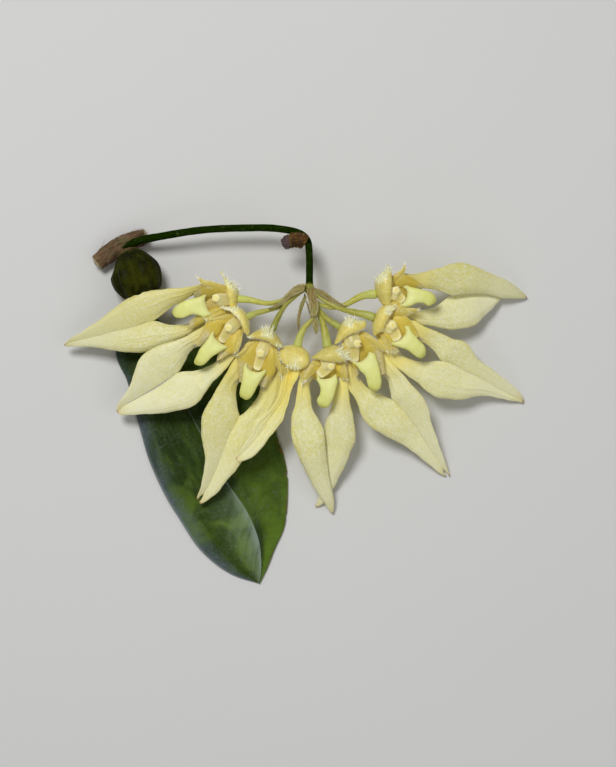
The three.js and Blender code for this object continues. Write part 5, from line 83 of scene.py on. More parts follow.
HOODS = {
 "f1": [[-14.74,26.6,11.1,-14.72,26.57,11.7],[-14.49,26.24,10.85,-14.59,26.18,12.05],[-14.25,25.88,10.61,-14.47,25.8,12.4],[-14.0,25.53,10.37,-14.34,25.41,12.73],[-13.71,25.2,10.2,-14.23,25.03,12.94],[-13.37,24.92,10.02,-14.12,24.65,13.15],[-13.0,24.69,9.88,-14.01,24.27,13.32],[-12.62,24.45,9.8,-13.92,23.9,13.4],[-12.28,24.16,9.72,-13.84,23.52,13.48],[-11.97,23.85,9.64,-13.77,23.14,13.56],[-11.68,23.5,9.63,-13.7,22.76,13.57],[-11.44,23.12,9.68,-13.63,22.38,13.52],[-11.33,22.68,9.73,-13.55,22.01,13.47],[-11.33,22.23,9.78,-13.44,21.64,13.42],[-11.36,21.78,9.9,-13.34,21.28,13.23],[-11.41,21.33,10.04,-13.24,20.92,12.98],[-11.48,20.88,10.18,-13.16,20.56,12.74],[-11.57,20.43,10.44,-13.11,20.19,12.37],[-11.67,19.99,10.72,-13.1,19.82,11.99],[-11.78,19.55,11.0,-13.09,19.45,11.6]],
 "f2": [[-14.63,19.52,11.9,-14.61,19.1,12.5],[-14.12,19.56,11.65,-14.21,18.99,12.85],[-13.61,19.6,11.41,-13.8,18.89,13.2],[-13.1,19.62,11.17,-13.41,18.78,13.53],[-12.59,19.57,11.0,-13.03,18.62,13.74],[-12.07,19.55,10.82,-12.7,18.38,13.95],[-11.56,19.54,10.68,-12.44,18.07,14.12],[-11.05,19.41,10.6,-12.16,17.79,14.2],[-10.6,19.17,10.52,-11.82,17.56,14.28],[-10.21,18.82,10.44,-11.53,17.29,14.36],[-9.89,18.41,10.43,-11.29,16.97,14.37],[-9.62,17.96,10.48,-11.09,16.63,14.32],[-9.42,17.48,10.53,-10.91,16.28,14.27],[-9.28,16.98,10.58,-10.74,15.92,14.22],[-9.19,16.46,10.7,-10.6,15.55,14.03],[-9.14,15.93,10.84,-10.49,15.18,13.78],[-9.12,15.41,10.98,-10.37,14.81,13.54],[-9.13,14.88,11.24,-10.18,14.47,13.17],[-9.21,14.36,11.52,-9.93,14.18,12.79],[-9.38,13.87,11.8,-9.66,13.9,12.4]],
 "f3": [[-9.69,13.66,11.4,-9.57,13.33,12.0],[-9.26,13.96,11.15,-9.18,13.22,12.35],[-8.83,14.26,10.91,-8.78,13.18,12.7],[-8.4,14.55,10.67,-8.38,13.19,13.03],[-7.95,14.83,10.5,-7.98,13.19,13.24],[-7.48,15.06,10.32,-7.58,13.16,13.45],[-6.99,15.25,10.18,-7.19,13.11,13.62],[-6.49,15.43,10.1,-6.8,13.03,13.7],[-6.0,15.62,10.02,-6.42,12.94,13.78],[-5.49,15.69,9.94,-6.03,12.84,13.86],[-5.0,15.51,9.93,-5.66,12.72,13.87],[-4.56,15.21,9.98,-5.3,12.57,13.82],[-4.24,14.79,10.03,-5.01,12.31,13.77],[-3.96,14.34,10.08,-4.73,12.03,13.72],[-3.64,13.93,10.2,-4.39,11.85,13.53],[-3.32,13.5,10.34,-4.03,11.7,13.28],[-3.05,13.05,10.48,-3.66,11.59,13.04],[-2.82,12.57,10.74,-3.27,11.52,12.67],[-2.6,12.08,11.02,-2.89,11.49,12.29],[-2.38,11.6,11.3,-2.5,11.47,11.9]],
 "f4": [[-3.34,9.52,10.9,-3.34,9.31,11.2],[-3.54,9.97,10.76,-3.07,8.96,11.48],[-3.55,10.45,10.62,-2.78,8.63,11.76],[-3.35,10.9,10.48,-2.48,8.31,11.99],[-3.06,11.3,10.38,-2.17,8.01,11.9],[-2.68,11.62,10.27,-1.84,7.72,11.82],[-2.23,11.81,10.2,-1.48,7.48,11.73],[-1.75,11.93,10.2,-1.11,7.27,11.65],[-1.27,12.01,10.2,-0.71,7.1,11.6],[-0.78,12.06,10.2,-0.29,6.99,11.6],[-0.28,12.06,10.2,0.15,6.96,11.6],[0.21,12.0,10.2,0.58,6.99,11.6],[0.68,11.87,10.2,1.01,7.07,11.65],[1.14,11.68,10.2,1.43,7.2,11.73],[1.56,11.43,10.27,1.82,7.39,11.82],[1.95,11.12,10.38,2.15,7.66,11.9],[2.28,10.76,10.48,2.44,7.99,11.99],[2.57,10.36,10.62,2.64,8.37,11.76],[2.77,9.91,10.76,2.78,8.79,11.48],[2.74,9.42,10.9,2.8,9.22,11.2]],
 "f5": [[3.04,9.57,11.4,3.11,9.29,12.0],[3.42,9.85,11.15,3.54,9.22,12.35],[3.81,10.14,10.91,3.98,9.16,12.7],[4.19,10.44,10.67,4.4,9.09,13.03],[4.55,10.75,10.5,4.83,8.99,13.24],[4.92,11.07,10.32,5.24,8.87,13.45],[5.31,11.35,10.18,5.67,8.78,13.62],[5.73,11.58,10.1,6.1,8.7,13.7],[6.17,11.78,10.02,6.53,8.64,13.78],[6.62,11.93,9.94,6.96,8.6,13.86],[7.09,12.03,9.93,7.39,8.59,13.87],[7.57,12.08,9.98,7.83,8.58,13.82],[8.04,12.06,10.03,8.26,8.59,13.77],[8.51,11.94,10.08,8.7,8.61,13.72],[8.95,11.75,10.2,9.13,8.65,13.53],[9.36,11.51,10.34,9.56,8.72,13.28],[9.74,11.21,10.48,9.96,8.92,13.04],[10.1,10.9,10.74,10.28,9.22,12.67],[10.43,10.56,11.02,10.56,9.56,12.29],[10.76,10.21,11.3,10.85,9.9,11.9]],
 "f6": [[7.64,12.38,11.7,7.77,12.1,12.3],[7.79,12.87,11.45,8.13,12.27,12.65],[7.95,13.36,11.21,8.48,12.45,13.0],[8.1,13.85,10.97,8.8,12.69,13.33],[8.23,14.35,10.8,9.1,12.95,13.54],[8.37,14.84,10.62,9.4,13.22,13.75],[8.56,15.31,10.48,9.73,13.45,13.92],[8.79,15.77,10.4,10.08,13.65,14.0],[9.05,16.21,10.32,10.44,13.83,14.08],[9.37,16.61,10.24,10.8,14.0,14.16],[9.74,16.95,10.23,11.17,14.16,14.17],[10.18,17.2,10.28,11.55,14.32,14.12],[10.68,17.3,10.33,11.93,14.46,14.07],[11.18,17.29,10.38,12.31,14.59,14.02],[11.69,17.23,10.5,12.69,14.76,13.83],[12.18,17.1,10.64,13.05,14.97,13.58],[12.67,16.99,10.78,13.38,15.21,13.34],[13.17,16.93,11.04,13.7,15.48,12.97],[13.67,16.87,11.32,13.93,15.83,12.59],[13.97,16.55,11.6,13.99,16.24,12.2]],
 "f7": [[18.69,20.02,11.7,20.25,19.5,12.3],[18.26,20.01,11.45,19.93,19.24,12.65],[17.84,19.99,11.21,19.61,18.98,13.0],[17.43,19.9,10.97,19.33,18.68,13.33],[17.06,19.7,10.8,19.08,18.36,13.54],[16.74,19.43,10.62,18.85,18.03,13.75],[16.44,19.12,10.48,18.62,17.7,13.92],[16.18,18.79,10.4,18.41,17.36,14.0],[15.96,18.42,10.32,18.21,17.02,14.08],[15.79,18.02,10.24,18.02,16.67,14.16],[15.63,17.62,10.23,17.84,16.32,14.17],[15.48,17.22,10.28,17.69,15.96,14.12],[15.34,16.81,10.33,17.55,15.6,14.07],[15.23,16.39,10.38,17.4,15.24,14.02],[15.16,15.96,10.5,17.19,14.91,13.83],[15.16,15.52,10.64,16.92,14.64,13.58],[15.2,15.09,10.78,16.61,14.41,13.34],[15.26,14.66,11.04,16.31,14.18,12.97],[15.36,14.23,11.32,16.0,13.97,12.59],[15.47,13.81,11.6,15.68,13.76,12.2]],
 "f8": [[18.28,27.79,11.9,18.58,27.71,12.5],[17.99,27.42,11.65,18.69,27.3,12.85],[17.69,27.05,11.41,18.8,26.89,13.2],[17.38,26.7,11.17,18.9,26.47,13.53],[17.01,26.39,11.0,18.95,26.05,13.74],[16.63,26.1,10.82,18.97,25.62,13.95],[16.29,25.76,10.68,18.97,25.2,14.12],[15.99,25.38,10.6,18.97,24.78,14.2],[15.77,24.95,10.52,18.96,24.36,14.28],[15.67,24.48,10.44,18.95,23.94,14.36],[15.64,24.0,10.43,18.94,23.53,14.37],[15.66,23.51,10.48,18.92,23.12,14.32],[15.74,23.02,10.53,18.91,22.7,14.27],[15.85,22.54,10.58,18.9,22.29,14.22],[15.98,22.07,10.7,18.89,21.89,14.03],[16.14,21.61,10.84,18.87,21.48,13.78],[16.36,21.17,10.98,18.83,21.08,13.54],[16.59,20.73,11.24,18.77,20.68,13.17],[16.86,20.32,11.52,18.69,20.29,12.79],[17.13,19.92,11.8,18.62,19.9,12.4]],
}
PETALS = {
 "f1_petal_left": [[-13.26,23.7,11.5,-13.85,21.91,11.5],[-13.82,23.84,11.59,-14.38,22.2,11.59],[-14.39,23.97,11.68,-14.91,22.49,11.68],[-14.95,24.11,11.77,-15.44,22.77,11.77],[-15.52,24.26,11.84,-15.98,23.05,11.84],[-16.08,24.42,11.9,-16.53,23.29,11.9],[-16.63,24.62,11.96,-17.11,23.48,11.96],[-17.19,24.76,11.99,-17.68,23.66,11.99],[-17.78,24.76,11.97,-18.25,23.89,11.97],[-18.33,24.94,11.95,-18.77,24.19,11.95],[-18.83,25.24,11.92,-19.14,24.67,11.92],[-19.39,25.43,11.9,-19.39,25.23,11.9]],
 "f1_petal_right": [[-13.46,19.53,11.5,-12.86,18.54,11.5],[-13.91,19.37,11.59,-13.34,18.29,11.59],[-14.36,19.22,11.68,-13.82,18.03,11.68],[-14.81,19.06,11.77,-14.31,17.79,11.77],[-15.25,18.89,11.84,-14.8,17.57,11.84],[-15.69,18.7,11.9,-15.31,17.37,11.9],[-16.12,18.49,11.96,-15.82,17.19,11.96],[-16.54,18.26,11.99,-16.35,17.05,11.99],[-16.97,18.05,11.97,-16.89,16.96,11.97],[-17.41,17.85,11.95,-17.43,16.92,11.95],[-17.85,17.67,11.92,-17.98,16.94,11.92],[-18.3,17.5,11.9,-18.3,17.34,11.9]],
 "f2_petal_left": [[-12.24,18.32,12.3,-11.84,16.53,12.3],[-12.75,18.22,12.39,-12.38,16.61,12.39],[-13.25,18.13,12.48,-12.91,16.68,12.48],[-13.76,18.02,12.57,-13.45,16.72,12.57],[-14.26,17.88,12.64,-13.99,16.71,12.64],[-14.75,17.72,12.7,-14.53,16.66,12.7],[-15.24,17.55,12.76,-15.07,16.62,12.76],[-15.73,17.41,12.79,-15.61,16.61,12.79],[-16.24,17.29,12.77,-16.16,16.6,12.77],[-16.74,17.17,12.75,-16.7,16.61,12.75],[-17.25,17.06,12.72,-17.24,16.66,12.72],[-17.77,17.0,12.7,-17.77,16.8,12.7]],
 "f2_petal_right": [[-11.84,15.34,12.3,-10.46,14.95,12.3],[-11.83,14.9,12.39,-10.49,14.51,12.39],[-11.82,14.46,12.48,-10.52,14.07,12.48],[-11.81,14.03,12.57,-10.56,13.63,12.57],[-11.81,13.59,12.64,-10.61,13.19,12.64],[-11.86,13.15,12.7,-10.69,12.75,12.7],[-11.97,12.73,12.76,-10.79,12.33,12.76],[-12.1,12.31,12.79,-10.93,11.91,12.79],[-12.2,11.88,12.77,-11.08,11.5,12.77],[-12.23,11.45,12.75,-11.28,11.1,12.75],[-12.17,11.02,12.72,-11.53,10.74,12.72],[-12.11,10.58,12.7,-11.79,10.39,12.7]],
 "f3_petal_left": [[-7.69,13.17,11.8,-7.5,11.39,11.8],[-8.11,12.95,11.89,-7.89,11.29,11.89],[-8.52,12.74,11.98,-8.29,11.19,11.98],[-8.93,12.5,12.07,-8.69,11.07,12.07],[-9.32,12.24,12.14,-9.06,10.89,12.14],[-9.67,11.94,12.2,-9.4,10.66,12.2],[-10.01,11.61,12.26,-9.73,10.42,12.26],[-10.34,11.28,12.29,-10.08,10.19,12.29],[-10.68,10.96,12.27,-10.45,10.02,12.27],[-11.04,10.65,12.25,-10.84,9.89,12.25],[-11.39,10.34,12.22,-11.25,9.8,12.22],[-11.75,10.04,12.2,-11.65,9.7,12.2]],
 "f3_petal_right": [[-4.92,12.58,11.8,-5.71,11.39,11.8],[-4.51,12.08,11.89,-5.38,10.95,11.89],[-4.1,11.58,11.98,-5.04,10.51,11.98],[-3.75,11.04,12.07,-4.74,10.04,12.07],[-3.5,10.44,12.14,-4.49,9.55,12.14],[-3.33,9.82,12.2,-4.27,9.04,12.2],[-3.17,9.2,12.26,-4.05,8.53,12.26],[-3.02,8.57,12.29,-3.84,8.03,12.29],[-2.89,7.94,12.27,-3.62,7.52,12.27],[-2.77,7.31,12.25,-3.4,7.01,12.25],[-2.72,6.67,12.22,-3.2,6.5,12.22],[-2.81,6.03,12.2,-3.03,5.97,12.2]],
 "f4_petal_left": [[-2.35,9.22,11.1,-1.35,8.22,11.1],[-2.53,8.92,11.19,-1.45,7.97,11.19],[-2.72,8.63,11.28,-1.56,7.71,11.28],[-2.89,8.33,11.37,-1.66,7.46,11.37],[-3.02,8.01,11.44,-1.76,7.2,11.44],[-3.13,7.68,11.5,-1.85,6.95,11.5],[-3.21,7.34,11.56,-1.95,6.69,11.56],[-3.23,6.99,11.59,-2.05,6.44,11.59],[-3.19,6.65,11.57,-2.17,6.19,11.57],[-3.11,6.31,11.55,-2.31,5.96,11.55],[-3.02,5.98,11.52,-2.48,5.74,11.52],[-2.94,5.64,11.5,-2.64,5.52,11.5]],
 "f4_petal_right": [[0.83,8.22,11.1,2.02,8.82,11.1],[0.9,7.87,11.19,2.14,8.39,11.19],[0.98,7.51,11.28,2.27,7.97,11.28],[1.02,7.15,11.37,2.32,7.53,11.37],[1.03,6.78,11.44,2.27,7.09,11.44],[1.0,6.42,11.5,2.16,6.66,11.5],[0.96,6.06,11.56,2.03,6.24,11.56],[0.92,5.7,11.59,1.89,5.82,11.59],[0.91,5.33,11.57,1.75,5.41,11.57],[0.94,4.97,11.55,1.59,4.99,11.55],[0.99,4.61,11.52,1.43,4.58,11.52],[1.03,4.25,11.5,1.27,4.17,11.5]],
 "f5_petal_left": [[4.01,9.21,11.8,5.2,8.22,11.8],[3.64,8.93,11.89,4.85,7.94,11.89],[3.26,8.65,11.98,4.5,7.67,11.98],[2.93,8.34,12.07,4.17,7.38,12.07],[2.65,7.97,12.14,3.86,7.07,12.14],[2.43,7.56,12.2,3.57,6.74,12.2],[2.23,7.14,12.26,3.28,6.4,12.26],[2.06,6.71,12.29,3.0,6.06,12.29],[1.9,6.28,12.27,2.72,5.72,12.27],[1.77,5.84,12.25,2.42,5.4,12.25],[1.65,5.39,12.22,2.12,5.07,12.22],[1.53,4.94,12.2,1.83,4.75,12.2]],
 "f5_petal_right": [[7.77,8.81,11.8,8.96,9.21,11.8],[7.97,8.47,11.89,9.19,8.88,11.89],[8.17,8.12,11.98,9.41,8.55,11.98],[8.37,7.78,12.07,9.63,8.22,12.07],[8.56,7.43,12.14,9.83,7.87,12.14],[8.73,7.08,12.2,9.98,7.5,12.2],[8.9,6.72,12.26,10.1,7.12,12.26],[9.08,6.37,12.29,10.19,6.73,12.29],[9.28,6.03,12.27,10.26,6.34,12.27],[9.5,5.7,12.25,10.28,5.94,12.25],[9.73,5.37,12.22,10.27,5.54,12.22],[9.95,5.04,12.2,10.27,5.14,12.2]],
 "f6_petal_left": [[9.36,13.17,12.1,10.45,12.57,12.1],[9.28,12.83,12.19,10.4,12.26,12.19],[9.2,12.49,12.28,10.36,11.94,12.28],[9.13,12.15,12.37,10.3,11.62,12.37],[9.06,11.81,12.44,10.22,11.31,12.44],[8.99,11.47,12.5,10.11,11.01,12.5],[8.93,11.12,12.56,9.99,10.71,12.56],[8.87,10.78,12.59,9.86,10.42,12.59],[8.85,10.44,12.57,9.71,10.13,12.57],[8.85,10.09,12.55,9.54,9.87,12.55],[8.86,9.74,12.52,9.35,9.61,12.52],[8.87,9.4,12.5,9.15,9.36,12.5]],
 "f6_petal_right": [[12.92,14.75,12.1,12.33,13.37,12.1],[13.51,14.57,12.19,12.85,13.1,12.19],[14.08,14.36,12.28,13.37,12.84,12.28],[14.62,14.06,12.37,13.89,12.58,12.37],[15.12,13.71,12.44,14.41,12.32,12.44],[15.6,13.33,12.5,14.93,12.05,12.5],[16.08,12.94,12.56,15.43,11.76,12.56],[16.55,12.55,12.59,15.94,11.47,12.59],[17.0,12.13,12.57,16.45,11.19,12.57],[17.44,11.7,12.55,16.98,10.95,12.55],[17.85,11.24,12.52,17.52,10.73,12.52],[18.26,10.79,12.5,18.06,10.51,12.5]],
 "f7_petal_left": [[18.87,19.51,12.1,18.47,17.73,12.1],[19.37,19.48,12.19,19.03,17.68,12.19],[19.87,19.44,12.28,19.58,17.63,12.28],[20.37,19.41,12.37,20.13,17.62,12.37],[20.87,19.37,12.44,20.69,17.66,12.44],[21.38,19.34,12.5,21.24,17.73,12.5],[21.88,19.31,12.56,21.78,17.86,12.56],[22.38,19.29,12.59,22.3,18.04,12.59],[22.89,19.28,12.57,22.82,18.25,12.57],[23.39,19.26,12.55,23.34,18.45,12.55],[23.9,19.21,12.52,23.87,18.64,12.52],[24.4,19.14,12.5,24.4,18.82,12.5]],
 "f7_petal_right": [[17.68,14.95,12.1,16.49,14.36,12.1],[17.87,14.59,12.19,16.67,13.98,12.19],[18.06,14.22,12.28,16.85,13.6,12.28],[18.24,13.85,12.37,17.04,13.22,12.37],[18.41,13.48,12.44,17.24,12.85,12.44],[18.55,13.09,12.5,17.44,12.48,12.5],[18.65,12.69,12.56,17.65,12.12,12.56],[18.73,12.29,12.59,17.87,11.76,12.59],[18.82,11.89,12.57,18.1,11.42,12.57],[18.93,11.49,12.55,18.37,11.09,12.55],[19.05,11.1,12.52,18.65,10.78,12.52],[19.17,10.71,12.5,18.93,10.47,12.5]],
 "f8_petal_left": [[18.47,25.25,12.3,18.86,23.86,12.3],[18.77,25.46,12.39,19.28,24.08,12.39],[19.07,25.67,12.48,19.7,24.31,12.48],[19.37,25.88,12.57,20.08,24.58,12.57],[19.68,26.08,12.64,20.43,24.91,12.64],[19.99,26.27,12.7,20.74,25.26,12.7],[20.3,26.48,12.76,21.03,25.64,12.76],[20.59,26.71,12.79,21.3,26.03,12.79],[20.87,26.96,12.77,21.55,26.44,12.77],[21.12,27.23,12.75,21.71,26.89,12.75],[21.3,27.56,12.72,21.69,27.37,12.72],[21.38,27.92,12.7,21.6,27.84,12.7]],
 "f8_petal_right": [[18.66,21.29,12.3,18.07,20.1,12.3],[19.04,21.1,12.39,18.43,19.88,12.39],[19.42,20.92,12.48,18.78,19.66,12.48],[19.8,20.73,12.57,19.15,19.45,12.57],[20.16,20.52,12.64,19.52,19.26,12.64],[20.52,20.29,12.7,19.9,19.09,12.7],[20.85,20.04,12.76,20.29,18.94,12.76],[21.18,19.77,12.79,20.69,18.8,12.79],[21.51,19.51,12.77,21.09,18.68,12.77],[21.84,19.24,12.75,21.5,18.58,12.75],[22.16,18.97,12.72,21.92,18.5,12.72],[22.49,18.7,12.7,22.33,18.42,12.7]],
}
COLUMNS = {
 "f1": {"c":[-12.48,20.93,11.1],"a":[-15.63,21.27,12.65],"f":[-17.44,19.74,11.15],"r":0.8},
 "f2": {"c":[-10.47,17.14,11.9],"a":[-13.25,15.32,13.45],"f":[-15.03,13.17,11.95],"r":0.8},
 "f3": {"c":[-6.51,13.38,11.4],"a":[-6.98,10.38,12.95],"f":[-7.7,7.82,11.45],"r":0.84},
 "f4": {"c":[-0.27,10.63,9.2],"a":[-0.58,6.65,7.6],"f":[-0.79,5.45,7.0],"r":0.6},
 "f5": {"c":[6.79,10.01,11.4],"a":[7.03,7.67,12.95],"f":[6.29,6.24,11.45],"r":0.72},
 "f6": {"c":[10.95,14.96,11.7],"a":[12.11,12.28,13.25],"f":[13.03,10.2,11.75],"r":0.8},
 "f7": {"c":[16.7,16.75,11.7],"a":[19.12,15.76,13.25],"f":[20.47,14.37,11.75],"r":0.86},
 "f8": {"c":[16.7,22.29,11.9],"a":[19.75,22.76,13.45],"f":[21.05,21.3,11.95],"r":0.8},
}
HAIRS = {
 "f1": [[-14.0,25.42,-11.23,22.85,-0.1,1,0.9,0.2,0.9,1.6,36,12.8],[-13.78,24.6,-12.0,23.02,0.2,1,0.7,0.6,0.7,1.2,26,13.4],[-14.7,26.24,-14.42,25.45,-0.6,1,0.1,1,0.5,0.8,12,12.2],[-13.6,24.82,-11.82,23.44,0.3,1,0.6,0.8,1.0,1.4,12,13.0]],
 "f2": [[-14.56,19.35,-11.2,18.86,-0.9,0.7,0.1,1,0.6,1.0,44,13.8],[-14.13,18.83,-10.98,16.47,-0.8,1,-0.3,1,0.6,0.9,46,14.6],[-14.57,19.27,-13.39,18.48,-1,0.4,-0.8,0.8,0.6,1.0,16,13.4]],
 "f3": [[-6.67,15.12,-4.1,14.92,-0.5,1,0.5,1,0.7,1.2,46,13.3],[-6.46,14.11,-4.29,13.72,-0.3,1,0.3,1,0.6,1.0,40,14.2],[-6.68,15.33,-4.31,15.13,-0.5,1,0.6,1,1.0,1.4,14,12.9],[-9.67,13.64,-8.88,13.37,-1,0.2,-0.8,-0.4,0.4,0.6,10,12.1],[-3.92,11.78,-2.53,11.58,0.2,-0.8,0.5,-0.6,0.3,0.5,12,12.5]],
 "f4": [[-3.46,10.8,-3.26,8.02,-1,0.3,-1,-0.5,0.4,0.7,22,11.4],[-1.76,7.53,0.83,7.23,-0.4,-1,0.3,-1,0.5,0.9,34,10.4],[-1.35,8.22,0.44,7.82,-0.3,-1,0.3,-1,0.4,0.7,24,11.6]],
 "f5": [[8.35,11.57,9.93,10.58,0.5,1,1,0.6,0.8,1.2,20,13.1],[8.14,10.96,10.12,9.19,0.7,0.7,1,-0.1,1.0,1.5,32,13.9],[9.74,10.78,10.53,9.0,1,0.6,1,-0.3,0.9,1.4,20,12.9]],
 "f6": [[9.53,17.09,11.7,16.99,-0.5,1,0.4,1,0.8,1.3,36,13.6],[9.71,16.28,11.29,15.88,-0.3,1,0.2,1,0.8,1.2,28,14.4],[10.13,17.69,10.92,17.49,-0.4,1,0.3,1,0.8,1.3,14,13.4],[11.92,16.91,13.3,16.72,0.2,1,0.7,0.7,0.3,0.5,6,12.8],[9.53,17.29,10.13,17.29,-1,0.5,-0.7,0.8,0.6,1.0,8,13.4]],
 "f7": [[17.83,19.46,20.39,19.26,-0.2,1,0.7,0.8,0.5,0.9,26,13.6],[17.8,18.64,19.38,18.05,0.1,1,0.6,0.8,0.6,0.9,26,14.4],[18.63,19.87,20.41,19.47,0.1,1,0.8,0.7,0.8,1.1,12,13.2]],
 "f8": [[15.65,24.59,17.83,26.57,-0.9,0.6,-0.2,1,0.7,1.2,26,13.6],[16.22,24.36,18.0,25.54,-0.5,1,0.1,1,0.7,1.1,26,14.4],[17.64,26.59,18.53,27.38,-0.2,1,0.4,1,0.8,1.2,18,13.2],[18.63,27.18,18.83,26.49,1,0.3,1,0.05,0.8,1.2,4,13.2]],
}
BRACTS = {
 "bract_1": [[2.02,24.15,12.4,1.63,22.67,12.4],[1.48,24.13,12.35,1.19,22.5,12.35],[0.93,24.08,12.31,0.75,22.32,12.31],[0.41,23.93,12.26,0.32,22.12,12.26],[-0.09,23.7,12.21,-0.09,21.89,12.21],[-0.54,23.4,12.15,-0.5,21.65,12.15],[-0.96,23.05,12.08,-0.89,21.4,12.08],[-1.36,22.68,12.01,-1.27,21.12,12.01],[-1.76,22.3,11.94,-1.64,20.82,11.94],[-2.13,21.91,11.89,-1.98,20.49,11.89],[-2.47,21.48,11.86,-2.35,20.21,11.86],[-2.8,21.04,11.84,-2.76,19.97,11.84],[-3.21,20.67,11.82,-3.19,19.76,11.82],[-3.64,20.34,11.79,-3.62,19.57,11.79],[-4.1,20.04,11.74,-4.06,19.4,11.74],[-4.56,19.75,11.69,-4.51,19.25,11.69],[-5.04,19.48,11.65,-4.96,19.11,11.65],[-5.52,19.21,11.6,-5.42,18.97,11.6]],
 "bract_2": [[1.72,22.35,10.4,2.18,21.56,10.4],[1.61,21.92,10.35,2.07,21.17,10.35],[1.47,21.5,10.31,1.96,20.79,10.31],[1.29,21.09,10.26,1.84,20.41,10.26],[1.07,20.7,10.21,1.69,20.04,10.21],[0.88,20.3,10.13,1.54,19.67,10.13],[0.73,19.88,10.04,1.39,19.3,10.04],[0.61,19.45,9.94,1.26,18.92,9.94],[0.51,19.01,9.85,1.15,18.54,9.85],[0.42,18.57,9.75,1.06,18.15,9.75],[0.35,18.13,9.66,0.97,17.76,9.66],[0.29,17.69,9.56,0.9,17.37,9.56],[0.24,17.25,9.47,0.86,16.97,9.47],[0.22,16.8,9.38,0.83,16.57,9.38],[0.24,16.35,9.28,0.81,16.17,9.28],[0.28,15.91,9.19,0.78,15.77,9.19],[0.34,15.47,9.09,0.71,15.38,9.09],[0.42,15.03,9.0,0.62,14.99,9.0]],
 "bract_3": [[2.22,23.05,12.8,3.31,23.25,12.8],[2.21,22.72,12.82,3.47,22.93,12.82],[2.2,22.4,12.84,3.64,22.62,12.84],[2.2,22.07,12.85,3.78,22.3,12.85],[2.24,21.75,12.87,3.92,21.97,12.87],[2.31,21.43,12.89,4.04,21.64,12.89],[2.4,21.12,12.89,4.16,21.31,12.89],[2.48,20.81,12.88,4.25,20.97,12.88],[2.57,20.49,12.86,4.33,20.63,12.86],[2.64,20.18,12.84,4.4,20.29,12.84],[2.69,19.86,12.82,4.45,19.94,12.82],[2.73,19.54,12.81,4.48,19.59,12.81],[2.77,19.21,12.78,4.47,19.24,12.78],[2.82,18.89,12.74,4.43,18.89,12.74],[2.86,18.57,12.71,4.37,18.54,12.71],[2.91,18.25,12.67,4.29,18.2,12.67],[2.96,17.93,12.64,4.21,17.86,12.64],[3.01,17.61,12.6,4.14,17.51,12.6]],
 "bract_4": [[1.92,21.12,11.4,2.54,20.13,11.4],[1.97,20.87,11.36,2.58,19.94,11.36],[2.02,20.62,11.33,2.61,19.75,11.33],[2.07,20.37,11.29,2.65,19.55,11.29],[2.12,20.13,11.26,2.68,19.36,11.26],[2.19,19.88,11.22,2.72,19.17,11.22],[2.26,19.63,11.19,2.76,18.98,11.19],[2.33,19.39,11.15,2.81,18.79,11.15],[2.4,19.15,11.12,2.86,18.6,11.12],[2.47,18.9,11.08,2.92,18.41,11.08],[2.55,18.66,11.05,2.98,18.23,11.05],[2.63,18.42,11.01,3.04,18.05,11.01],[2.71,18.18,10.98,3.11,17.86,10.98],[2.79,17.94,10.94,3.18,17.68,10.94],[2.87,17.69,10.91,3.24,17.49,10.91],[2.95,17.45,10.87,3.3,17.31,10.87],[3.03,17.21,10.84,3.36,17.12,10.84],[3.12,16.97,10.8,3.41,16.93,10.8]],
 "bract_5": [[3.61,17.42,12.4,4.2,17.22,12.4],[3.51,17.24,12.36,4.27,17.05,12.36],[3.41,17.06,12.33,4.35,16.88,12.33],[3.32,16.88,12.29,4.42,16.7,12.29],[3.24,16.69,12.26,4.49,16.53,12.26],[3.21,16.49,12.22,4.55,16.35,12.22],[3.21,16.29,12.19,4.59,16.17,12.19],[3.24,16.09,12.15,4.61,15.98,12.15],[3.27,15.89,12.12,4.62,15.79,12.12],[3.32,15.69,12.08,4.61,15.6,12.08],[3.37,15.49,12.05,4.59,15.42,12.05],[3.43,15.29,12.01,4.57,15.23,12.01],[3.5,15.1,11.98,4.54,15.04,11.98],[3.57,14.91,11.94,4.5,14.86,11.94],[3.66,14.73,11.91,4.44,14.68,11.91],[3.74,14.54,11.87,4.36,14.51,11.87],[3.83,14.35,11.84,4.28,14.34,11.84],[3.91,14.17,11.8,4.2,14.17,11.8]],
 "bract_6": [[3.21,23.47,12.2,3.91,22.68,12.2],[3.66,23.35,12.18,4.2,22.4,12.18],[4.1,23.23,12.15,4.5,22.13,12.15],[4.54,23.09,12.13,4.81,21.88,12.13],[4.98,22.97,12.11,5.14,21.64,12.11],[5.41,22.81,12.05,5.48,21.42,12.05],[5.82,22.59,11.98,5.82,21.21,11.98],[6.19,22.31,11.91,6.17,20.99,11.91],[6.54,22.03,11.84,6.51,20.77,11.84],[6.91,21.75,11.78,6.85,20.57,11.78],[7.28,21.47,11.73,7.21,20.38,11.73],[7.64,21.19,11.68,7.58,20.21,11.68],[8.02,20.93,11.64,7.95,20.05,11.64],[8.4,20.67,11.6,8.33,19.89,11.6],[8.78,20.41,11.6,8.7,19.75,11.6],[9.17,20.16,11.6,9.09,19.63,11.6],[9.56,19.92,11.6,9.48,19.54,11.6],[9.96,19.69,11.6,9.88,19.45,11.6]],
}
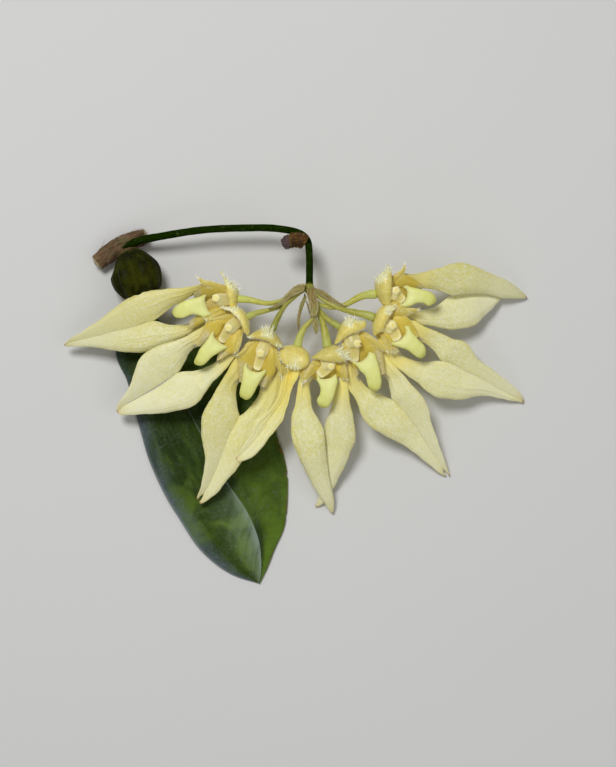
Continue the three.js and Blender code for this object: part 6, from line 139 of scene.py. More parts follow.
SHEATH = [[-3.14,33.12,8.4,-2.88,32.13,8.4],[-2.94,33.32,8.61,-2.7,31.91,8.61],[-2.76,33.53,8.82,-2.53,31.69,8.82],[-2.58,33.73,9.03,-2.34,31.49,9.03],[-2.36,33.9,9.24,-2.11,31.36,9.24],[-2.1,34.01,9.43,-1.84,31.33,9.43],[-1.82,34.02,9.56,-1.58,31.35,9.56],[-1.54,33.97,9.68,-1.32,31.4,9.68],[-1.26,33.9,9.81,-1.06,31.45,9.81],[-0.98,33.83,9.94,-0.81,31.52,9.94],[-0.7,33.8,10.02,-0.56,31.6,10.02],[-0.42,33.8,10.06,-0.3,31.66,10.06],[-0.14,33.82,10.11,-0.04,31.68,10.11],[0.15,33.83,10.15,0.22,31.63,10.15],[0.43,33.82,10.19,0.48,31.56,10.19],[0.7,33.76,10.17,0.74,31.55,10.17],[0.96,33.64,10.13,0.98,31.64,10.13],[1.18,33.47,10.08,1.18,31.82,10.08],[1.4,33.29,10.04,1.36,32.01,10.04],[1.62,33.12,10.0,1.54,32.21,10.0]]
LEAF = [[-32.05,21.39,4.4,-31.25,21.39,4.3,-30.44,21.39,4.4],[-32.57,20.07,3.92,-31.2,20.12,3.76,-29.9,20.05,3.92],[-33.21,18.81,3.45,-31.11,18.85,3.21,-29.25,18.77,3.45],[-33.94,17.6,2.97,-30.97,17.58,2.68,-28.35,17.66,2.97],[-34.7,16.39,2.54,-30.78,16.31,2.27,-27.2,16.79,2.54],[-35.36,15.14,2.11,-30.54,15.05,1.86,-25.97,16.04,2.11],[-35.93,13.83,1.68,-30.17,13.82,1.45,-24.69,15.37,1.68],[-36.39,12.48,1.25,-29.68,12.64,1.04,-23.37,14.77,1.25],[-36.66,11.09,1.05,-29.13,11.47,0.86,-22.03,14.2,1.05],[-36.51,9.69,0.98,-28.54,10.3,0.81,-20.67,13.64,0.98],[-36.05,8.35,0.9,-27.94,9.15,0.76,-19.3,13.1,0.9],[-35.44,7.07,0.83,-27.33,8.0,0.7,-17.93,12.55,0.83],[-34.76,5.83,0.75,-26.69,6.87,0.65,-16.59,11.94,0.75],[-34.26,4.5,0.68,-26.03,5.75,0.59,-15.26,11.32,0.68],[-33.88,3.13,0.6,-25.36,4.63,0.54,-13.94,10.65,0.6],[-33.53,1.75,0.55,-24.69,3.51,0.5,-12.67,9.9,0.55],[-33.19,0.37,0.55,-24.02,2.39,0.5,-11.48,9.03,0.55],[-32.86,-1.01,0.55,-23.35,1.28,0.5,-10.37,8.06,0.55],[-32.5,-2.39,0.55,-22.68,0.16,0.5,-9.37,6.97,0.55],[-32.12,-3.76,0.54,-22.03,-0.97,0.5,-8.49,5.79,0.54],[-31.72,-5.13,0.54,-21.39,-2.11,0.5,-7.74,4.52,0.54],[-31.34,-6.5,0.54,-20.76,-3.25,0.5,-7.08,3.2,0.54],[-30.96,-7.87,0.54,-20.15,-4.4,0.5,-6.46,1.85,0.54],[-30.58,-9.24,0.54,-19.53,-5.55,0.5,-5.9,0.49,0.54],[-30.15,-10.59,0.54,-18.93,-6.71,0.5,-5.41,-0.91,0.54],[-29.66,-11.93,0.53,-18.33,-7.86,0.5,-4.95,-2.31,0.53],[-29.12,-13.24,0.53,-17.72,-9.02,0.5,-4.52,-3.72,0.53],[-28.55,-14.55,0.53,-17.11,-10.17,0.5,-4.13,-5.15,0.53],[-27.95,-15.84,0.53,-16.51,-11.33,0.5,-3.72,-6.57,0.53],[-27.34,-17.12,0.53,-15.9,-12.48,0.5,-3.23,-7.96,0.53],[-26.69,-18.39,0.53,-15.29,-13.64,0.5,-2.73,-9.35,0.53],[-26.0,-19.63,0.53,-14.67,-14.78,0.5,-2.36,-10.78,0.53],[-25.26,-20.85,0.52,-14.03,-15.92,0.5,-2.05,-12.22,0.52],[-24.5,-22.05,0.52,-13.33,-17.02,0.5,-1.81,-13.68,0.52],[-23.73,-23.25,0.52,-12.57,-18.08,0.5,-1.69,-15.15,0.52],[-22.98,-24.45,0.52,-11.81,-19.14,0.5,-1.66,-16.63,0.52],[-22.24,-25.67,0.52,-11.06,-20.2,0.5,-1.68,-18.11,0.52],[-21.48,-26.88,0.52,-10.35,-21.3,0.5,-1.73,-19.58,0.52],[-20.68,-28.05,0.52,-9.73,-22.45,0.5,-1.83,-21.06,0.52],[-19.79,-29.16,0.51,-9.16,-23.62,0.5,-1.98,-22.53,0.51],[-18.83,-30.2,0.51,-8.62,-24.81,0.5,-2.2,-23.99,0.51],[-17.79,-31.18,0.51,-8.14,-26.02,0.5,-2.57,-25.42,0.51],[-16.7,-32.1,0.51,-7.74,-27.26,0.5,-3.12,-26.79,0.51],[-15.57,-32.96,0.51,-7.44,-28.53,0.5,-3.77,-28.11,0.51],[-14.39,-33.74,0.51,-7.26,-29.82,0.5,-4.37,-29.46,0.51],[-13.14,-34.43,0.51,-7.16,-31.12,0.5,-4.91,-30.84,0.51],[-11.83,-34.99,0.5,-7.1,-32.42,0.5,-5.43,-32.22,0.5],[-10.48,-35.43,0.5,-7.12,-33.72,0.5,-6.01,-33.58,0.5],[-9.11,-35.81,0.5,-7.29,-35.02,0.5,-6.66,-34.9,0.5],[-7.75,-36.21,0.5,-7.54,-36.3,0.5,-7.34,-36.21,0.5]]
BULB = [[-34.1,30.98,4.0,1.5],[-33.67,30.05,4.4,2.7],[-33.04,28.63,4.7,3.9],[-32.52,27.21,4.9,4.7],[-32.11,25.69,4.95,4.95],[-31.71,24.19,4.9,4.7],[-31.43,22.79,4.6,3.9],[-31.25,21.79,4.3,2.6],[-31.16,21.19,4.2,1.5]]
RHIZOME = [[-40.33,28.77,2.1,1.7],[-38.91,29.88,2.1,1.9],[-37.5,30.99,2.1,2.0],[-35.88,32.01,2.1,2.0],[-34.05,32.92,2.1,1.9],[-32.23,33.63,2.1,1.8],[-30.41,34.14,2.0,1.6]]
RIDGES = {
 "f5a": [[0.34,0.05,0.16,0.18,0.5]],
 "f7b": [[0.42,0.07,0.22,0.42,0.97],[0.7,0.05,-0.08,0.3,0.6]],
 "f7a": [[0.5,0.1,-0.06,0.3,0.8]],
 "f3b": [[0.3,0.05,0.14,0.12,0.5],[0.62,0.05,0.12,0.12,0.45]],
 "f3a": [[0.35,0.05,0.12,0.1,0.32],[0.7,0.05,0.14,0.1,0.3]],
 "f4a": [[0.4,0.05,0.14,0.1,0.7],[0.75,0.05,0.12,0.1,0.8]],
 "f4b": [[0.3,0.05,0.12,0.1,0.7],[0.65,0.06,0.16,0.1,0.9]],
 "f1a": [[0.55,0.06,0.1,0.1,0.5]],
 "f1b": [[0.5,0.06,0.08,0.2,0.6]],
 "f2a": [[0.45,0.06,0.12,0.1,0.4]],
 "f2b": [[0.5,0.06,0.1,0.12,0.45]],
 "f5b": [[0.4,0.05,0.1,0.12,0.4]],
 "f6a": [[0.45,0.06,0.1,0.12,0.5]],
 "f6b": [[0.3,0.05,0.14,0.1,0.35],[0.75,0.05,0.12,0.1,0.4]],
 "f8a": [[0.45,0.06,0.08,0.3,0.8]],
 "f8b": [[0.4,0.06,0.1,0.2,0.7]],
}
CREASES = {
 "f3a": [[-11.73,9.63],[-11.53,8.04],[-11.43,6.04],[-11.43,4.25]],
 "f3b": [[-3.36,6.64],[-4.76,5.65],[-5.95,4.45],[-6.95,3.05]],
 "f2a": [[-17.51,16.61],[-18.31,15.01],[-19.11,13.42],[-19.71,11.82]],
 "f2b": [[-11.93,10.63],[-13.53,9.83],[-14.92,9.03],[-15.92,8.44]],
 "f1a": [[-17.31,23.78],[-18.51,23.49],[-19.91,22.89],[-21.3,21.79]],
 "f1b": [[-17.91,17.01],[-19.31,16.71],[-20.7,16.41]],
 "f6a": [[9.2,9.83],[10.59,8.64],[11.79,7.04],[12.59,5.45]],
 "f6b": [[16.77,11.23],[17.17,9.83],[17.57,7.84],[17.87,5.65]],
 "f7a": [[22.15,17.61],[23.15,16.21],[24.15,14.81],[25.14,13.02]],
 "f7b": [[18.37,12.02],[19.36,11.03],[20.56,10.03]],
 "f8a": [[20.76,25.98],[22.35,25.18],[23.95,24.38],[25.54,23.39]],
 "f8b": [[20.36,19.2],[21.56,18.8],[22.75,18.6]],
}
CHEEKS = {
 "f3": [[[[-7.71,12.99],[-9.1,12.2],[-10.29,11.1],[-11.19,10.11],[-11.49,8.62],[-11.49,6.63],[-11.19,4.65]],[[-6.92,12.4],[-7.51,11.01],[-7.91,9.42],[-8.51,8.22],[-9.1,7.03],[-9.9,5.84],[-10.59,4.45]]],[[[-4.93,12.2],[-4.04,11.2],[-3.74,9.61],[-3.84,8.03],[-4.14,6.44],[-5.13,5.05],[-6.32,3.46]],[[-5.73,12.0],[-5.63,10.61],[-6.02,9.02],[-6.42,7.63],[-6.52,6.24],[-6.92,5.05],[-7.02,3.85]]]],
 "f2": [[[[-12.88,17.46],[-14.67,17.66],[-16.45,17.26],[-17.65,16.57],[-18.44,15.18],[-19.23,13.59],[-19.83,12.0]],[[-13.08,16.57],[-14.27,16.17],[-15.06,15.18],[-15.66,14.38],[-16.65,13.59],[-17.84,12.79],[-19.04,11.7]]],[[[-10.89,14.58],[-10.99,12.99],[-11.29,11.6],[-11.88,10.51],[-13.27,10.01],[-14.67,9.22],[-15.66,8.82]],[[-12.08,15.18],[-12.78,13.99],[-13.47,12.99],[-13.87,12.0],[-14.67,11.01],[-15.26,10.21],[-15.66,9.42]]]],
 "f1": [[[[-13.87,22.73],[-15.46,23.62],[-17.05,24.12],[-18.44,23.92],[-19.43,23.32],[-20.43,22.33]],[[-14.47,21.93],[-15.86,22.03],[-17.25,21.73],[-18.24,21.53],[-19.23,21.53],[-20.23,21.53]]],[[[-13.47,19.75],[-14.67,18.75],[-16.25,17.86],[-17.84,16.77],[-19.04,16.07],[-20.23,15.48],[-21.62,14.78]],[[-14.86,19.75],[-15.86,19.55],[-16.85,19.15],[-17.84,18.65],[-18.84,18.16],[-19.83,17.56],[-21.02,16.77]]]],
 "f6": [[[[9.37,12.99],[9.17,11.4],[9.97,10.01],[10.96,8.62],[11.56,7.03],[12.15,5.64]],[[10.76,13.39],[10.76,11.8],[11.16,10.41],[11.76,9.22],[12.15,7.83],[12.55,6.24]]],[[[12.55,14.48],[14.34,14.18],[15.73,13.19],[16.92,12.1],[17.22,10.61],[17.52,8.62],[17.72,6.24]],[[12.35,13.39],[13.35,12.4],[13.94,11.01],[14.74,10.01],[15.53,9.02],[16.13,7.63],[16.72,5.84]]]],
 "f7": [[[[19.31,17.56],[20.7,17.86],[22.09,17.56],[22.88,16.57],[23.68,15.18],[24.47,13.79]],[[19.11,16.77],[20.1,16.17],[20.9,15.38],[21.49,14.58],[22.49,13.79],[23.28,12.59]]],[[[17.12,14.78],[17.32,13.39],[17.92,12.0],[18.61,10.81],[19.11,9.81]],[[18.11,14.98],[18.71,13.99],[19.31,12.79],[19.9,11.8],[20.5,10.61]]]],
 "f8": [[[[19.31,25.31],[20.7,26.0],[22.09,25.81],[23.48,25.11],[24.87,24.12],[25.47,23.52]],[[19.7,23.92],[20.7,23.72],[21.69,23.72],[22.88,23.52],[24.07,23.32],[25.07,23.12]]],[[[18.91,20.54],[19.7,19.75],[20.7,19.35],[21.69,19.05],[22.68,18.75]],[[19.9,20.74],[20.7,20.34],[21.49,20.04],[22.29,19.55],[23.08,19.15]]]],
 "f5": [[[[3.61,8.62],[2.62,7.63],[2.02,6.24],[1.82,4.65]],[[4.61,8.42],[4.21,7.23],[3.41,6.04],[2.62,4.65]]],[[[8.38,8.52],[9.57,7.83],[10.17,6.44],[10.37,5.05]],[[7.59,8.42],[7.98,7.23],[8.78,6.04],[9.37,4.85]]]],
}


# ------------------------------------------------------------------ small maths
def sm(x, a, b):
    t = np.clip((np.asarray(x, float) - a) / (b - a), 0, 1)
    return t * t * (3 - 2 * t)


def refine(rows, n):
    """Catmull-Rom through the rows of a table, n rows out."""
    q = np.array(rows, float)
    k = len(q)
    q = np.vstack([2 * q[0] - q[1], q, 2 * q[-1] - q[-2]])
    x = np.linspace(0, k - 1, n)
    i = np.minimum(x.astype(int), k - 2)
    f = (x - i)[:, None]
    a, b, c, d = q[i], q[i + 1], q[i + 2], q[i + 3]
    return 0.5 * (2 * b + (c - a) * f + (2 * a - 5 * b + 4 * c - d) * f ** 2 + (3 * b - a - 3 * c + d) * f ** 3)


def arclen(p):
    return np.r_[0, np.cumsum(np.linalg.norm(np.diff(p, axis=0), axis=1))]


def waves(x, y, seed, n=7, lo=0.3, hi=1.2):
    """A smooth, repeatable height field from a few crossed waves."""
    r = np.random.default_rng(seed)
    z = np.zeros(np.broadcast(x, y).shape)
    for _ in range(n):
        a = r.uniform(0, 2 * math.pi)
        f = r.uniform(lo, hi)
        z += np.sin(2 * math.pi * f * (x * math.cos(a) + y * math.sin(a)) + r.uniform(0, 6.28))
    return z / n


# ------------------------------------------------------------------ mesh building
class Part:
    KEYS = ("u", "v", "across", "gold", "pale", "tint", "deep", "hue", "lum", "seam")

    def __init__(self):
        self.v, self.f, self.m, self.n = [], [], [], 0
        self.a = {k: [] for k in self.KEYS}

    def add(self, V, F, mat=0, **attrs):
        V = np.asarray(V, float).reshape(-1, 3)
        self.v.append(V)
        self.f += [tuple(int(i) + self.n for i in f) for f in F]
        self.m += [mat] * len(F)
        for k in self.KEYS:
            x = attrs.get(k, 0.0)
            self.a[k].append(np.broadcast_to(np.asarray(x, float).reshape(-1) if np.ndim(x) else x, (len(V),)))
        self.n += len(V)

    def build(self, name, nodes, mats):
        V = np.vstack(self.v) * MM
        V[:, 2] = np.maximum(V[:, 2], 2e-5)
        me = bpy.data.meshes.new(name)
        me.from_pydata(V.tolist(), [], self.f)
        for m in mats:
            me.materials.append(m)
        me.polygons.foreach_set("material_index", self.m)
        me.polygons.foreach_set("use_smooth", [True] * len(self.f))
        for k in self.KEYS:
            at = me.attributes.new(k, "FLOAT", "POINT")
            at.data.foreach_set("value", np.concatenate(self.a[k]).astype(np.float32))
        me.update()
        me.validate()
        ob = bpy.data.objects.new(name, me)
        bpy.context.scene.collection.objects.link(ob)
        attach(ob, "root")
        if nodes:
            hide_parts(*nodes)
        return ob


def shell_faces(n, m, flip=False):
    """Faces of a closed shell whose top grid comes first, then its bottom grid."""
    F = []
    o = n * m
    for i in range(n - 1):
        for j in range(m - 1):
            a, b, c, d = i * m + j, i * m + j + 1, (i + 1) * m + j + 1, (i + 1) * m + j
            F.append((a, b, c, d))
            F.append((a + o, d + o, c + o, b + o))
    for i in range(n - 1):
        a, d = i * m, (i + 1) * m
        F.append((a, d, d + o, a + o))
        a, d = i * m + m - 1, (i + 1) * m + m - 1
        F.append((a, a + o, d + o, d))
    for j in range(m - 1):
        a, b = j, j + 1
        F.append((a, a + o, b + o, b))
        a, b = (n - 1) * m + j, (n - 1) * m + j + 1
        F.append((a, b, b + o, a + o))
    return [f[::-1] for f in F] if flip else F


def turn(top):
    """Whether a grid's faces, as shell_faces lists them, look down."""
    n, m, _ = top.shape
    c = np.cross(top[1:, :-1] - top[:-1, :-1], top[:-1, 1:] - top[:-1, :-1])
    return c[..., 2].sum() > 0


def grid_normals(g):
    du = np.gradient(g, axis=0)
    dv = np.gradient(g, axis=1)
    nrm = np.cross(du, dv)
    nrm /= np.linalg.norm(nrm, axis=2, keepdims=True) + 1e-9
    if nrm[..., 2].sum() < 0:
        nrm = -nrm
    return nrm


def tube(part, path, rad, sides=14, mat=0, flat=None, rib=None, cap=True, up=(0, 0, 1), **attrs):
    """A closed tube. flat scales the radius along the up direction; rib is (count, depth)."""
    p = np.asarray(path, float)
    n = len(p)
    rad = np.broadcast_to(np.asarray(rad, float), (n,))
    flat = np.broadcast_to(np.asarray(1.0 if flat is None else flat, float), (n,))
    T = np.gradient(p, axis=0)
    T /= np.linalg.norm(T, axis=1, keepdims=True) + 1e-12
    u = np.array(up, float)
    if abs(T[0] @ u) > 0.9:
        u = np.array([1.0, 0, 0])
    V = []
    th = np.linspace(0, 2 * math.pi, sides, endpoint=False)
    prev = u - T[0] * (T[0] @ u)
    prev /= np.linalg.norm(prev)
    for i in range(n):
        prev = prev - T[i] * (T[i] @ prev)
        prev /= np.linalg.norm(prev) + 1e-12
        side = np.cross(T[i], prev)
        r = rad[i] * (1 + (rib[1] * np.cos(rib[0] * th) if rib else 0))
        V.append(p[i] + np.outer(r * np.cos(th) * flat[i], prev) + np.outer(r * np.sin(th), side))
    V = np.vstack(V)
    F = []
    for i in range(n - 1):
        for j in range(sides):
            k = (j + 1) % sides
            F.append((i * sides + j, i * sides + k, (i + 1) * sides + k, (i + 1) * sides + j))
    if cap:
        V = np.vstack([V, p[0] - T[0] * rad[0] * 0.35, p[-1] + T[-1] * rad[-1] * 0.35])
        a, b = n * sides, n * sides + 1
        for j in range(sides):
            k = (j + 1) % sides
            F.append((a, k, j))
            F.append((b, (n - 1) * sides + j, (n - 1) * sides + k))
    L = arclen(p)
    uu = np.repeat(L, sides)
    vv = np.tile(th / (2 * math.pi), n)
    cc = np.repeat(np.linspace(0, 1, n), sides)
    if cap:
        uu, vv, cc = np.r_[uu, L[0], L[-1]], np.r_[vv, 0, 0], np.r_[cc, 0, 1]
    # seam here holds how far round to the side each vertex lies; the column material paints light on these sides
    sd = np.tile(np.abs(np.sin(th)), n)
    at = dict(u=cc, v=vv, across=uu, seam=np.r_[sd, 0, 0] if cap else sd)
    for k, x in attrs.items():
        x = np.asarray(x, float)
        if x.ndim and len(x) == n:
            x = np.repeat(x, sides)
            if cap:
                x = np.r_[x, x[0], x[-1]]
        at[k] = x
    part.add(V, F, mat, **at)


def hair(part, root, direction, length, r0=0.05, r1=0.016, bend=(0, 0, 0), mat=1, segs=5):
    d = np.array(direction, float)
    d /= np.linalg.norm(d) + 1e-9
    t = np.linspace(0, 1, segs)[:, None]
    p = np.array(root, float) + d * length * t + np.array(bend, float) * length * t ** 2
    # three flat-sided, tapering to a blunt point
    T = np.gradient(p, axis=0)
    T /= np.linalg.norm(T, axis=1, keepdims=True) + 1e-9
    a = np.cross(T, [0.31, 0.21, 0.93])
    a /= np.linalg.norm(a, axis=1, keepdims=True) + 1e-9
    b = np.cross(T, a)
    r = (r0 + (r1 - r0) * t)
    V = np.stack([p + r * (a * math.cos(q) + b * math.sin(q)) for q in (0, 2.094, 4.189)], 1).reshape(-1, 3)
    F = [(2, 1, 0), tuple(3 * (segs - 1) + k for k in (0, 1, 2))]
    for i in range(segs - 1):
        for j in range(3):
            k = (j + 1) % 3
            F.append((3 * i + j, 3 * i + k, 3 * i + 3 + k, 3 * i + 3 + j))
    part.add(V, F, mat, u=np.repeat(np.linspace(0, 1, segs), 3))


# ------------------------------------------------------------------ material nodes
class Mat:
    def __init__(self, name, rough=0.5, spec=0.5, sss=0.0, radius=(1, 0.7, 0.3), scale=0.001, coat=0.0, coat_rough=0.2, sheen=0.0):
        self.m = bpy.data.materials.new(name)
        self.m.use_nodes = True
        self.t = self.m.node_tree
        self.t.nodes.clear()
        self.out = self.t.nodes.new("ShaderNodeOutputMaterial")
        b = self.b = self.t.nodes.new("ShaderNodeBsdfPrincipled")
        self.t.links.new(b.outputs[0], self.out.inputs["Surface"])
        b.inputs["Roughness"].default_value = rough
        b.inputs["Specular IOR Level"].default_value = spec
        b.inputs["Subsurface Weight"].default_value = sss
        b.inputs["Subsurface Radius"].default_value = radius
        b.inputs["Subsurface Scale"].default_value = scale
        b.inputs["Coat Weight"].default_value = coat
        b.inputs["Coat Roughness"].default_value = coat_rough
        b.inputs["Sheen Weight"].default_value = sheen
        self.co = self.t.nodes.new("ShaderNodeTexCoord").outputs["Object"]

    def put(self, sock, x):
        if isinstance(x, bpy.types.NodeSocket):
            self.t.links.new(x, sock)
        elif x is not None:
            if hasattr(sock.default_value, "__len__") and not hasattr(x, "__len__"):
                x = (x,) * len(sock.default_value)
            if hasattr(x, "__len__") and len(x) == 3 and len(sock.default_value) == 4:
                x = (*x, 1)
            sock.default_value = x

    def attr(self, name):
        n = self.t.nodes.new("ShaderNodeAttribute")
        n.attribute_name = name
        return n.outputs["Fac"]

    def math(self, op, a, b=None, clamp=False):
        n = self.t.nodes.new("ShaderNodeMath")
        n.operation = op
        n.use_clamp = clamp
        self.put(n.inputs[0], a)
        if b is not None:
            self.put(n.inputs[1], b)
        return n.outputs[0]

    def remap(self, x, a, b, c=0.0, d=1.0, smooth=True):
        n = self.t.nodes.new("ShaderNodeMapRange")
        n.interpolation_type = "SMOOTHSTEP" if smooth else "LINEAR"
        for i, q in enumerate((x, a, b, c, d)):
            self.put(n.inputs[i], q)
        return n.outputs[0]

    def mix(self, f, a, b, mode="MIX"):
        n = self.t.nodes.new("ShaderNodeMix")
        n.data_type = "RGBA"
        n.blend_type = mode
        n.clamp_factor = True
        self.put(n.inputs["Factor"], f)
        ca = [i for i in n.inputs if i.type == "RGBA"]
        self.put(ca[0], a)
        self.put(ca[1], b)
        return [o for o in n.outputs if o.type == "RGBA"][0]

    def vec(self, x, y, z=0.0):
        n = self.t.nodes.new("ShaderNodeCombineXYZ")
        for i, q in enumerate((x, y, z)):
            self.put(n.inputs[i], q)
        return n.outputs[0]

    def noise(self, scale, detail=3, rough=0.55, vec=None, distort=0.0):
        n = self.t.nodes.new("ShaderNodeTexNoise")
        self.put(n.inputs["Vector"], vec if vec is not None else self.co)
        self.put(n.inputs["Scale"], scale)
        self.put(n.inputs["Detail"], detail)
        self.put(n.inputs["Roughness"], rough)
        self.put(n.inputs["Distortion"], distort)
        return n.outputs["Fac"]

    def voronoi(self, scale, vec=None, feature="F1", rnd=1.0):
        n = self.t.nodes.new("ShaderNodeTexVoronoi")
        n.feature = feature
        self.put(n.inputs["Vector"], vec if vec is not None else self.co)
        self.put(n.inputs["Scale"], scale)
        self.put(n.inputs["Randomness"], rnd)
        return n.outputs["Distance"]

    def bump(self, height, dist, strength=1.0):
        n = self.t.nodes.new("ShaderNodeBump")
        self.put(n.inputs["Height"], height)
        n.inputs["Strength"].default_value = strength
        n.inputs["Distance"].default_value = dist
        return n.outputs[0]

    def set(self, color=None, rough=None, bump=None):
        if color is not None:
            self.put(self.b.inputs["Base Color"], color)
        if rough is not None:
            self.put(self.b.inputs["Roughness"], rough)
        if bump is not None:
            self.put(self.b.inputs["Normal"], bump)
        return self.m


def grown(m, count, width):
    """0..1 lines at even steps of the v attribute, for nerves and veins."""
    w = m.math("MULTIPLY", m.attr("v"), float(count))
    w = m.math("ADD", w, m.math("MULTIPLY", m.noise(500, 2), 0.35))
    w = m.math("ABSOLUTE", m.math("SUBTRACT", m.math("FRACT", w), 0.5))
    return m.remap(w, 0.0, width, 1.0, 0.0)


def through(m, colour, strength):
    """A faint warm glow that stands for the light passing through a thin part."""
    m.b.inputs["Emission Color"].default_value = (*colour, 1)
    m.b.inputs["Emission Strength"].default_value = strength


def mat_sepal(name, warm):
    m = Mat(name, rough=0.5, spec=0.40, sss=0.20, radius=(1.0, 0.85, 0.45), scale=0.00025)
    through(m, (1.0, 0.90, 0.40), 0.018)
    t, v, along = m.attr("u"), m.attr("v"), m.attr("across")
    gold, pale, tint = m.attr("gold"), m.attr("pale"), m.attr("tint")
    flow = m.vec(m.math("MULTIPLY", along, 0.80), m.math("MULTIPLY", v, 7.5), tint)
    fleck = m.noise(1.7, 4, 0.65, flow, 0.4)
    broad = m.noise(140, 2, 0.5)
    grain = m.noise(2900, 3, 0.62)
    base = m.mix(m.remap(v, 0.0, 0.25, 1.0, 0.0), (0.825, 0.795, 0.365), (0.795, 0.740, 0.260))
    base = m.mix(m.math("MULTIPLY", m.remap(v, 0.75, 1.0), 0.5), base, (0.800, 0.740, 0.300))
    base = m.mix(m.math("MULTIPLY", m.remap(broad, 0.42, 0.66), 0.40), base, (0.805, 0.755, 0.255))
    base = m.mix(m.math("MULTIPLY", m.remap(fleck, 0.48, 0.64), 0.60), base, (0.940, 0.935, 0.690))
    base = m.mix(m.math("MULTIPLY", m.remap(fleck, 0.48, 0.32), 0.60), base, (0.765, 0.715, 0.195))
    # the light grain specks are partly the cells' own texture and partly painted glitter, highlights where the cells
    # catch the light
    base = m.mix(m.math("MULTIPLY", m.remap(grain, 0.53, 0.66), 0.46), base, (0.970, 0.975, 0.800))
    base = m.mix(m.math("MULTIPLY", m.remap(grain, 0.46, 0.33), 0.45), base, (0.760, 0.715, 0.215))
    base = m.mix(m.math("MULTIPLY", grown(m, 9, 0.16), 0.10), base, (0.640, 0.600, 0.220))
    # spark: painted glints, small white highlight dots for the glitter of the cells
    spark = m.remap(m.voronoi(3300, m.vec(m.math("MULTIPLY", along, 0.00055), m.math("MULTIPLY", v, 0.0035), m.math("MULTIPLY", tint, 0.01))), 0.0, 0.30, 1.0, 0.0)
    spark = m.math("MULTIPLY", spark, m.remap(fleck, 0.42, 0.62))
    base = m.mix(m.math("MULTIPLY", spark, 0.55), base, (1.0, 1.0, 0.93))
    base = m.mix(m.remap(t, 0.50, 0.95, 0.0, 0.50), base, (0.880, 0.880, 0.660))
    hue = m.attr("hue")
    base = m.mix(m.math("MULTIPLY", m.math("MAXIMUM", hue, 0.0), 0.55), base, (0.850, 0.845, 0.600))
    base = m.mix(m.math("MULTIPLY", m.math("MAXIMUM", m.math("MULTIPLY", hue, -1.0), 0.0), 0.55), base, (0.800, 0.715, 0.210))
    # warm yellow in the neck, cooler at the far end, tan on the very tip
    g = m.math("ADD", gold, m.math("MULTIPLY", m.math("SUBTRACT", m.noise(420, 3), 0.5), 0.30), True)
    base = m.mix(m.math("MULTIPLY", m.remap(g, 0.02, 0.50), 0.80), base, (0.850, 0.745, 0.205))
    base = m.mix(m.math("MULTIPLY", m.remap(g, 0.42, 0.95), 0.88), base, warm)
    # the greyish inner margin by the lip: its own translucent grey-cream, with painted shade where the margin turns
    # down
    base = m.mix(m.math("MULTIPLY", m.remap(pale, 0.1, 0.7), 0.85), base, (0.600, 0.555, 0.385))
    # painted shade: a dark grey line along the valley where the two blades meet
    base = m.mix(m.math("MULTIPLY", m.attr("seam"), 0.85), base, (0.400, 0.410, 0.370))
    # painted shade: darker ochre in the hollow and crease beside the column, partly the neck's own deep gold
    base = m.mix(m.math("MULTIPLY", m.attr("deep"), 0.9), base, (0.520, 0.380, 0.060))
    base = m.mix(m.remap(t, 0.90, 0.98, 0, 0.40), base, (0.76, 0.66, 0.26))
    base = m.mix(m.remap(t, 0.982, 1.0, 0, 0.80), base, (0.52, 0.31, 0.10))
    lum = m.attr("lum")
    base = m.mix(1.0, base, m.vec(lum, lum, lum), "MULTIPLY")
    h = m.math("ADD", m.math("MULTIPLY", grain, 0.75), m.math("MULTIPLY", fleck, 0.9))
    h = m.math("SUBTRACT", h, m.math("MULTIPLY", grown(m, 9, 0.22), 0.15))
    return m.set(base, m.remap(fleck, 0.3, 0.7, 0.50, 0.32), m.bump(h, 0.00013, 0.75))


def mat_hood():
    m = Mat("hood", rough=0.42, spec=0.42, sss=0.25, radius=(1.0, 0.80, 0.40), scale=0.00022)
    through(m, (1.0, 0.84, 0.28), 0.025)
    pale = m.attr("pale")
    nerve = grown(m, 15, 0.14)
    n = m.noise(800, 3)
    base = m.mix(m.remap(n, 0.35, 0.65), (0.78, 0.655, 0.150), (0.87, 0.765, 0.235))
    base = m.mix(m.math("MULTIPLY", m.remap(m.attr("u"), 0.30, 0.0), 0.5), base, (0.66, 0.54, 0.14))
    base = m.mix(m.math("MULTIPLY", nerve, 0.30), base, (0.56, 0.44, 0.10))
    base = m.mix(m.math("MULTIPLY", m.remap(m.math("ADD", pale, m.math("MULTIPLY", n, 0.3)), 0.25, 1.0), 0.85), base, (0.88, 0.87, 0.48))
    base = m.mix(m.math("MULTIPLY", m.attr("gold"), 0.8), base, (0.64, 0.48, 0.11))
    base = m.mix(m.math("MULTIPLY", m.remap(m.noise(2300, 2), 0.58, 0.70), 0.3), base, (0.94, 0.89, 0.55))
    h = m.math("SUBTRACT", m.math("MULTIPLY", m.noise(3200, 2), 0.5), m.math("MULTIPLY", nerve, 0.35))
    lum = m.attr("lum")
    base = m.mix(1.0, base, m.vec(lum, lum, lum), "MULTIPLY")
    return m.set(base, m.remap(n, 0.3, 0.7, 0.42, 0.30), m.bump(h, 0.00010, 0.7))


def mat_hair():
    m = Mat("hair", rough=0.45, spec=0.35)
    base = m.mix(m.attr("u"), (0.94, 0.92, 0.58), (1.0, 1.0, 0.86))
    through(m, (1.0, 0.98, 0.70), 0.11)
    return m.set(m.mix(m.remap(m.noise(3000, 2), 0.45, 0.6, 0, 0.2), base, (0.95, 0.94, 0.62)), 0.42)


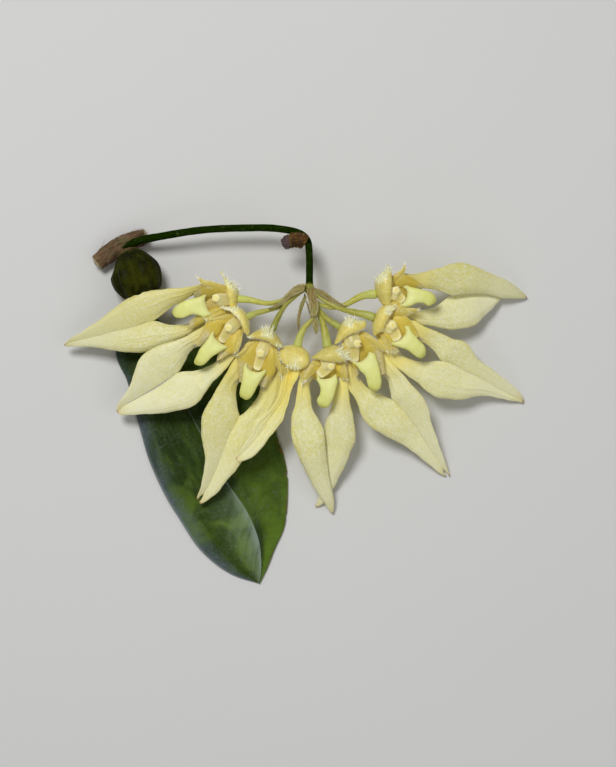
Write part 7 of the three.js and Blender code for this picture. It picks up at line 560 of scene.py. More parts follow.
def mat_petal():
    m = Mat("petal", rough=0.44, spec=0.40, sss=0.30, radius=(1.0, 0.85, 0.45), scale=0.0002)
    through(m, (1.0, 0.82, 0.24), 0.045)
    t, v = m.attr("u"), m.attr("v")
    base = m.mix(m.remap(t, 0.1, 0.9), (0.520, 0.410, 0.060), (0.600, 0.510, 0.125))
    base = m.mix(m.math("MULTIPLY", m.attr("gold"), 0.8), base, (0.570, 0.435, 0.065))
    base = m.mix(m.remap(v, 0.12, 0.0, 0, 0.6), base, (0.90, 0.82, 0.42))
    base = m.mix(m.math("MULTIPLY", grown(m, 5, 0.2), 0.10), base, (0.62, 0.46, 0.12))
    base = m.mix(m.math("MULTIPLY", m.remap(m.noise(1500, 3), 0.5, 0.7), 0.35), base, (0.84, 0.76, 0.34))
    h = m.math("SUBTRACT", m.math("MULTIPLY", m.noise(3600, 2), 0.5), m.math("MULTIPLY", grown(m, 5, 0.25), 0.2))
    return m.set(base, 0.44, m.bump(h, 0.00007, 0.6))


def mat_cheek():
    m = Mat("cheek", rough=0.42, spec=0.42, sss=0.35, radius=(1.0, 0.8, 0.4), scale=0.0003)
    through(m, (1.0, 0.78, 0.16), 0.045)
    t, v, pale = m.attr("u"), m.attr("v"), m.attr("pale")
    grain = m.noise(2000, 4, 0.7)
    base = m.mix(m.remap(t, 0.0, 0.6), (0.695, 0.555, 0.075), (0.640, 0.500, 0.052))
    base = m.mix(m.math("MULTIPLY", m.attr("gold"), 0.70), base, (0.610, 0.455, 0.060))
    base = m.mix(m.remap(v, 0.10, 0.0, 0, 0.6), base, (0.88, 0.78, 0.32))
    base = m.mix(m.math("MULTIPLY", m.remap(grain, 0.50, 0.68), 0.30), base, (0.78, 0.66, 0.20))
    base = m.mix(m.math("MULTIPLY", grown(m, 11, 0.2), 0.14), base, (0.52, 0.37, 0.06))
    grey = m.mix(m.remap(grain, 0.38, 0.66), (0.560, 0.505, 0.265), (0.760, 0.720, 0.480))
    base = m.mix(m.math("MULTIPLY", pale, 0.85), base, grey)
    lum = m.attr("lum")
    base = m.mix(1.0, base, m.vec(lum, lum, lum), "MULTIPLY")
    h = m.math("ADD", m.math("MULTIPLY", grain, 0.8), m.math("MULTIPLY", m.noise(700, 2), 0.5))
    return m.set(base, m.remap(grain, 0.4, 0.65, 0.50, 0.32), m.bump(h, 0.00012, 0.7))


def mat_lip():
    m = Mat("lip", rough=0.5, spec=0.32, sss=0.35, radius=(1.0, 0.95, 0.35), scale=0.0012)
    t, v = m.attr("u"), m.attr("v")
    base = m.mix(m.remap(t, 0.1, 0.75), (0.82, 0.84, 0.335), (0.80, 0.82, 0.270))
    base = m.mix(m.remap(t, 0.68, 1.0, 0, 0.75), base, (0.66, 0.665, 0.115))
    # painted shade: darker towards both edges, as on a rounded edge turned from the light
    base = m.mix(m.remap(m.math("ABSOLUTE", m.math("SUBTRACT", v, 0.5)), 0.33, 0.5, 0, 0.6), base, (0.70, 0.70, 0.160))
    base = m.mix(m.math("MULTIPLY", m.remap(m.noise(700, 3), 0.45, 0.65), 0.25), base, (0.88, 0.89, 0.42))
    # painted highlight: paler near the base of the lip, by the lobes
    base = m.mix(m.remap(t, 0.10, 0.0, 0, 0.35), base, (0.88, 0.88, 0.50))
    return m.set(base, m.remap(m.noise(1400, 2), 0.3, 0.7, 0.44, 0.56), m.bump(m.noise(2500, 3), 0.00007, 0.5))


def mat_column():
    m = Mat("column", rough=0.46, spec=0.40, sss=0.6, radius=(1.0, 0.88, 0.5), scale=0.0009)
    through(m, (1.0, 0.86, 0.36), 0.075)
    # painted light: the sides of the column and foot glow more and are painted paler, standing for light passing
    # through the translucent column
    m.put(m.b.inputs["Emission Strength"], m.remap(m.attr("seam"), 0.35, 1.0, 0.075, 0.15))
    base = m.mix(m.remap(m.attr("u"), 0.1, 0.9), (0.660, 0.570, 0.145), (0.680, 0.605, 0.190))
    base = m.mix(m.math("MULTIPLY", m.remap(m.noise(900, 3), 0.4, 0.7), 0.35), base, (0.80, 0.72, 0.38))
    # painted light: paler sides of the tubes
    base = m.mix(m.remap(m.attr("seam"), 0.35, 1.0, 0, 0.70), base, (0.89, 0.81, 0.42))
    # pale: paler body near the anther, and at the end of the foot a painted highlight
    base = m.mix(m.math("MULTIPLY", m.attr("pale"), 0.9), base, (0.92, 0.88, 0.68))
    base = m.mix(m.math("MULTIPLY", m.attr("gold"), 0.9), base, (0.62, 0.46, 0.11))
    lum = m.attr("lum")
    base = m.mix(1.0, base, m.vec(lum, lum, lum), "MULTIPLY")
    return m.set(base, m.remap(m.noise(1300, 2), 0.4, 0.6, 0.34, 0.46), m.bump(m.noise(3000, 2), 0.00004, 0.4))


def mat_anther():
    m = Mat("anther", rough=0.4, spec=0.45, sss=0.2, radius=(1.0, 0.8, 0.4), scale=0.0003)
    r = m.attr("v")
    base = m.mix(m.remap(r, 0.10, 0.5), (0.99, 0.80, 0.24), (0.99, 0.88, 0.38))
    base = m.mix(m.remap(r, 0.55, 0.95, 0, 0.85), base, (0.97, 0.90, 0.50))
    base = m.mix(m.math("MULTIPLY", m.attr("tint"), 1.0), base, (0.36, 0.11, 0.05))
    return m.set(base, m.remap(m.noise(3500, 2), 0.4, 0.6, 0.38, 0.5), m.bump(m.noise(3500, 3), 0.00007, 0.6))


def mat_stem():
    m = Mat("stem", rough=0.44, spec=0.30, sss=0.1, radius=(0.8, 1.0, 0.3), scale=0.0007)
    g = m.attr("gold")        # 0 dark scape .. 1 pedicel by the flower
    n = m.noise(700, 3)
    streak = m.noise(1.0, 3, 0.6, m.vec(m.math("MULTIPLY", m.attr("across"), 0.7), m.math("MULTIPLY", m.attr("v"), 22.0), g))
    dark = m.mix(m.remap(streak, 0.35, 0.7), (0.004, 0.013, 0.0002), (0.014, 0.032, 0.0010))
    dark = m.mix(m.math("MULTIPLY", m.remap(m.noise(1900, 2), 0.63, 0.70), 0.35), dark, (0.12, 0.16, 0.06))
    ped = m.mix(m.remap(streak, 0.35, 0.68), (0.36, 0.350, 0.055), (0.54, 0.520, 0.130))
    ped = m.mix(m.remap(g, 0.72, 1.0, 0, 0.75), ped, (0.50, 0.55, 0.165))
    ped = m.mix(m.math("MULTIPLY", m.remap(n, 0.55, 0.7), 0.3), ped, (0.62, 0.60, 0.26))
    # lum: painted light and shade on the stalks; where it is low, blue falls faster so shaded stalks turn a deeper
    # green
    lum = m.attr("lum")
    base = m.mix(m.remap(g, 0.10, 0.36), dark, m.mix(1.0, ped, m.vec(lum, lum, m.math("MULTIPLY", m.math("MULTIPLY", lum, m.math("MINIMUM", lum, 1.0)), 0.85)), "MULTIPLY"))
    h = m.math("ADD", streak, m.math("MULTIPLY", m.noise(3500, 2), 0.5))
    m.put(m.b.inputs["Specular IOR Level"], m.remap(g, 0.1, 0.4, 0.0, 0.50))
    return m.set(base, m.remap(n, 0.3, 0.7, 0.28, 0.42), m.bump(h, 0.00006, 0.7))


def mat_bract():
    m = Mat("bract", rough=0.60, spec=0.25, sss=0.0)
    t, v = m.attr("u"), m.attr("v")
    n = m.noise(600, 4, 0.6)
    streak = m.noise(1.0, 4, 0.7, m.vec(m.math("MULTIPLY", m.attr("across"), 0.45), m.math("MULTIPLY", v, 15.0), m.attr("gold")), 0.3)
    base = m.mix(m.remap(streak, 0.36, 0.62), (0.22, 0.150, 0.048), (0.74, 0.690, 0.300))
    base = m.mix(m.math("MULTIPLY", m.remap(n, 0.42, 0.60), 0.50), base, (0.34, 0.37, 0.070))
    base = m.mix(m.math("MULTIPLY", m.attr("tint"), m.remap(streak, 0.64, 0.40, 0.45, 1.0)), base, (0.240, 0.115, 0.024))
    rib = m.remap(m.math("ABSOLUTE", m.math("SUBTRACT", v, 0.56)), 0.20, 0.06)
    base = m.mix(m.math("MULTIPLY", m.math("MULTIPLY", m.attr("tint"), rib), 0.70), base, (0.300, 0.300, 0.060))
    base = m.mix(m.math("MULTIPLY", m.remap(m.noise(1300, 3), 0.54, 0.66), 0.45), base, (0.340, 0.140, 0.100))
    edge = m.math("MULTIPLY", m.remap(m.math("ABSOLUTE", m.math("SUBTRACT", v, 0.5)), 0.30, 0.50), m.remap(n, 0.35, 0.6, 0.3, 1.0))
    base = m.mix(m.math("MULTIPLY", edge, 0.60), base, m.mix(m.remap(streak, 0.4, 0.6), (0.60, 0.54, 0.30), (0.90, 0.88, 0.66)))
    base = m.mix(m.math("MULTIPLY", grown(m, 7, 0.16), 0.45), base, (0.17, 0.100, 0.045))
    base = m.mix(m.remap(t, 0.9, 1.0, 0, 0.5), base, (0.26, 0.16, 0.08))
    # the dry sheath low on the flower stem: mauve at the torn end, folded and brown near the stem; the brown part
    # carries blotches of painted light and painted shade for its crumples, and a painted highlight along the fold
    far = m.math("ADD", t, m.math("MULTIPLY", m.math("SUBTRACT", m.noise(620, 2), 0.5), 0.50))
    dull = m.mix(m.remap(streak, 0.40, 0.65), (0.075, 0.044, 0.040), (0.150, 0.108, 0.102))
    brown = m.mix(m.remap(streak, 0.42, 0.66), (0.040, 0.017, 0.001), (0.175, 0.078, 0.010))
    # painted light and painted shade in blotches, standing for the crumples
    brown = m.mix(m.math("MULTIPLY", m.remap(m.noise(420, 3), 0.50, 0.62), 0.80), brown, (0.330, 0.170, 0.034))
    brown = m.mix(m.math("MULTIPLY", m.remap(m.noise(420, 3), 0.46, 0.34), 0.65), brown, (0.022, 0.009, 0.001))
    # painted highlight: a lighter band along the fold edge
    brown = m.mix(m.math("MULTIPLY", m.math("MULTIPLY", m.remap(far, 0.28, 0.36), m.remap(far, 0.48, 0.38)), 0.55), brown, (0.200, 0.125, 0.030))
    base = m.mix(m.attr("deep"), base, m.mix(m.remap(far, 0.25, 0.34), dull, brown))
    h = m.math("SUBTRACT", m.math("ADD", n, streak), m.math("MULTIPLY", grown(m, 7, 0.25), 0.6))
    return m.set(base, 0.60, m.bump(h, 0.00016, 0.8))


def mat_leaf():
    m = Mat("leaf", rough=0.55, spec=0.08, coat=0.0, coat_rough=0.35, sss=0.0)
    t, v, along = m.attr("u"), m.attr("v"), m.attr("across")
    blot = m.noise(115, 4, 0.55, None, 0.4)
    soft = m.noise(1.0, 3, 0.55, m.vec(m.math("MULTIPLY", along, 0.10), m.math("MULTIPLY", v, 7.0), 3.0))
    fine = m.noise(1.0, 4, 0.6, m.vec(m.math("MULTIPLY", along, 0.22), m.math("MULTIPLY", v, 26.0), 0.0))
    low = m.remap(t, 0.42, 0.85)
    base = m.mix(m.remap(fine, 0.3, 0.7), (0.005, 0.013, 0.0005), (0.013, 0.030, 0.0014))
    base = m.mix(m.math("MULTIPLY", m.remap(v, 0.54, 0.74, 0.25, 0.85), m.remap(low, 0, 1, 0.35, 1.0)), base, (0.100, 0.172, 0.014))
    base = m.mix(m.math("MULTIPLY", m.remap(blot, 0.46, 0.62), m.remap(t, 0.44, 0.88, 0.10, 0.78)), base, (0.130, 0.215, 0.024))
    base = m.mix(m.math("MULTIPLY", m.remap(soft, 0.50, 0.66), 0.30), base, (0.085, 0.150, 0.020))
    base = m.mix(m.math("MULTIPLY", m.remap(blot, 0.48, 0.34), 0.45), base, (0.012, 0.030, 0.002))
    dim = m.math("MULTIPLY", m.remap(v, 0.50, 0.53), m.remap(v, 0.66, 0.54))
    base = m.mix(m.math("MULTIPLY", dim, m.remap(t, 0.55, 0.85, 0.15, 0.50)), base, (0.022, 0.034, 0.018))
    # pale waxy dust, and painted sheen where the light catches the bloom, gathered along the left margin and, low down,
    # beside the midrib
    speck = m.remap(m.noise(1900, 4, 0.7), 0.44, 0.66)
    drift = m.noise(300, 3, 0.6)
    base = m.mix(m.math("MULTIPLY", speck, m.remap(drift, 0.40, 0.65, 0.04, 0.28)), base, (0.150, 0.190, 0.150))
    lf = m.math("MULTIPLY", m.remap(v, 0.17, 0.0), m.remap(drift, 0.30, 0.62, 0.45, 1.0))
    lf = m.math("MULTIPLY", lf, m.math("ADD", 0.65, m.math("MULTIPLY", speck, 0.35)))
    base = m.mix(m.math("MULTIPLY", lf, m.remap(t, 0.10, 0.40, 0.20, 0.80)), base, (0.120, 0.145, 0.190))
    base = m.mix(m.math("MULTIPLY", m.remap(v, 0.028, 0.004), m.remap(t, 0.35, 0.60, 0.10, 0.65)), base, (0.240, 0.270, 0.330))
    # painted sheen on the bloom beside the midrib, low on the leaf
    fan = m.noise(1.0, 3, 0.6, m.vec(m.math("ADD", m.math("MULTIPLY", along, 0.55), m.math("MULTIPLY", v, 14.0)), m.math("MULTIPLY", v, 3.0), 8.0))
    near = m.math("MULTIPLY", m.remap(v, 0.16, 0.49), m.remap(v, 0.515, 0.498))
    near = m.math("MULTIPLY", near, m.remap(t, 0.60, 0.88, 0.0, 0.62))
    base = m.mix(m.math("MULTIPLY", near, m.remap(fan, 0.35, 0.62, 0.45, 1.0)), base, (0.235, 0.325, 0.195))
    by = m.math("MULTIPLY", m.math("MULTIPLY", m.remap(v, 0.42, 0.495), m.remap(v, 0.512, 0.498)), m.remap(t, 0.58, 0.86, 0.0, 0.45))
    base = m.mix(m.math("MULTIPLY", by, m.remap(fan, 0.35, 0.6, 0.55, 1.0)), base, (0.330, 0.390, 0.390))
    mid = m.remap(m.math("ABSOLUTE", m.math("SUBTRACT", v, 0.5)), 0.0, 0.011, 1.0, 0.0)
    base = m.mix(m.math("MULTIPLY", mid, m.remap(t, 0.25, 0.75, 0.18, 0.62)), base, (0.240, 0.290, 0.260))
    side = m.remap(m.math("ABSOLUTE", m.math("SUBTRACT", m.math("FRACT", m.math("MULTIPLY", v, 23.0)), 0.5)), 0.0, 0.18, 1.0, 0.0)
    base = m.mix(m.math("MULTIPLY", side, 0.05), base, (0.14, 0.18, 0.06))
    rust = m.math("MULTIPLY", m.remap(v, 0.968, 0.995), m.remap(m.noise(700, 3), 0.50, 0.60))
    base = m.mix(m.math("MULTIPLY", rust, 0.9), base, (0.20, 0.085, 0.025))
    base = m.mix(m.math("MULTIPLY", m.remap(v, 0.985, 1.0), 0.45), base, (0.26, 0.28, 0.08))
    base = m.mix(m.math("MULTIPLY", m.remap(v, 0.016, 0.0), 0.5), base, (0.30, 0.33, 0.25))
    base = m.mix(m.attr("gold"), base, (0.085, 0.12, 0.032))
    h = m.math("ADD", m.math("MULTIPLY", fine, 0.6), m.math("ADD", m.math("MULTIPLY", m.noise(1500, 3), 0.45), m.math("MULTIPLY", m.noise(260, 2), 0.8)))
    return m.set(base, m.remap(blot, 0.35, 0.65, 0.56, 0.42), m.bump(h, 0.00012, 0.6))


def mat_bulb():
    m = Mat("bulb", rough=0.42, spec=0.05)
    n = m.noise(330, 4, 0.6)
    base = m.mix(m.remap(n, 0.35, 0.65), (0.008, 0.010, 0.0003), (0.034, 0.037, 0.0010))
    base = m.mix(m.math("MULTIPLY", m.remap(m.noise(1300, 3), 0.60, 0.70), 0.25), base, (0.10, 0.095, 0.02))
    base = m.mix(m.math("MULTIPLY", m.attr("gold"), m.remap(n, 0.25, 0.6)), base, (0.17, 0.105, 0.045))
    h = m.math("ADD", n, m.math("MULTIPLY", m.noise(2600, 3), 0.4))
    return m.set(base, m.remap(n, 0.3, 0.7, 0.45, 0.60), m.bump(h, 0.00018, 0.7))


def mat_rhizome():
    m = Mat("rhizome", rough=0.75, spec=0.25)
    streak = m.noise(1.0, 4, 0.65, m.vec(m.math("MULTIPLY", m.attr("across"), 0.6), m.math("MULTIPLY", m.attr("v"), 26.0), 0.0))
    base = m.mix(m.remap(streak, 0.32, 0.68), (0.075, 0.040, 0.018), (0.26, 0.165, 0.085))
    base = m.mix(m.math("MULTIPLY", m.remap(m.noise(500, 3), 0.5, 0.65), 0.5), base, (0.10, 0.11, 0.035))
    base = m.mix(m.attr("pale"), base, (0.48, 0.40, 0.25))
    h = m.math("ADD", streak, m.math("MULTIPLY", m.noise(1800, 3), 0.5))
    return m.set(base, 0.75, m.bump(h, 0.00035, 0.9))


# neck gold of each flower; the darker gold of f1 and f8 is partly their own colour, partly painted shade
SEPAL = {f: mat_sepal("sepal_" + f, w) for f, w in {
    "f1": (0.620, 0.510, 0.115), "f2": (0.720, 0.590, 0.130), "f3": (0.760, 0.620, 0.130), "f4": (0.83, 0.690, 0.150),
    "f5": (0.83, 0.690, 0.160), "f6": (0.84, 0.70, 0.170), "f7": (0.80, 0.66, 0.150), "f8": (0.600, 0.500, 0.115)}.items()}
TONE = {"f1a": (-.5, .93), "f1b": (-.1, .90), "f2a": (.5, .99), "f2b": (.7, 1.0), "f3a": (-.2, .93), "f3b": (-.25, 1.01), "f4a": (-.3, 1.05), "f4b": (-.3, 1.05),
        "f5a": (0, 1.0), "f5b": (.3, 1.0), "f6a": (.1, 1.0), "f6b": (.6, 1.02), "f7a": (.2, .98), "f7b": (.5, 1.01), "f8a": (-.1, .89), "f8b": (.4, .98)}
# NECK: painted light and shade on each blade's neck: above 1 brightens a neck darkened by the shade of the lip and
# column, below 1 darkens it as in shade
NECK = {"f1b": 1.15, "f5b": 1.20, "f6b": 1.17, "f7b": 1.15, "f7a": 1.10, "f5a": 1.10, "f3a": 1.12, "f4a": 1.07, "f4b": 1.07, "f1a": 0.88, "f8a": 0.87, "f8b": 0.87}
HOOD, HAIR, PETAL, CHEEK, LIP, COLUMN, ANTHER = mat_hood(), mat_hair(), mat_petal(), mat_cheek(), mat_lip(), mat_column(), mat_anther()
STEMM, BRACT, LEAFM, BULBM, RHIZ = mat_stem(), mat_bract(), mat_leaf(), mat_bulb(), mat_rhizome()
FL = ["f1", "f2", "f3", "f4", "f5", "f6", "f7", "f8"]


# ------------------------------------------------------------------ lateral sepals
def sepal(part, key, seed):
    d = SEPALS[key]
    rows = refine(d["rows"], 132)
    n, m = len(rows), 37
    A, B = rows[:, :3], rows[:, 3:6]
    # keep the refined outlines smooth
    t = np.linspace(0, 1, n)
    s = np.linspace(0, 1, m)
    s = 0.5 - 0.5 * np.cos(np.pi * s) * (0.55 + 0.45 * np.abs(np.cos(np.pi * s)))   # closer rows at the margins
    tc = d["tc"]
    fused = tc > 0
    w = np.linalg.norm((A - B)[:, :2], axis=1)
    sc, te = np.full((n, 1), 2.0), 0.0
    if key in CREASES:
        ts, ss = [], []
        cx = A[:, None, :2] * (1 - s[None, :, None]) + B[:, None, :2] * s[None, :, None]
        for q in CREASES[key]:
            k = np.linalg.norm(cx[:60] - np.array(q), axis=2).argmin()
            ts.append(t[k // m])
            ss.append(s[k % m])
        o = np.argsort(ts)
        ts, ss = np.array(ts)[o], np.array(ss)[o]
        te = ts[-1]
        ss[-1] = 1.02
        sc = np.interp(t, np.r_[0, ts], np.r_[max(ss[0] - 0.25, 0.05), ss], right=2.0)[:, None]
    crown = np.minimum(1.05, 0.19 * w) * (0.80 + 0.20 * sm(t, 0.0, 0.18))
    W = (sm(t, tc - 0.05, tc + 0.16) if fused else np.zeros(n))[:, None]
    S = s[None, :]
    T = t[:, None]
    peak = 0.42
    rise = 1 - (1 - np.minimum(S / 0.36, 1)) ** 2.6
    fall = 1 - (1 - np.minimum((1 - S) / 0.36, 1)) ** 2.6
    dome = rise * fall * (1 - 0.10 * (2 * S - 1) ** 2)
    seam = rise * (1 - (0.95 if key[:2] == "f2" else 0.55) * np.clip((S - peak) / (1 - peak), 0, 1) ** 1.9)
    prof = dome * (1 - W) + seam * W
    Z = A[:, None, 2] * (1 - S) + B[:, None, 2] * S + crown[:, None] * prof
    X = A[:, None, 0] * (1 - S) + B[:, None, 0] * S
    Y = A[:, None, 1] * (1 - S) + B[:, None, 1] * S
    # the two blades of one flower lie together along the seam
    L = arclen((A + B) / 2)
    wide = w[:, None]
    # lengthwise veins, a slow waviness, the golden hollow beside the column, and the folds
    env = sm(T, 0.02, 0.2) * sm(1 - T, 0.0, 0.12) * np.minimum(wide / 5, 1)
    Z += 0.009 * env * np.cos(2 * np.pi * (8.0 * S + 0.6 * np.sin(3 * T + seed)))
    Z += 0.24 * env * waves(X * 0.13, Y * 0.13, seed, 6, 0.5, 1.1) * sm(prof, 0.0, 0.5)
    Z += 0.030 * env * waves(X, Y, seed + 50, 8, 0.30, 0.6) * sm(prof, 0.0, 0.5)
    cheek = sm(S - sc, 0.0, 0.09) * sm(T, 0.0, 0.04)
    Z -= 0.34 * cheek * sm(T, 0.03, 0.10)
    Z += 0.16 * np.exp(-((S - sc + 0.02) / 0.05) ** 2) * sm(T, 0.04, 0.10)
    Z -= 0.30 * sm(S, 0.80, 1.0) * sm(0.20 - T, 0.0, 0.10)
    for c, hw, h, t0, t1 in RIDGES.get(key, []):
        c2 = c + 0.03 * np.sin(9 * T + seed)
        Z += h * (0.8 if key[:2] == "f4" else 1.15) * np.exp(-((S - c2) / (hw * (1.5 if key[:2] == "f4" else 1.0))) ** 2) * sm(T, t0 - 0.05, t0 + 0.06) * sm(t1 + 0.08 - T, 0.0, 0.14)
    # thickened rim
    Z += 0.10 * np.exp(-((S - 0.045) / 0.03) ** 2) * env
    Z += 0.08 * np.exp(-((1 - S - 0.045) / 0.03) ** 2) * env * (1 - W)
    top = np.stack([X, Y, Z], 2)
    flip = turn(top)
    # irregular outline, a tenth of a millimetre
    out = (A - B) / (np.linalg.norm(A - B, axis=1, keepdims=True) + 1e-9)
    wob = 0.030 * (np.sin(L * 1.1 + seed) + np.sin(L * 2.0 + 2 * seed) + 0.4 * np.sin(L * 4.1 + 3 * seed)) * sm(t, 0.05, 0.2) * sm(1 - t, 0.0, 0.1)
    top[..., :2] += (out[:, None, :2] * (wob[:, None] * (1 - S) ** 3)[..., None])
    fork = {"f3a": (-0.08, 0.30), "f3b": (0.06, 0.0), "f6a": (-0.25, 0.20), "f6b": (0.06, 0.0)}.get(key)
    if fork:
        top[..., :2] += np.array(fork) * sm(T, 0.93, 1.0)[..., None]
        top[..., :2] += {"f3": 0.20, "f6": 0.34}.get(key[:2], 0.55) * (A - B)[:, None, :2] * (sm(T, 0.945, 0.985) * S ** 3)[..., None]
    thick = 0.24 + 0.30 * dome
    bot = top.copy()
    bot[..., 2] -= thick
    ins = 0.10 * (np.exp(-(S / 0.08) ** 2) - np.exp(-((1 - S) / 0.08) ** 2) * (1 - W))
    bot[..., :2] -= out[:, None, :2] * ins[..., None]
    gold = np.clip(1.25 - T / (0.50 if key[:2] == "f4" else 0.34), 0, 1) ** 1.15 * (0.85 + 0.15 * np.clip(S * 1.4, 0, 1)) + 0.30 * cheek
    # painted shade for the hollow beside the column, stronger towards the column side
    deep = cheek * (0.08 + 0.12 * sm(S, 0.75, 1.0))
    pale = np.zeros_like(X)
    # pale: the turned-down inner margin by the lip, grey-cream and partly painted shade
    p0, p1 = d["patch"]
    if p1 > 0:
        inside = sm(T, p0 - 0.03, p0 + 0.02) * sm(p1 + 0.03 - T, 0, 0.05)
        pale = inside * sm(S, 0.62, 0.86)
    if te > 0:
        pale = np.maximum(pale * 0.7, cheek * sm(T, te - 0.075, te - 0.025))
    F = shell_faces(n, m, flip)
    both = lambda q: np.r_[np.broadcast_to(q, X.shape).ravel(), np.broadcast_to(q, X.shape).ravel()]
    # lum: each blade's tone from TONE, times NECK's painted light and shade towards the neck
    part.add(np.vstack([top.reshape(-1, 3), bot.reshape(-1, 3)]), F, 0, u=both(T), v=both(S), across=both(L[:, None]),
             gold=both(np.clip(gold, 0, 1)), pale=both(pale), tint=(seed % 10) * 1.7, deep=both(deep), hue=TONE[key][0], lum=both(TONE[key][1] * (1 + (NECK.get(key, 1.0) - 1) * sm(0.34 - T, 0.0, 0.22))),
             # seam: strength of that painted shade line, by flower
             seam=both(W * np.exp(-((1 - S) / 0.035) ** 2) * {"f2": 1.0, "f8": 0.55, "f1": 0.35, "f6": 0.30, "f7": 0.30}.get(key[:2], 0.18)))


def dish(part, f):
    """The golden hollow that joins the two sepals below the column."""
    a = refine(SEPALS[f + "a"]["rows"], 132)[:, 3:6]
    b = refine(SEPALS[f + "b"]["rows"], 132)[:, 3:6]
    l0 = np.array(LIPS[f]["rows"][0])
    ia = np.linalg.norm(a[:60, :2] - l0[:2], axis=1).argmin()
    ib = np.linalg.norm(b[:60, :2] - l0[3:5], axis=1).argmin()
    n, m = 34, 17
    xa, xb = np.linspace(0, ia * 1.26, n), np.linspace(0, ib * 1.26, n)
    A = np.stack([np.interp(xa, np.arange(132), a[:, k]) for k in range(3)], 1)
    B = np.stack([np.interp(xb, np.arange(132), b[:, k]) for k in range(3)], 1)
    t = np.linspace(0, 1, n)[:, None]
    s = np.linspace(-0.07, 1.07, m)[None, :]
    g = A[:, None, :] * (1 - s[..., None]) + B[:, None, :] * s[..., None]
    g[..., 2] -= 0.30 + (0.30 * 4 * s * (1 - s)) * sm(t, 0.1, 0.5)
    bot = g.copy()
    bot[..., 2] -= 0.25
    both = lambda q: np.r_[np.broadcast_to(q, (n, m)).ravel(), np.broadcast_to(q, (n, m)).ravel()]
    # painted shade: the hollow is darkest in its middle, between the two sepals
    part.add(np.vstack([g.reshape(-1, 3), bot.reshape(-1, 3)]), shell_faces(n, m, turn(g)), 0, u=0.02, v=both(0.3 + 0.4 * s), across=both(t * 5),
             gold=1.0, deep=both(0.40 - 0.15 * np.abs(2 * s - 1)), tint=3.0, lum=0.9)


GREY = {"f1": (.70, .82), "f2": (.60, .62), "f3": (.58, .74), "f5": (.70, .80), "f6": (.80, .50), "f7": (.90, .75), "f8": (.75, .90)}


# GLOW: brightness of each flower's golden folds and hollow floor; the low values, for f1 and f8, are painted shade
GLOW = {"f1": 0.66, "f2": 0.97, "f3": 0.90, "f5": 1.06, "f6": 0.88, "f8": 0.79, "f7": 0.98}


def bed(part, f):
    """The floor of the hollow between the two folds, under the foot of the column."""
    (_, i1), (_, i2) = CHEEKS[f]
    n, m = 40, 17
    k = np.linspace(0, 0.76, n) * 59
    A, B = (np.stack([np.interp(k, np.arange(60), refine(q, 60)[:, c]) for c in (0, 1)], 1) for q in (i1, i2))
    zc = COLUMNS[f]["c"][2]
    t = np.linspace(0, 0.76, n)[:, None]
    s = np.linspace(-0.12, 1.12, m)[None, :]
    x = A[:, None, 0] * (1 - s) + B[:, None, 0] * s
    y = A[:, None, 1] * (1 - s) + B[:, None, 1] * s
    z = np.interp(t, [0, 0.35, 0.7, 1], [zc + 0.05, zc - 0.15, zc - 0.45, zc - 0.9]) - 0.22 * 4 * s * (1 - s) + 0.04 * waves(x, y, 77, 6, 0.3, 0.8)
    top = np.stack([x, y, z], 2)
    bot = top.copy()
    bot[..., 2] -= 0.25
    both = lambda q: np.r_[np.broadcast_to(q, (n, m)).ravel(), np.broadcast_to(q, (n, m)).ravel()]
    part.add(np.vstack([top.reshape(-1, 3), bot.reshape(-1, 3)]), shell_faces(n, m, turn(top)), 1, u=0.8, v=both(0.3 + 0.4 * s), across=both(t * 5), gold=0.85, tint=2.0, lum=0.95 * GLOW.get(f, 1.0))


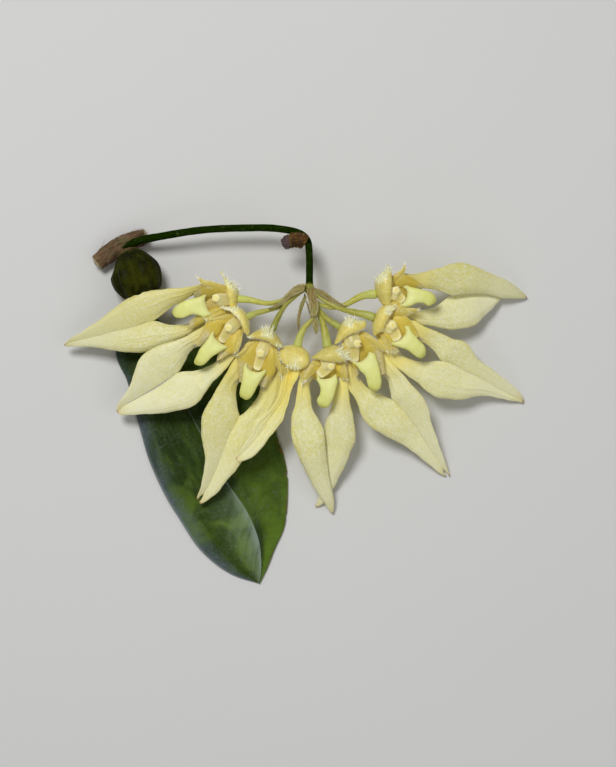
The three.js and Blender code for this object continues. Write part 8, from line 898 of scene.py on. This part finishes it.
def cheek(part, f, outer, inner, seed, grey):
    """The puffed golden fold of a sepal's base, beside the column and the root of the lip."""
    n, m = 54, 21
    A, B = refine(outer, n), refine(inner, n)
    B = B + (B - A) * 0.12
    zc = COLUMNS[f]["c"][2]
    t = np.linspace(0, 1, n)[:, None]
    s = np.linspace(0, 1, m)[None, :]
    zo = np.interp(t, [0, 0.35, 0.7, 1], [zc + 0.30, zc + 0.35, zc - 0.10, zc - 0.45])
    zi = np.interp(t, [0, 0.35, 0.7, 1], [zc + 0.25, zc + 0.02, zc - 0.30, zc - 0.75])
    x = A[:, None, 0] * (1 - s) + B[:, None, 0] * s
    y = A[:, None, 1] * (1 - s) + B[:, None, 1] * s
    w = np.linalg.norm(A - B, axis=1)[:, None]
    puff = np.minimum({"f6": 0.42, "f7": 0.38, "f8": 0.38}.get(f, 0.60), 0.26 * w) * (0.55 + 0.45 * sm(t, 0.0, 0.25)) * (1 - 0.25 * sm(t, 0.75, 1.0))
    prof = (1 - (1 - np.minimum(s / 0.42, 1)) ** 2.2) * (1 - 0.85 * np.clip((s - 0.45) / 0.55, 0, 1) ** 2.2)
    z = zo * (1 - s) + zi * s + puff * prof
    z += 0.05 * waves(x, y, seed, 7, 0.25, 0.8) * prof
    z += 0.012 * np.cos(2 * np.pi * (11 * s + 0.3 * np.sin(5 * t))) * sm(t, 0.1, 0.3)
    z += 0.07 * np.exp(-((s - 0.03) / 0.03) ** 2)
    top = np.stack([x, y, z + 0 * x], 2)
    bot = top.copy()
    bot[..., 2] -= 0.22 + 0.2 * prof
    both = lambda q: np.r_[np.broadcast_to(q, (n, m)).ravel(), np.broadcast_to(q, (n, m)).ravel()]
    pale = sm(t, grey - 0.08, grey + 0.12) * (0.5 + 0.5 * sm(s, 0.1, 0.5))
    # painted light: the first flower's lower fold (seed 201) is brightened to make up for the lip's shadow over it
    part.add(np.vstack([top.reshape(-1, 3), bot.reshape(-1, 3)]), shell_faces(n, m, turn(top)), 1, u=both(t), v=both(s), across=both(t * 5), pale=both(pale),
             gold=both(0.9 * sm(s, 0.35, 1.0) * (1 - sm(t, 0.55, 0.8)) + 0.15 * sm(0.25 - t, 0, 0.2)), tint=float(seed % 7), lum=GLOW.get(f, 1.0) * (1.22 if seed == 201 else 1.0))


for i, f in enumerate(FL):
    p = Part()
    if f != "f4":
        dish(p, f)
    sepal(p, f + "a", 3 * i + 1)
    sepal(p, f + "b", 3 * i + 2)
    if f in CHEEKS:
        bed(p, f)
    for k, (outer, inner) in enumerate(CHEEKS.get(f, [])):
        cheek(p, f, outer, inner, 200 + 2 * i + k, GREY[f][k])
    p.build(f + "_lateral_sepals_v", [f + "_lateral_sepals"], [SEPAL[f], CHEEK])


# ------------------------------------------------------------------ lips
HORNS = {"f5": ((0.36, 0.30), (-0.42, 0.74))}      # how far the left and right corner of the lip's base reach past the outline, mm


def lip(f, seed):
    d = LIPS[f]
    rows = refine(d["rows"], 54)
    n, m = len(rows), 25
    A, B = rows[:, :3].copy(), rows[:, 3:6].copy()
    t = np.linspace(0, 1, n)[:, None]
    mid = (A[0] + B[0]) / 2
    if f in HORNS:
        left, right = (A, B) if A[0, 0] < B[0, 0] else (B, A)
        left[:, :2] += np.array(HORNS[f][0]) * np.exp(-(t / 0.16) ** 1.5)
        right[:, :2] += np.array(HORNS[f][1]) * np.exp(-(t / 0.16) ** 1.5)
    a = np.linspace(0, np.pi, m)
    s = (0.5 - 0.5 * np.cos(a))[None, :]
    w = np.linalg.norm((A - B)[:, :2], axis=1)[:, None]
    h = np.minimum(0.62, 0.30 * w) * (0.10 + 0.90 * np.sqrt(1 - (1 - np.minimum(t / 0.13, 1)) ** 2)) * np.sqrt(np.clip(1 - (np.maximum(t - 0.90, 0) / 0.105) ** 2, 0.02, 1))
    e = 0.5 + (s - 0.5) * (1 + 0.16 * np.clip(1 - t / 0.30, 0, 1) ** 1.2)
    c = A[:, None, :] * (1 - e[..., None]) + B[:, None, :] * e[..., None]
    base = B[0, :2] - A[0, :2]
    at = mid[:2] + np.array(d["notch"])
    sn = float(np.clip((at - A[0, :2]) @ base / (base @ base), 0.25, 0.75))
    nv = np.array([*(at - A[0, :2] - sn * base) * 1.30, -0.1])
    k = np.where(s < sn, 1 - np.abs((sn - s) / sn) ** 2.6, 1 - np.abs((s - sn) / (1 - sn)) ** 2.2) * np.clip(1 - t / 0.42, 0, 1) ** 1.5
    k = k * sm(np.minimum(s, 1 - s), 0.03, 0.16) + 0.42 * np.clip(1 - np.minimum(s, 1 - s) / 0.13, 0, 1) ** 2 * np.clip(1 - t / 0.25, 0, 1)
    c = c + nv * k[..., None]
    oval = np.sin(a)[None, :]
    groove = 0.16 * np.exp(-((s - 0.5) / 0.16) ** 2) * sm(0.55 - t, 0.0, 0.4)
    horn = 0.12 * (np.exp(-((s - 0.14) / 0.13) ** 2) + np.exp(-((s - 0.86) / 0.13) ** 2)) * sm(0.35 - t, 0.0, 0.3)
    top = c.copy()
    bot = c.copy()
    top[..., 2] += h * oval ** 0.8 + (horn - groove) * oval + 0.03 * waves(c[..., 0], c[..., 1], seed, 6, 0.2, 0.6) * oval
    bot[..., 2] -= (0.55 * h + 0.04) * oval ** 0.8
    top[..., 2] += 0.0
    flip = turn(top)
    F = shell_faces(n, m, flip)
    both = lambda q: np.r_[np.broadcast_to(q, (n, m)).ravel(), np.broadcast_to(q, (n, m)).ravel()]
    p = Part()
    p.add(np.vstack([top.reshape(-1, 3), bot.reshape(-1, 3)]), F, 0, u=both(t), v=both(s), across=both(t * 10))
    p.build(f + "_lip_v", [f + "_lip"], [LIP])


for i, f in enumerate(FL):
    lip(f, 40 + i)


# ------------------------------------------------------------------ hoods, with their hairs
HOOD_GRID = {}
SPREAD = {"f2": 0.42, "f3": 0.30}


def dome_of(f):
    rows = refine(HOODS[f], 72)
    n, m = len(rows), 30
    A, B = rows[:, :3], rows[:, 3:6]
    s = np.linspace(0, 1, m)[None, :]
    if f == "f4":
        th = s * np.pi * 0.97 + 0.03
        x = 0.5 - 0.5 * np.cos(th)
        base = A[:, None, :] * (1 - x[..., None]) + B[:, None, :] * x[..., None]
        w = np.linalg.norm((A - B)[:, :2], axis=1)[:, None]
        g = base
        g[..., 2] += np.minimum(1.75, 0.40 * w) * np.sin(th)
    else:
        end = 2.05
        th = s * end
        x = (1 - np.cos(th)) / (1 - math.cos(end))
        y = np.sin(th) / 1.0
        ye = math.sin(end)
        g = A[:, None, :] * (1 - x[..., None]) + B[:, None, :] * x[..., None]
        dz = (B[:, 2] - A[:, 2])[:, None]
        g[..., 2] = A[:, None, 2] + dz * y / ye * 0.93
        g[..., 2] = np.minimum(g[..., 2], A[:, None, 2] + dz * 1.16)
    g[..., 2] += 0.05 * waves(g[..., 0], g[..., 1], ord(f[1]), 7, 0.2, 0.6) * np.sin(np.pi * s)
    return g


def hood(f):
    g = dome_of(f)
    n, m, _ = g.shape
    u = np.linspace(0, 1, n)[:, None]
    s = np.linspace(0, 1, m)[None, :]
    # fine nerves pressed in, across the hood
    g[..., 2] -= 0.010 * np.cos(2 * np.pi * 15 * u) * np.sin(np.pi * s) * np.sin(np.pi * u)
    nrm = grid_normals(g)
    inner = g - nrm * (0.16 + 0.10 * np.sin(np.pi * s))[..., None]
    HOOD_GRID[f] = g
    pale = np.zeros((n, m))
    tufts = HAIRS[f]
    for x0, y0, x1, y1, *_r in tufts:
        c = np.array([(x0 + x1) / 2, (y0 + y1) / 2])
        ax = np.array([x1 - x0, y1 - y0]) / 2
        ln = np.linalg.norm(ax) + 1e-6
        e = ax / ln
        dx = g[..., :2] - c
        al = np.abs(dx @ e) / (ln + 0.4)
        ac = np.abs(dx @ np.array([-e[1], e[0]])) / 0.75
        pale = np.maximum(pale, np.clip(1.25 - np.maximum(al, ac), 0, 1) * (1.0 if f != "f4" else 0.6))
    # painted highlight: a pale spot on the crown of the fourth flower's ball-shaped hood
    if f == "f4":
        pale = np.maximum(pale, 0.55 * np.exp(-((u - 0.52) / 0.13) ** 2 - ((s - 0.62) / 0.22) ** 2))
    flip = turn(g)
    F = shell_faces(n, m, flip)
    both = lambda q, r=None: np.r_[np.broadcast_to(q, (n, m)).ravel(), np.broadcast_to(q if r is None else r, (n, m)).ravel()]
    p = Part()
    p.add(np.vstack([g.reshape(-1, 3), inner.reshape(-1, 3)]), F, 0, u=both(s), v=both(u), across=both(s * 6),
          pale=both(pale), gold=both(np.zeros((1, 1)), np.full((1, 1), 0.6)), lum={"f3": 0.88, "f4": 0.94, "f5": 0.86, "f8": 0.90, "f1": 1.04, "f2": 1.06}.get(f, 1.0))
    r = np.random.default_rng(ord(f[1]) + 3)
    flat = g.reshape(-1, 3)
    for x0, y0, x1, y1, du0, dv0, du1, dv1, l0, l1, cnt, z in tufts:
        cnt = int(cnt * 0.62)
        for k in range(cnt):
            q = (k + r.uniform(0.1, 0.9)) / cnt
            x = x0 + (x1 - x0) * q + r.normal(0, SPREAD.get(f, 0.24))
            y = y0 + (y1 - y0) * q + r.normal(0, SPREAD.get(f, 0.24))
            dd = np.hypot(flat[:, 0] - x, flat[:, 1] - y)
            near = np.where(dd < dd.min() + 0.25)[0]
            root = flat[near[flat[near, 2].argmax()]].copy()
            root[2] -= 0.04
            dv = np.array([du0 + (du1 - du0) * q, dv0 + (dv1 - dv0) * q])
            dv = dv / (np.linalg.norm(dv) + 1e-9) + r.normal(0, 0.17, 2)
            ln = r.uniform(l0, l1) * r.uniform(0.75, 1.0)
            lift = r.uniform(0.05, 0.6)
            hair(p, root, (dv[0], dv[1], lift), ln, r.uniform(0.082, 0.108), 0.028,
                 (r.normal(0, 0.13), r.normal(0, 0.13), -abs(r.normal(0, 0.08))))
    # short hairs along the thin edge of the mouth
    for k in range(46):
        q = int(r.uniform(0.08, 0.92) * (n - 1))
        e = g[q, -1]
        o = (g[q, -1] - g[q, -4])
        o /= np.linalg.norm(o) + 1e-9
        hair(p, e - o * 0.03, o + r.normal(0, 0.35, 3), r.uniform(0.12, 0.34), 0.026, 0.012, segs=3)
    p.build(f + "_hood_v", [f + "_dorsal_sepal"], [HOOD, HAIR])


for f in FL:
    hood(f)


# ------------------------------------------------------------------ petals
TIPHAIR = {"f1_petal_left": 1.0, "f8_petal_left": 1.0, "f7_petal_left": 0.9, "f6_petal_right": 0.9, "f5_petal_left": 1.0,
           "f2_petal_left": 0.9, "f3_petal_left": 0.8, "f4_petal_left": 0.8, "f4_petal_right": 0.8}


def petal(key, rows, seed):
    rows = refine(rows, 46)
    n, m = len(rows), 19
    A, B = rows[:, :3].copy(), rows[:, 3:6].copy()
    a = np.array(COLUMNS[key[:2]]["a"])
    k = n // 3
    if np.linalg.norm(A[k, :2] - a[:2]) < np.linalg.norm(B[k, :2] - a[:2]):
        A, B = B, A                      # A is now the outer edge
    t = np.linspace(0, 1, n)[:, None]
    s = np.linspace(0, 1, m)[None, :]
    w = np.linalg.norm((A - B)[:, :2], axis=1)[:, None]
    B0 = B.copy()
    grow = 0.40 * np.clip(1 - t * 1.15, 0, 1) ** 0.8
    B = B + (B - A) * grow
    g = A[:, None, :] * (1 - s[..., None]) + B[:, None, :] * s[..., None]
    g[..., 2] -= 0.28 * (1 - t) + 0.55 * np.clip(1.15 - t, 0, 1) * sm(s, 0.30, 1.0)
    g[..., 2] += np.minimum(0.42, 0.20 * w) * (1 - (1 - np.minimum(s / 0.4, 1)) ** 2.2) * sm(1.15 - s, 0.0, 0.6)
    g[..., 2] += 0.13 * np.exp(-((s - 0.05) / 0.05) ** 2) * np.sin(np.pi * np.clip(t * 1.1, 0, 1))
    g[..., 2] += 0.05 * np.sin(6 * t + seed) * 4 * s * (1 - s) + 0.03 * waves(g[..., 0], g[..., 1], seed, 6, 0.3, 0.7)
    bot = g.copy()
    bot[..., 2] -= 0.17
    flip = turn(g)
    F = shell_faces(n, m, flip)
    both = lambda q: np.r_[np.broadcast_to(q, (n, m)).ravel(), np.broadcast_to(q, (n, m)).ravel()]
    p = Part()
    p.add(np.vstack([g.reshape(-1, 3), bot.reshape(-1, 3)]), F, 0, u=both(t), v=both(s), across=both(t * 6), gold=both(sm(s, 0.3, 1.0) * (1 - t) + np.zeros((n, m))))
    B = B0
    r = np.random.default_rng(seed)
    k0 = TIPHAIR.get(key, 0.55)
    tip = (A[-1] + B[-1]) / 2
    dr = tip - (A[-8] + B[-8]) / 2
    dr /= np.linalg.norm(dr) + 1e-9
    for _ in range(int(15 * k0)):
        d = dr + np.array([*r.normal(0, 0.42, 2), abs(r.normal(0.05, 0.2))])
        root = tip - dr * r.uniform(0.0, 0.5) + r.normal(0, 0.05, 3) * [1, 1, 0]
        hair(p, root, d, r.uniform(0.35, 0.95) * (0.6 + 0.4 * k0), 0.034, 0.014, r.normal(0, 0.12, 3))
    for _ in range(int(34 * k0)):
        i = int(r.uniform(0.45, 0.98) * (n - 1))
        e, o = (A[i], A[i] - B[i]) if r.random() < 0.5 else (B[i], B[i] - A[i])
        o = o / (np.linalg.norm(o) + 1e-9)
        hair(p, e - o * 0.04, o + dr * 0.7 + r.normal(0, 0.25, 3), r.uniform(0.15, 0.45) * (0.5 + 0.5 * k0), 0.026, 0.012, segs=4)
    p.build(key + "_v", [key], [PETAL, HAIR])


for i, (k, rows) in enumerate(PETALS.items()):
    petal(k, rows, 100 + i)


# ------------------------------------------------------------------ columns
def at_px(u, v):
    return [CENTRE[0] + (u - 308) * 0.2 * KZ, CENTRE[1] + (383.5 - v) * 0.2 * KZ]


KZ = (458 - 12.6) / 450
SHAPE = {f: [at_px(*q) for q in v] for f, v in {
    "f1": [(230, 299), (222.5, 301), (216, 298), (206.5, 305.5)], "f2": [(238, 320.5), (231.5, 328.5), (228.6, 328), (221.5, 340.5)],
    "f3": [(266, 341), (263, 351), (260.4, 353.3), (257, 368.5)], "f5": [(326, 358), (326.5, 364), (331.2, 366.5), (319.5, 374.5)],
    "f6": [(349, 330), (349, 344.5), (357.4, 343.7), (354.5, 360.5)], "f7": [(383, 325), (388.5, 328.5), (392.5, 325.4), (397.5, 338.8)],
    "f8": [(388, 293), (393.5, 297), (396, 290.5), (402.5, 301)]}.items()}


def bead(part, c, axis, r, seed, mat=1, dot=False):
    """The anther cap: a low five-cornered bead with a sunken middle, facing along the axis."""
    axis = np.array(axis, float)
    axis /= np.linalg.norm(axis)
    a = np.cross(axis, [0, 0.3, 1.0])
    a /= np.linalg.norm(a)
    b = np.cross(axis, a)
    rings, sides = 15, 40
    th = np.linspace(0, 2 * math.pi, sides, endpoint=False)
    V, vv, tt = [], [], []
    rr = np.random.default_rng(seed)
    ph = rr.uniform(0, 1)
    for i in range(rings):
        q = i / (rings - 1)
        if q < 0.72:
            rad = r * (q / 0.72) ** 0.9 * 1.0
            hgt = 0.42 * r * math.cos(q / 0.72 * 1.25) + 0.07 * r * math.exp(-((q - 0.36) / 0.13) ** 2) - 0.05 * r * math.exp(-(q / 0.15) ** 2)
        else:
            k = (q - 0.72) / 0.28
            rad = r * (1 - 0.22 * k)
            hgt = 0.42 * r * math.cos(1.25) - 0.75 * r * k
        star = 1 + 0.06 * np.cos(5 * th + ph) * min(1, q * 1.6) + 0.03 * np.cos(11 * th + 2 * ph)
        P = np.array(c) + np.outer(rad * star * np.cos(th), a) + np.outer(rad * star * np.sin(th), b) + axis * hgt
        V.append(P)
        vv.append(np.full(sides, min(q / 0.72, 1.0)))
        tt.append(np.clip(1.3 - np.hypot(np.cos(th) * rad / r + 0.75, np.sin(th) * rad / r - 0.1) / 0.28, 0, 1) if dot else np.zeros(sides))
    V = np.vstack(V)
    F = []
    for i in range(rings - 1):
        for j in range(sides):
            k = (j + 1) % sides
            F.append((i * sides + j, (i + 1) * sides + j, (i + 1) * sides + k, i * sides + k))
    F.append(tuple(range((rings - 1) * sides, rings * sides))[::-1])
    part.add(V, F, mat, v=np.concatenate(vv), tint=np.concatenate(tt), u=0.5)


for i, f in enumerate(FL):
    c = COLUMNS[f]
    C, A, K, r = np.array(c["c"]), np.array(c["a"]), np.array(c["f"]), c["r"]
    p = Part()
    x = np.linspace(0, 1, 40)[:, None]
    E = A.copy()
    if f in SHAPE:
        (C[0], C[1]), (E[0], E[1]), (A[0], A[1]), (K[0], K[1]) = SHAPE[f]
    if f in SHAPE:
        E = np.array([*(0.48 * E + 0.52 * A)[:2], A[2]])
    dh = np.array([*(E - C)[:2], 0])
    dh /= np.linalg.norm(dh) + 1e-9
    end = E + dh * 0.75 - np.array([0, 0, 0.95])
    mid = C * 0.45 + E * 0.55 + np.array([0, 0, -0.10])
    back = C - dh * 0.55 - np.array([0, 0, 0.25])
    path = (1 - x) ** 2 * back + 2 * x * (1 - x) * mid + x ** 2 * end
    e = np.clip((x[:, 0] - 0.72) / 0.28, 0, 1)
    big = {"f6": 1.28, "f7": 1.12, "f5": 1.08, "f4": 0.9}.get(f, 1.0)
    shine = {"f1": 0.76, "f2": 0.83, "f6": 0.84, "f7": 0.98}.get(f, 0.93)
    rad = big * np.interp(x[:, 0], [0, 0.3, 0.72, 1], [1.06, 1.22, 1.30, 1.28]) * np.sqrt(np.clip(1 - (0.93 * e) ** 2.6, 0.02, 1))
    path = path - [0, 0, 0.85 * (big - 1)]
    tube(p, path, rad, 40, 0, flat=0.84, pale=np.interp(x[:, 0], [0, .5, 1], [0.0, 0.10, 0.22]), gold=np.interp(x[:, 0], [0, 0.22, 0.45], [0.7, 0.35, 0]), lum=shine)
    # the foot runs on from below the anther to the hinge of the lip; its end is painted paler and brighter, a painted
    # highlight at the hinge
    K2 = K + (K - E) / (np.linalg.norm(K - E) + 1e-9) * (0.25 if f in SHAPE else 0.9)
    K2[2] = K[2] + (0.02 if f != "f1" else -0.50)
    m0 = C * 0.35 + E * 0.65 - np.array([0, 0, 0.95])
    path = (1 - x) ** 3 * m0 + 3 * x * (1 - x) ** 2 * (E + dh * 0.3 - [0, 0, 1.05]) + 3 * x ** 2 * (1 - x) * (E * 0.40 + K * 0.60 - [0, 0, 0.70]) + x ** 3 * K2
    broad = {"f5": 1.18, "f6": 1.12, "f7": 1.28, "f8": 1.18}.get(f, 1.0)
    tube(p, path, broad * np.interp(x[:, 0], [0, 0.4, 0.75, 0.94, 1], [1.12, 1.06, 0.90, 0.80, 0.58]), 30, 0, flat=0.62 / broad, pale=np.interp(x[:, 0], [0, 0.80, 0.93, 1], [0.0, 0.0, 0.45, 1.0]) * (f != "f1"),
         gold=0.85 if f == "f1" else np.interp(x[:, 0], [0, 0.5, 0.9], [0.22, 0.26, 0.0]), lum=shine * np.interp(x[:, 0], [0, 0.80, 0.95, 1], [1, 1, 1.12, 1.20]))
    up = dh * 0.22 + np.array([0, 0, 0.97]) if f != "f4" else np.array([0, -0.8, 0.3])
    bead(p, A + np.array([0, 0, 0.10]), up, r * 1.02, 60 + i, 1, dot=(f == "f6"))
    p.build(f + "_column_v", [f + "_column"], [COLUMN, ANTHER])


# ------------------------------------------------------------------ flower stem and its eight flower stalks
p = Part()
S_ = refine(STEM, 150)
L = arclen(S_[:, :3])
rad = S_[:, 3] * (1 + 0.018 * np.sin(L * 1.3) + 0.012 * np.sin(L * 3.1))
tube(p, S_[:, :3], rad, 30, 0, rib=(9, 0.012), gold=0.35 * sm(np.linspace(0, 1, len(S_)), 0.955, 1.0), lum=0.62)
hub = S_[-1, :3]
x = np.linspace(0, 1, 16)
tube(p, np.stack([np.full(16, hub[0]), hub[1] + 0.9 - 2.0 * x, np.full(16, hub[2]) + 0.1], 1), np.interp(x, [0, .3, .7, 1], [0.75, 1.15, 1.0, 0.45]), 24, 0, rib=(6, 0.06), gold=0.42, lum=0.62)
# STALK: brightness of each flower stalk, painted light and shade: low for stalks in shade (f3), high for the lit first
# stalk
STALK = {"f1": 1.25, "f2": 1.0, "f3": 0.62, "f4": 1.1, "f5": 1.0, "f6": 0.85, "f7": 0.90, "f8": 1.15}
for f in FL:
    q = refine(PEDICELS[f], 64)
    x = np.linspace(0, 1, len(q))
    L = arclen(q[:, :3])
    rad = q[:, 3] * (1 + 0.02 * np.sin(L * 2.3 + ord(f[1])))
    rad *= 1 + 0.05 * np.exp(-((x - 0.30) / 0.05) ** 2)
    tube(p, q[:, :3], rad, 22, 0, rib=(6, 0.03), gold=np.interp(x, [0, 0.10, 0.35, 0.97, 1], [1.0, 0.92, 0.70, 0.52, 0.42]),
         lum=np.interp(x, [0, 0.25, 1], [STALK[f], STALK[f], 1.0]))
p.build("scape_v", ["scape"], [STEMM])


# ------------------------------------------------------------------ bracts and sheath
def strap(part, rows, thick, curl, seed, n=46, m=17, ragged=0.0, tint=0.0, gold=0.0, deep=0.0, crumple=0.09):
    rows = refine(rows, n)
    A, B = rows[:, :3], rows[:, 3:6]
    t = np.linspace(0, 1, n)[:, None]
    s = np.linspace(0, 1, m)[None, :]
    w = np.linalg.norm((A - B)[:, :2], axis=1)[:, None]
    g = A[:, None, :] * (1 - s[..., None]) + B[:, None, :] * s[..., None]
    g[..., 2] += curl * w * 4 * s * (1 - s) + 0.05 * np.cos(2 * np.pi * 5 * s + 2 * t) * np.minimum(w / 2, 1)
    g[..., 2] += crumple * waves(g[..., 0], g[..., 1], seed, 7, 0.15, 0.5)
    if ragged:
        out = (A - B) / (w + 1e-9)
        g[..., :2] += out[:, None, :2] * (ragged * np.sin(9 * t * 6.28 + seed) * ((1 - s) ** 4 - s ** 4))[..., None]
    bot = g.copy()
    bot[..., 2] -= thick
    flip = turn(g)
    both = lambda q: np.r_[np.broadcast_to(q, (n, m)).ravel(), np.broadcast_to(q, (n, m)).ravel()]
    part.add(np.vstack([g.reshape(-1, 3), bot.reshape(-1, 3)]), shell_faces(n, m, flip), 0, u=both(t), v=both(s), across=both(t * 8),
             tint=both(np.full((1, 1), tint) * (1 - t) if tint else 0.0), gold=gold, deep=deep)


for i, (k, rows) in enumerate(BRACTS.items()):
    p = Part()
    strap(p, rows, 0.14, 0.16, 80 + i, ragged=0.05, tint={"bract_1": 0.35, "bract_3": 1.0, "bract_6": 0.45}.get(k, 0.2))
    p.build(k + "_v", [k], [BRACT])
p = Part()
rows = [[*at_px(*a), z, *at_px(*b), z2] for a, b, z, z2 in (
    ((280.3, 239), (282, 244.5), 8.7, 8.6), ((284.5, 234.6), (285.5, 248.2), 9.5, 8.9), ((288.6, 233.6), (289.5, 247.6), 10.1, 9.2), ((291, 232), (291.5, 247), 10.0, 9.5),
    ((296, 231.6), (296, 246.6), 10.3, 9.7), ((301, 231.8), (301, 247.6), 10.4, 9.9), ((305.5, 233.2), (303.6, 245.4), 10.5, 10.1), ((309, 236.5), (306, 242.5), 10.5, 10.3))]
strap(p, rows, 0.20, 0.34, 95, n=90, m=31, ragged=0.07, tint=0.0, deep=1.0, crumple=0.26)
p.build("peduncle_sheath_v", ["peduncle_sheath"], [BRACT])


# ------------------------------------------------------------------ leaf
rows = refine(LEAF, 190)
n, m = len(rows), 61
A, M_, B = rows[:, :3], rows[:, 3:6], rows[:, 6:9]
t = np.linspace(0, 1, n)[:, None]
s = np.linspace(0, 1, m)[None, :]
left = s <= 0.5
q = np.where(left, s * 2, s * 2 - 1)[..., None]
g = np.where(left[..., None], A[:, None, :] * (1 - q) + M_[:, None, :] * q, M_[:, None, :] * (1 - q) + B[:, None, :] * q)
q = q[..., 0]
arch = np.interp(t[:, 0], [0, .12, .4, .8, 1], [0, .3, .95, .8, .12])[:, None]
g[..., 2] += arch * np.sin(np.pi * np.where(left, q ** 0.8, 1 - (1 - q) ** 0.8)) ** 0.8
g[..., 2] += 0.07 * waves(g[..., 0], g[..., 1], 5, 7, 0.05, 0.16) * np.minimum(arch * 2, 1)
g[..., 2] -= 0.10 * np.exp(-((s - 0.5) / 0.012) ** 2) * sm(t, 0.05, 0.2) * sm(1 - t, 0.02, 0.2)
g[..., 2] += 0.012 * np.cos(2 * np.pi * 23 * s) * sm(t, 0.1, 0.3)
# small notches along the right margin
L = arclen(B)
rr = np.random.default_rng(8)
bite = np.zeros(n)
for _ in range(13):
    c0 = rr.uniform(0.30, 0.93) * L[-1]
    bite += rr.uniform(0.08, 0.22) * np.exp(-((L - c0) / rr.uniform(0.15, 0.35)) ** 2)
outv = (B - M_) / (np.linalg.norm(B - M_, axis=1, keepdims=True) + 1e-9)
g[..., :2] -= outv[:, None, :2] * (bite[:, None] * np.exp(-((1 - s) / 0.02) ** 2))[..., None]
bot = g.copy()
bot[..., 2] -= 0.42 * np.minimum(1, 0.35 + 8 * np.minimum(s, 1 - s))
bot[..., 2] -= 0.25 * np.exp(-((s - 0.5) / 0.02) ** 2)
bot[..., 2] = np.maximum(bot[..., 2], 0.0)
g[..., 2] = np.maximum(g[..., 2], bot[..., 2] + 0.12)
both = lambda q, r=None: np.r_[np.broadcast_to(q, (n, m)).ravel(), np.broadcast_to(q if r is None else r, (n, m)).ravel()]
p = Part()
p.add(np.vstack([g.reshape(-1, 3), bot.reshape(-1, 3)]), shell_faces(n, m, turn(g)), 0, u=both(t), v=both(s), across=both(arclen(M_)[:, None]),
      gold=both(np.zeros((1, 1)), np.full((1, 1), 0.65)))
p.build("leaf_v", ["leaf"], [LEAFM])

# ------------------------------------------------------------------ pseudobulb and rhizome
q = refine(BULB, 90)
x = np.linspace(0, 1, len(q))
p = Part()
th_r = q[:, 3] * (1 + 0.012 * np.sin(x * 19))
tube(p, q[:, :3], th_r, 84, 0, rib=(12, 0.045), gold=np.clip(sm(0.14 - x, 0, 0.1) + sm(x, 0.9, 1.0), 0, 1))
p.build("pseudobulb_v", ["pseudobulb"], [BULBM])
q = refine(RHIZOME, 90)
x = np.linspace(0, 1, len(q))
L = arclen(q[:, :3])
p = Part()
node = sum(np.exp(-((L - c0) / 0.28) ** 2) for c0 in np.arange(2, L[-1], 6.2))
tube(p, q[:, :3], q[:, 3] * (0.93 + 0.05 * node + 0.02 * np.sin(L * 2.9)), 40, 0, rib=(13, 0.03), pale=np.clip(sm(0.02 - x, 0, 0.02) + sm(x, 0.98, 1), 0, 1))
r = np.random.default_rng(4)
for _ in range(150):       # dry fibres left by the old sheaths
    i = int(r.uniform(0.04, 0.92) * (len(q) - 1))
    d = q[min(i + 4, len(q) - 1), :3] - q[i, :3]
    d /= np.linalg.norm(d)
    a = r.uniform(-1.9, 1.9)
    sd = np.cross(d, [0, 0, 1.0])
    nn = np.cross(sd, d)
    off = sd * math.sin(a) + nn * math.cos(a)
    root = q[i, :3] + off * q[i, 3] * 0.92
    hair(p, root, d + r.normal(0, 0.12, 3) + off * 0.05, r.uniform(0.8, 2.2), 0.055, 0.02, r.normal(0, 0.06, 3), mat=0)
p.build("rhizome_v", ["rhizome"], [RHIZ])

# ------------------------------------------------------------------ floor, light, camera
fm = Mat("floor", rough=0.85, spec=0.2)
fm.set(fm.mix(fm.noise(9, 2), (0.68, 0.68, 0.67), (0.70, 0.70, 0.69)))
me = bpy.data.meshes.new("floor")
me.from_pydata([(-2, -2, -2e-5), (2, -2, -2e-5), (2, 2, -2e-5), (-2, 2, -2e-5)], [], [(0, 1, 2, 3)])
me.materials.append(fm.m)
floor = bpy.data.objects.new("floor", me)
bpy.context.scene.collection.objects.link(floor)


def area(name, loc, size, power, colour=(1, 1, 1)):
    li = bpy.data.lights.new(name, "AREA")
    li.shape = "DISK"
    li.size = size
    li.energy = power
    li.color = colour
    ob = bpy.data.objects.new(name, li)
    ob.location = loc
    ob.rotation_mode = "QUATERNION"
    ob.rotation_quaternion = (Vector((0, 0, 0)) - Vector(loc)).to_track_quat("-Z", "Y")
    bpy.context.scene.collection.objects.link(ob)


area("key", (-0.15, 0.25, 0.56), 0.20, 2.35)
area("fill", (0.38, -0.12, 0.48), 0.50, 0.50)
area("front", (-0.10, -0.42, 0.40), 0.40, 0.26)
world = bpy.data.worlds.new("world")
world.use_nodes = True
bg = world.node_tree.nodes["Background"]
bg.inputs[0].default_value = (1.0, 0.99, 0.96, 1)
bg.inputs[1].default_value = 0.20
bpy.context.scene.world = world
bpy.context.scene.view_settings.view_transform = "Standard"
bpy.context.scene.view_settings.look = "None"

cd = bpy.data.cameras.new("camera")
cam = bpy.data.objects.new("camera", cd)
cam.location = (CENTRE[0] * MM, CENTRE[1] * MM, 0.458)
cd.sensor_width = 36
cd.lens = 36 * 0.450 / (0.2e-3 * 767)
cd.clip_start, cd.clip_end = 0.01, 20
bpy.context.scene.collection.objects.link(cam)
bpy.context.scene.camera = cam
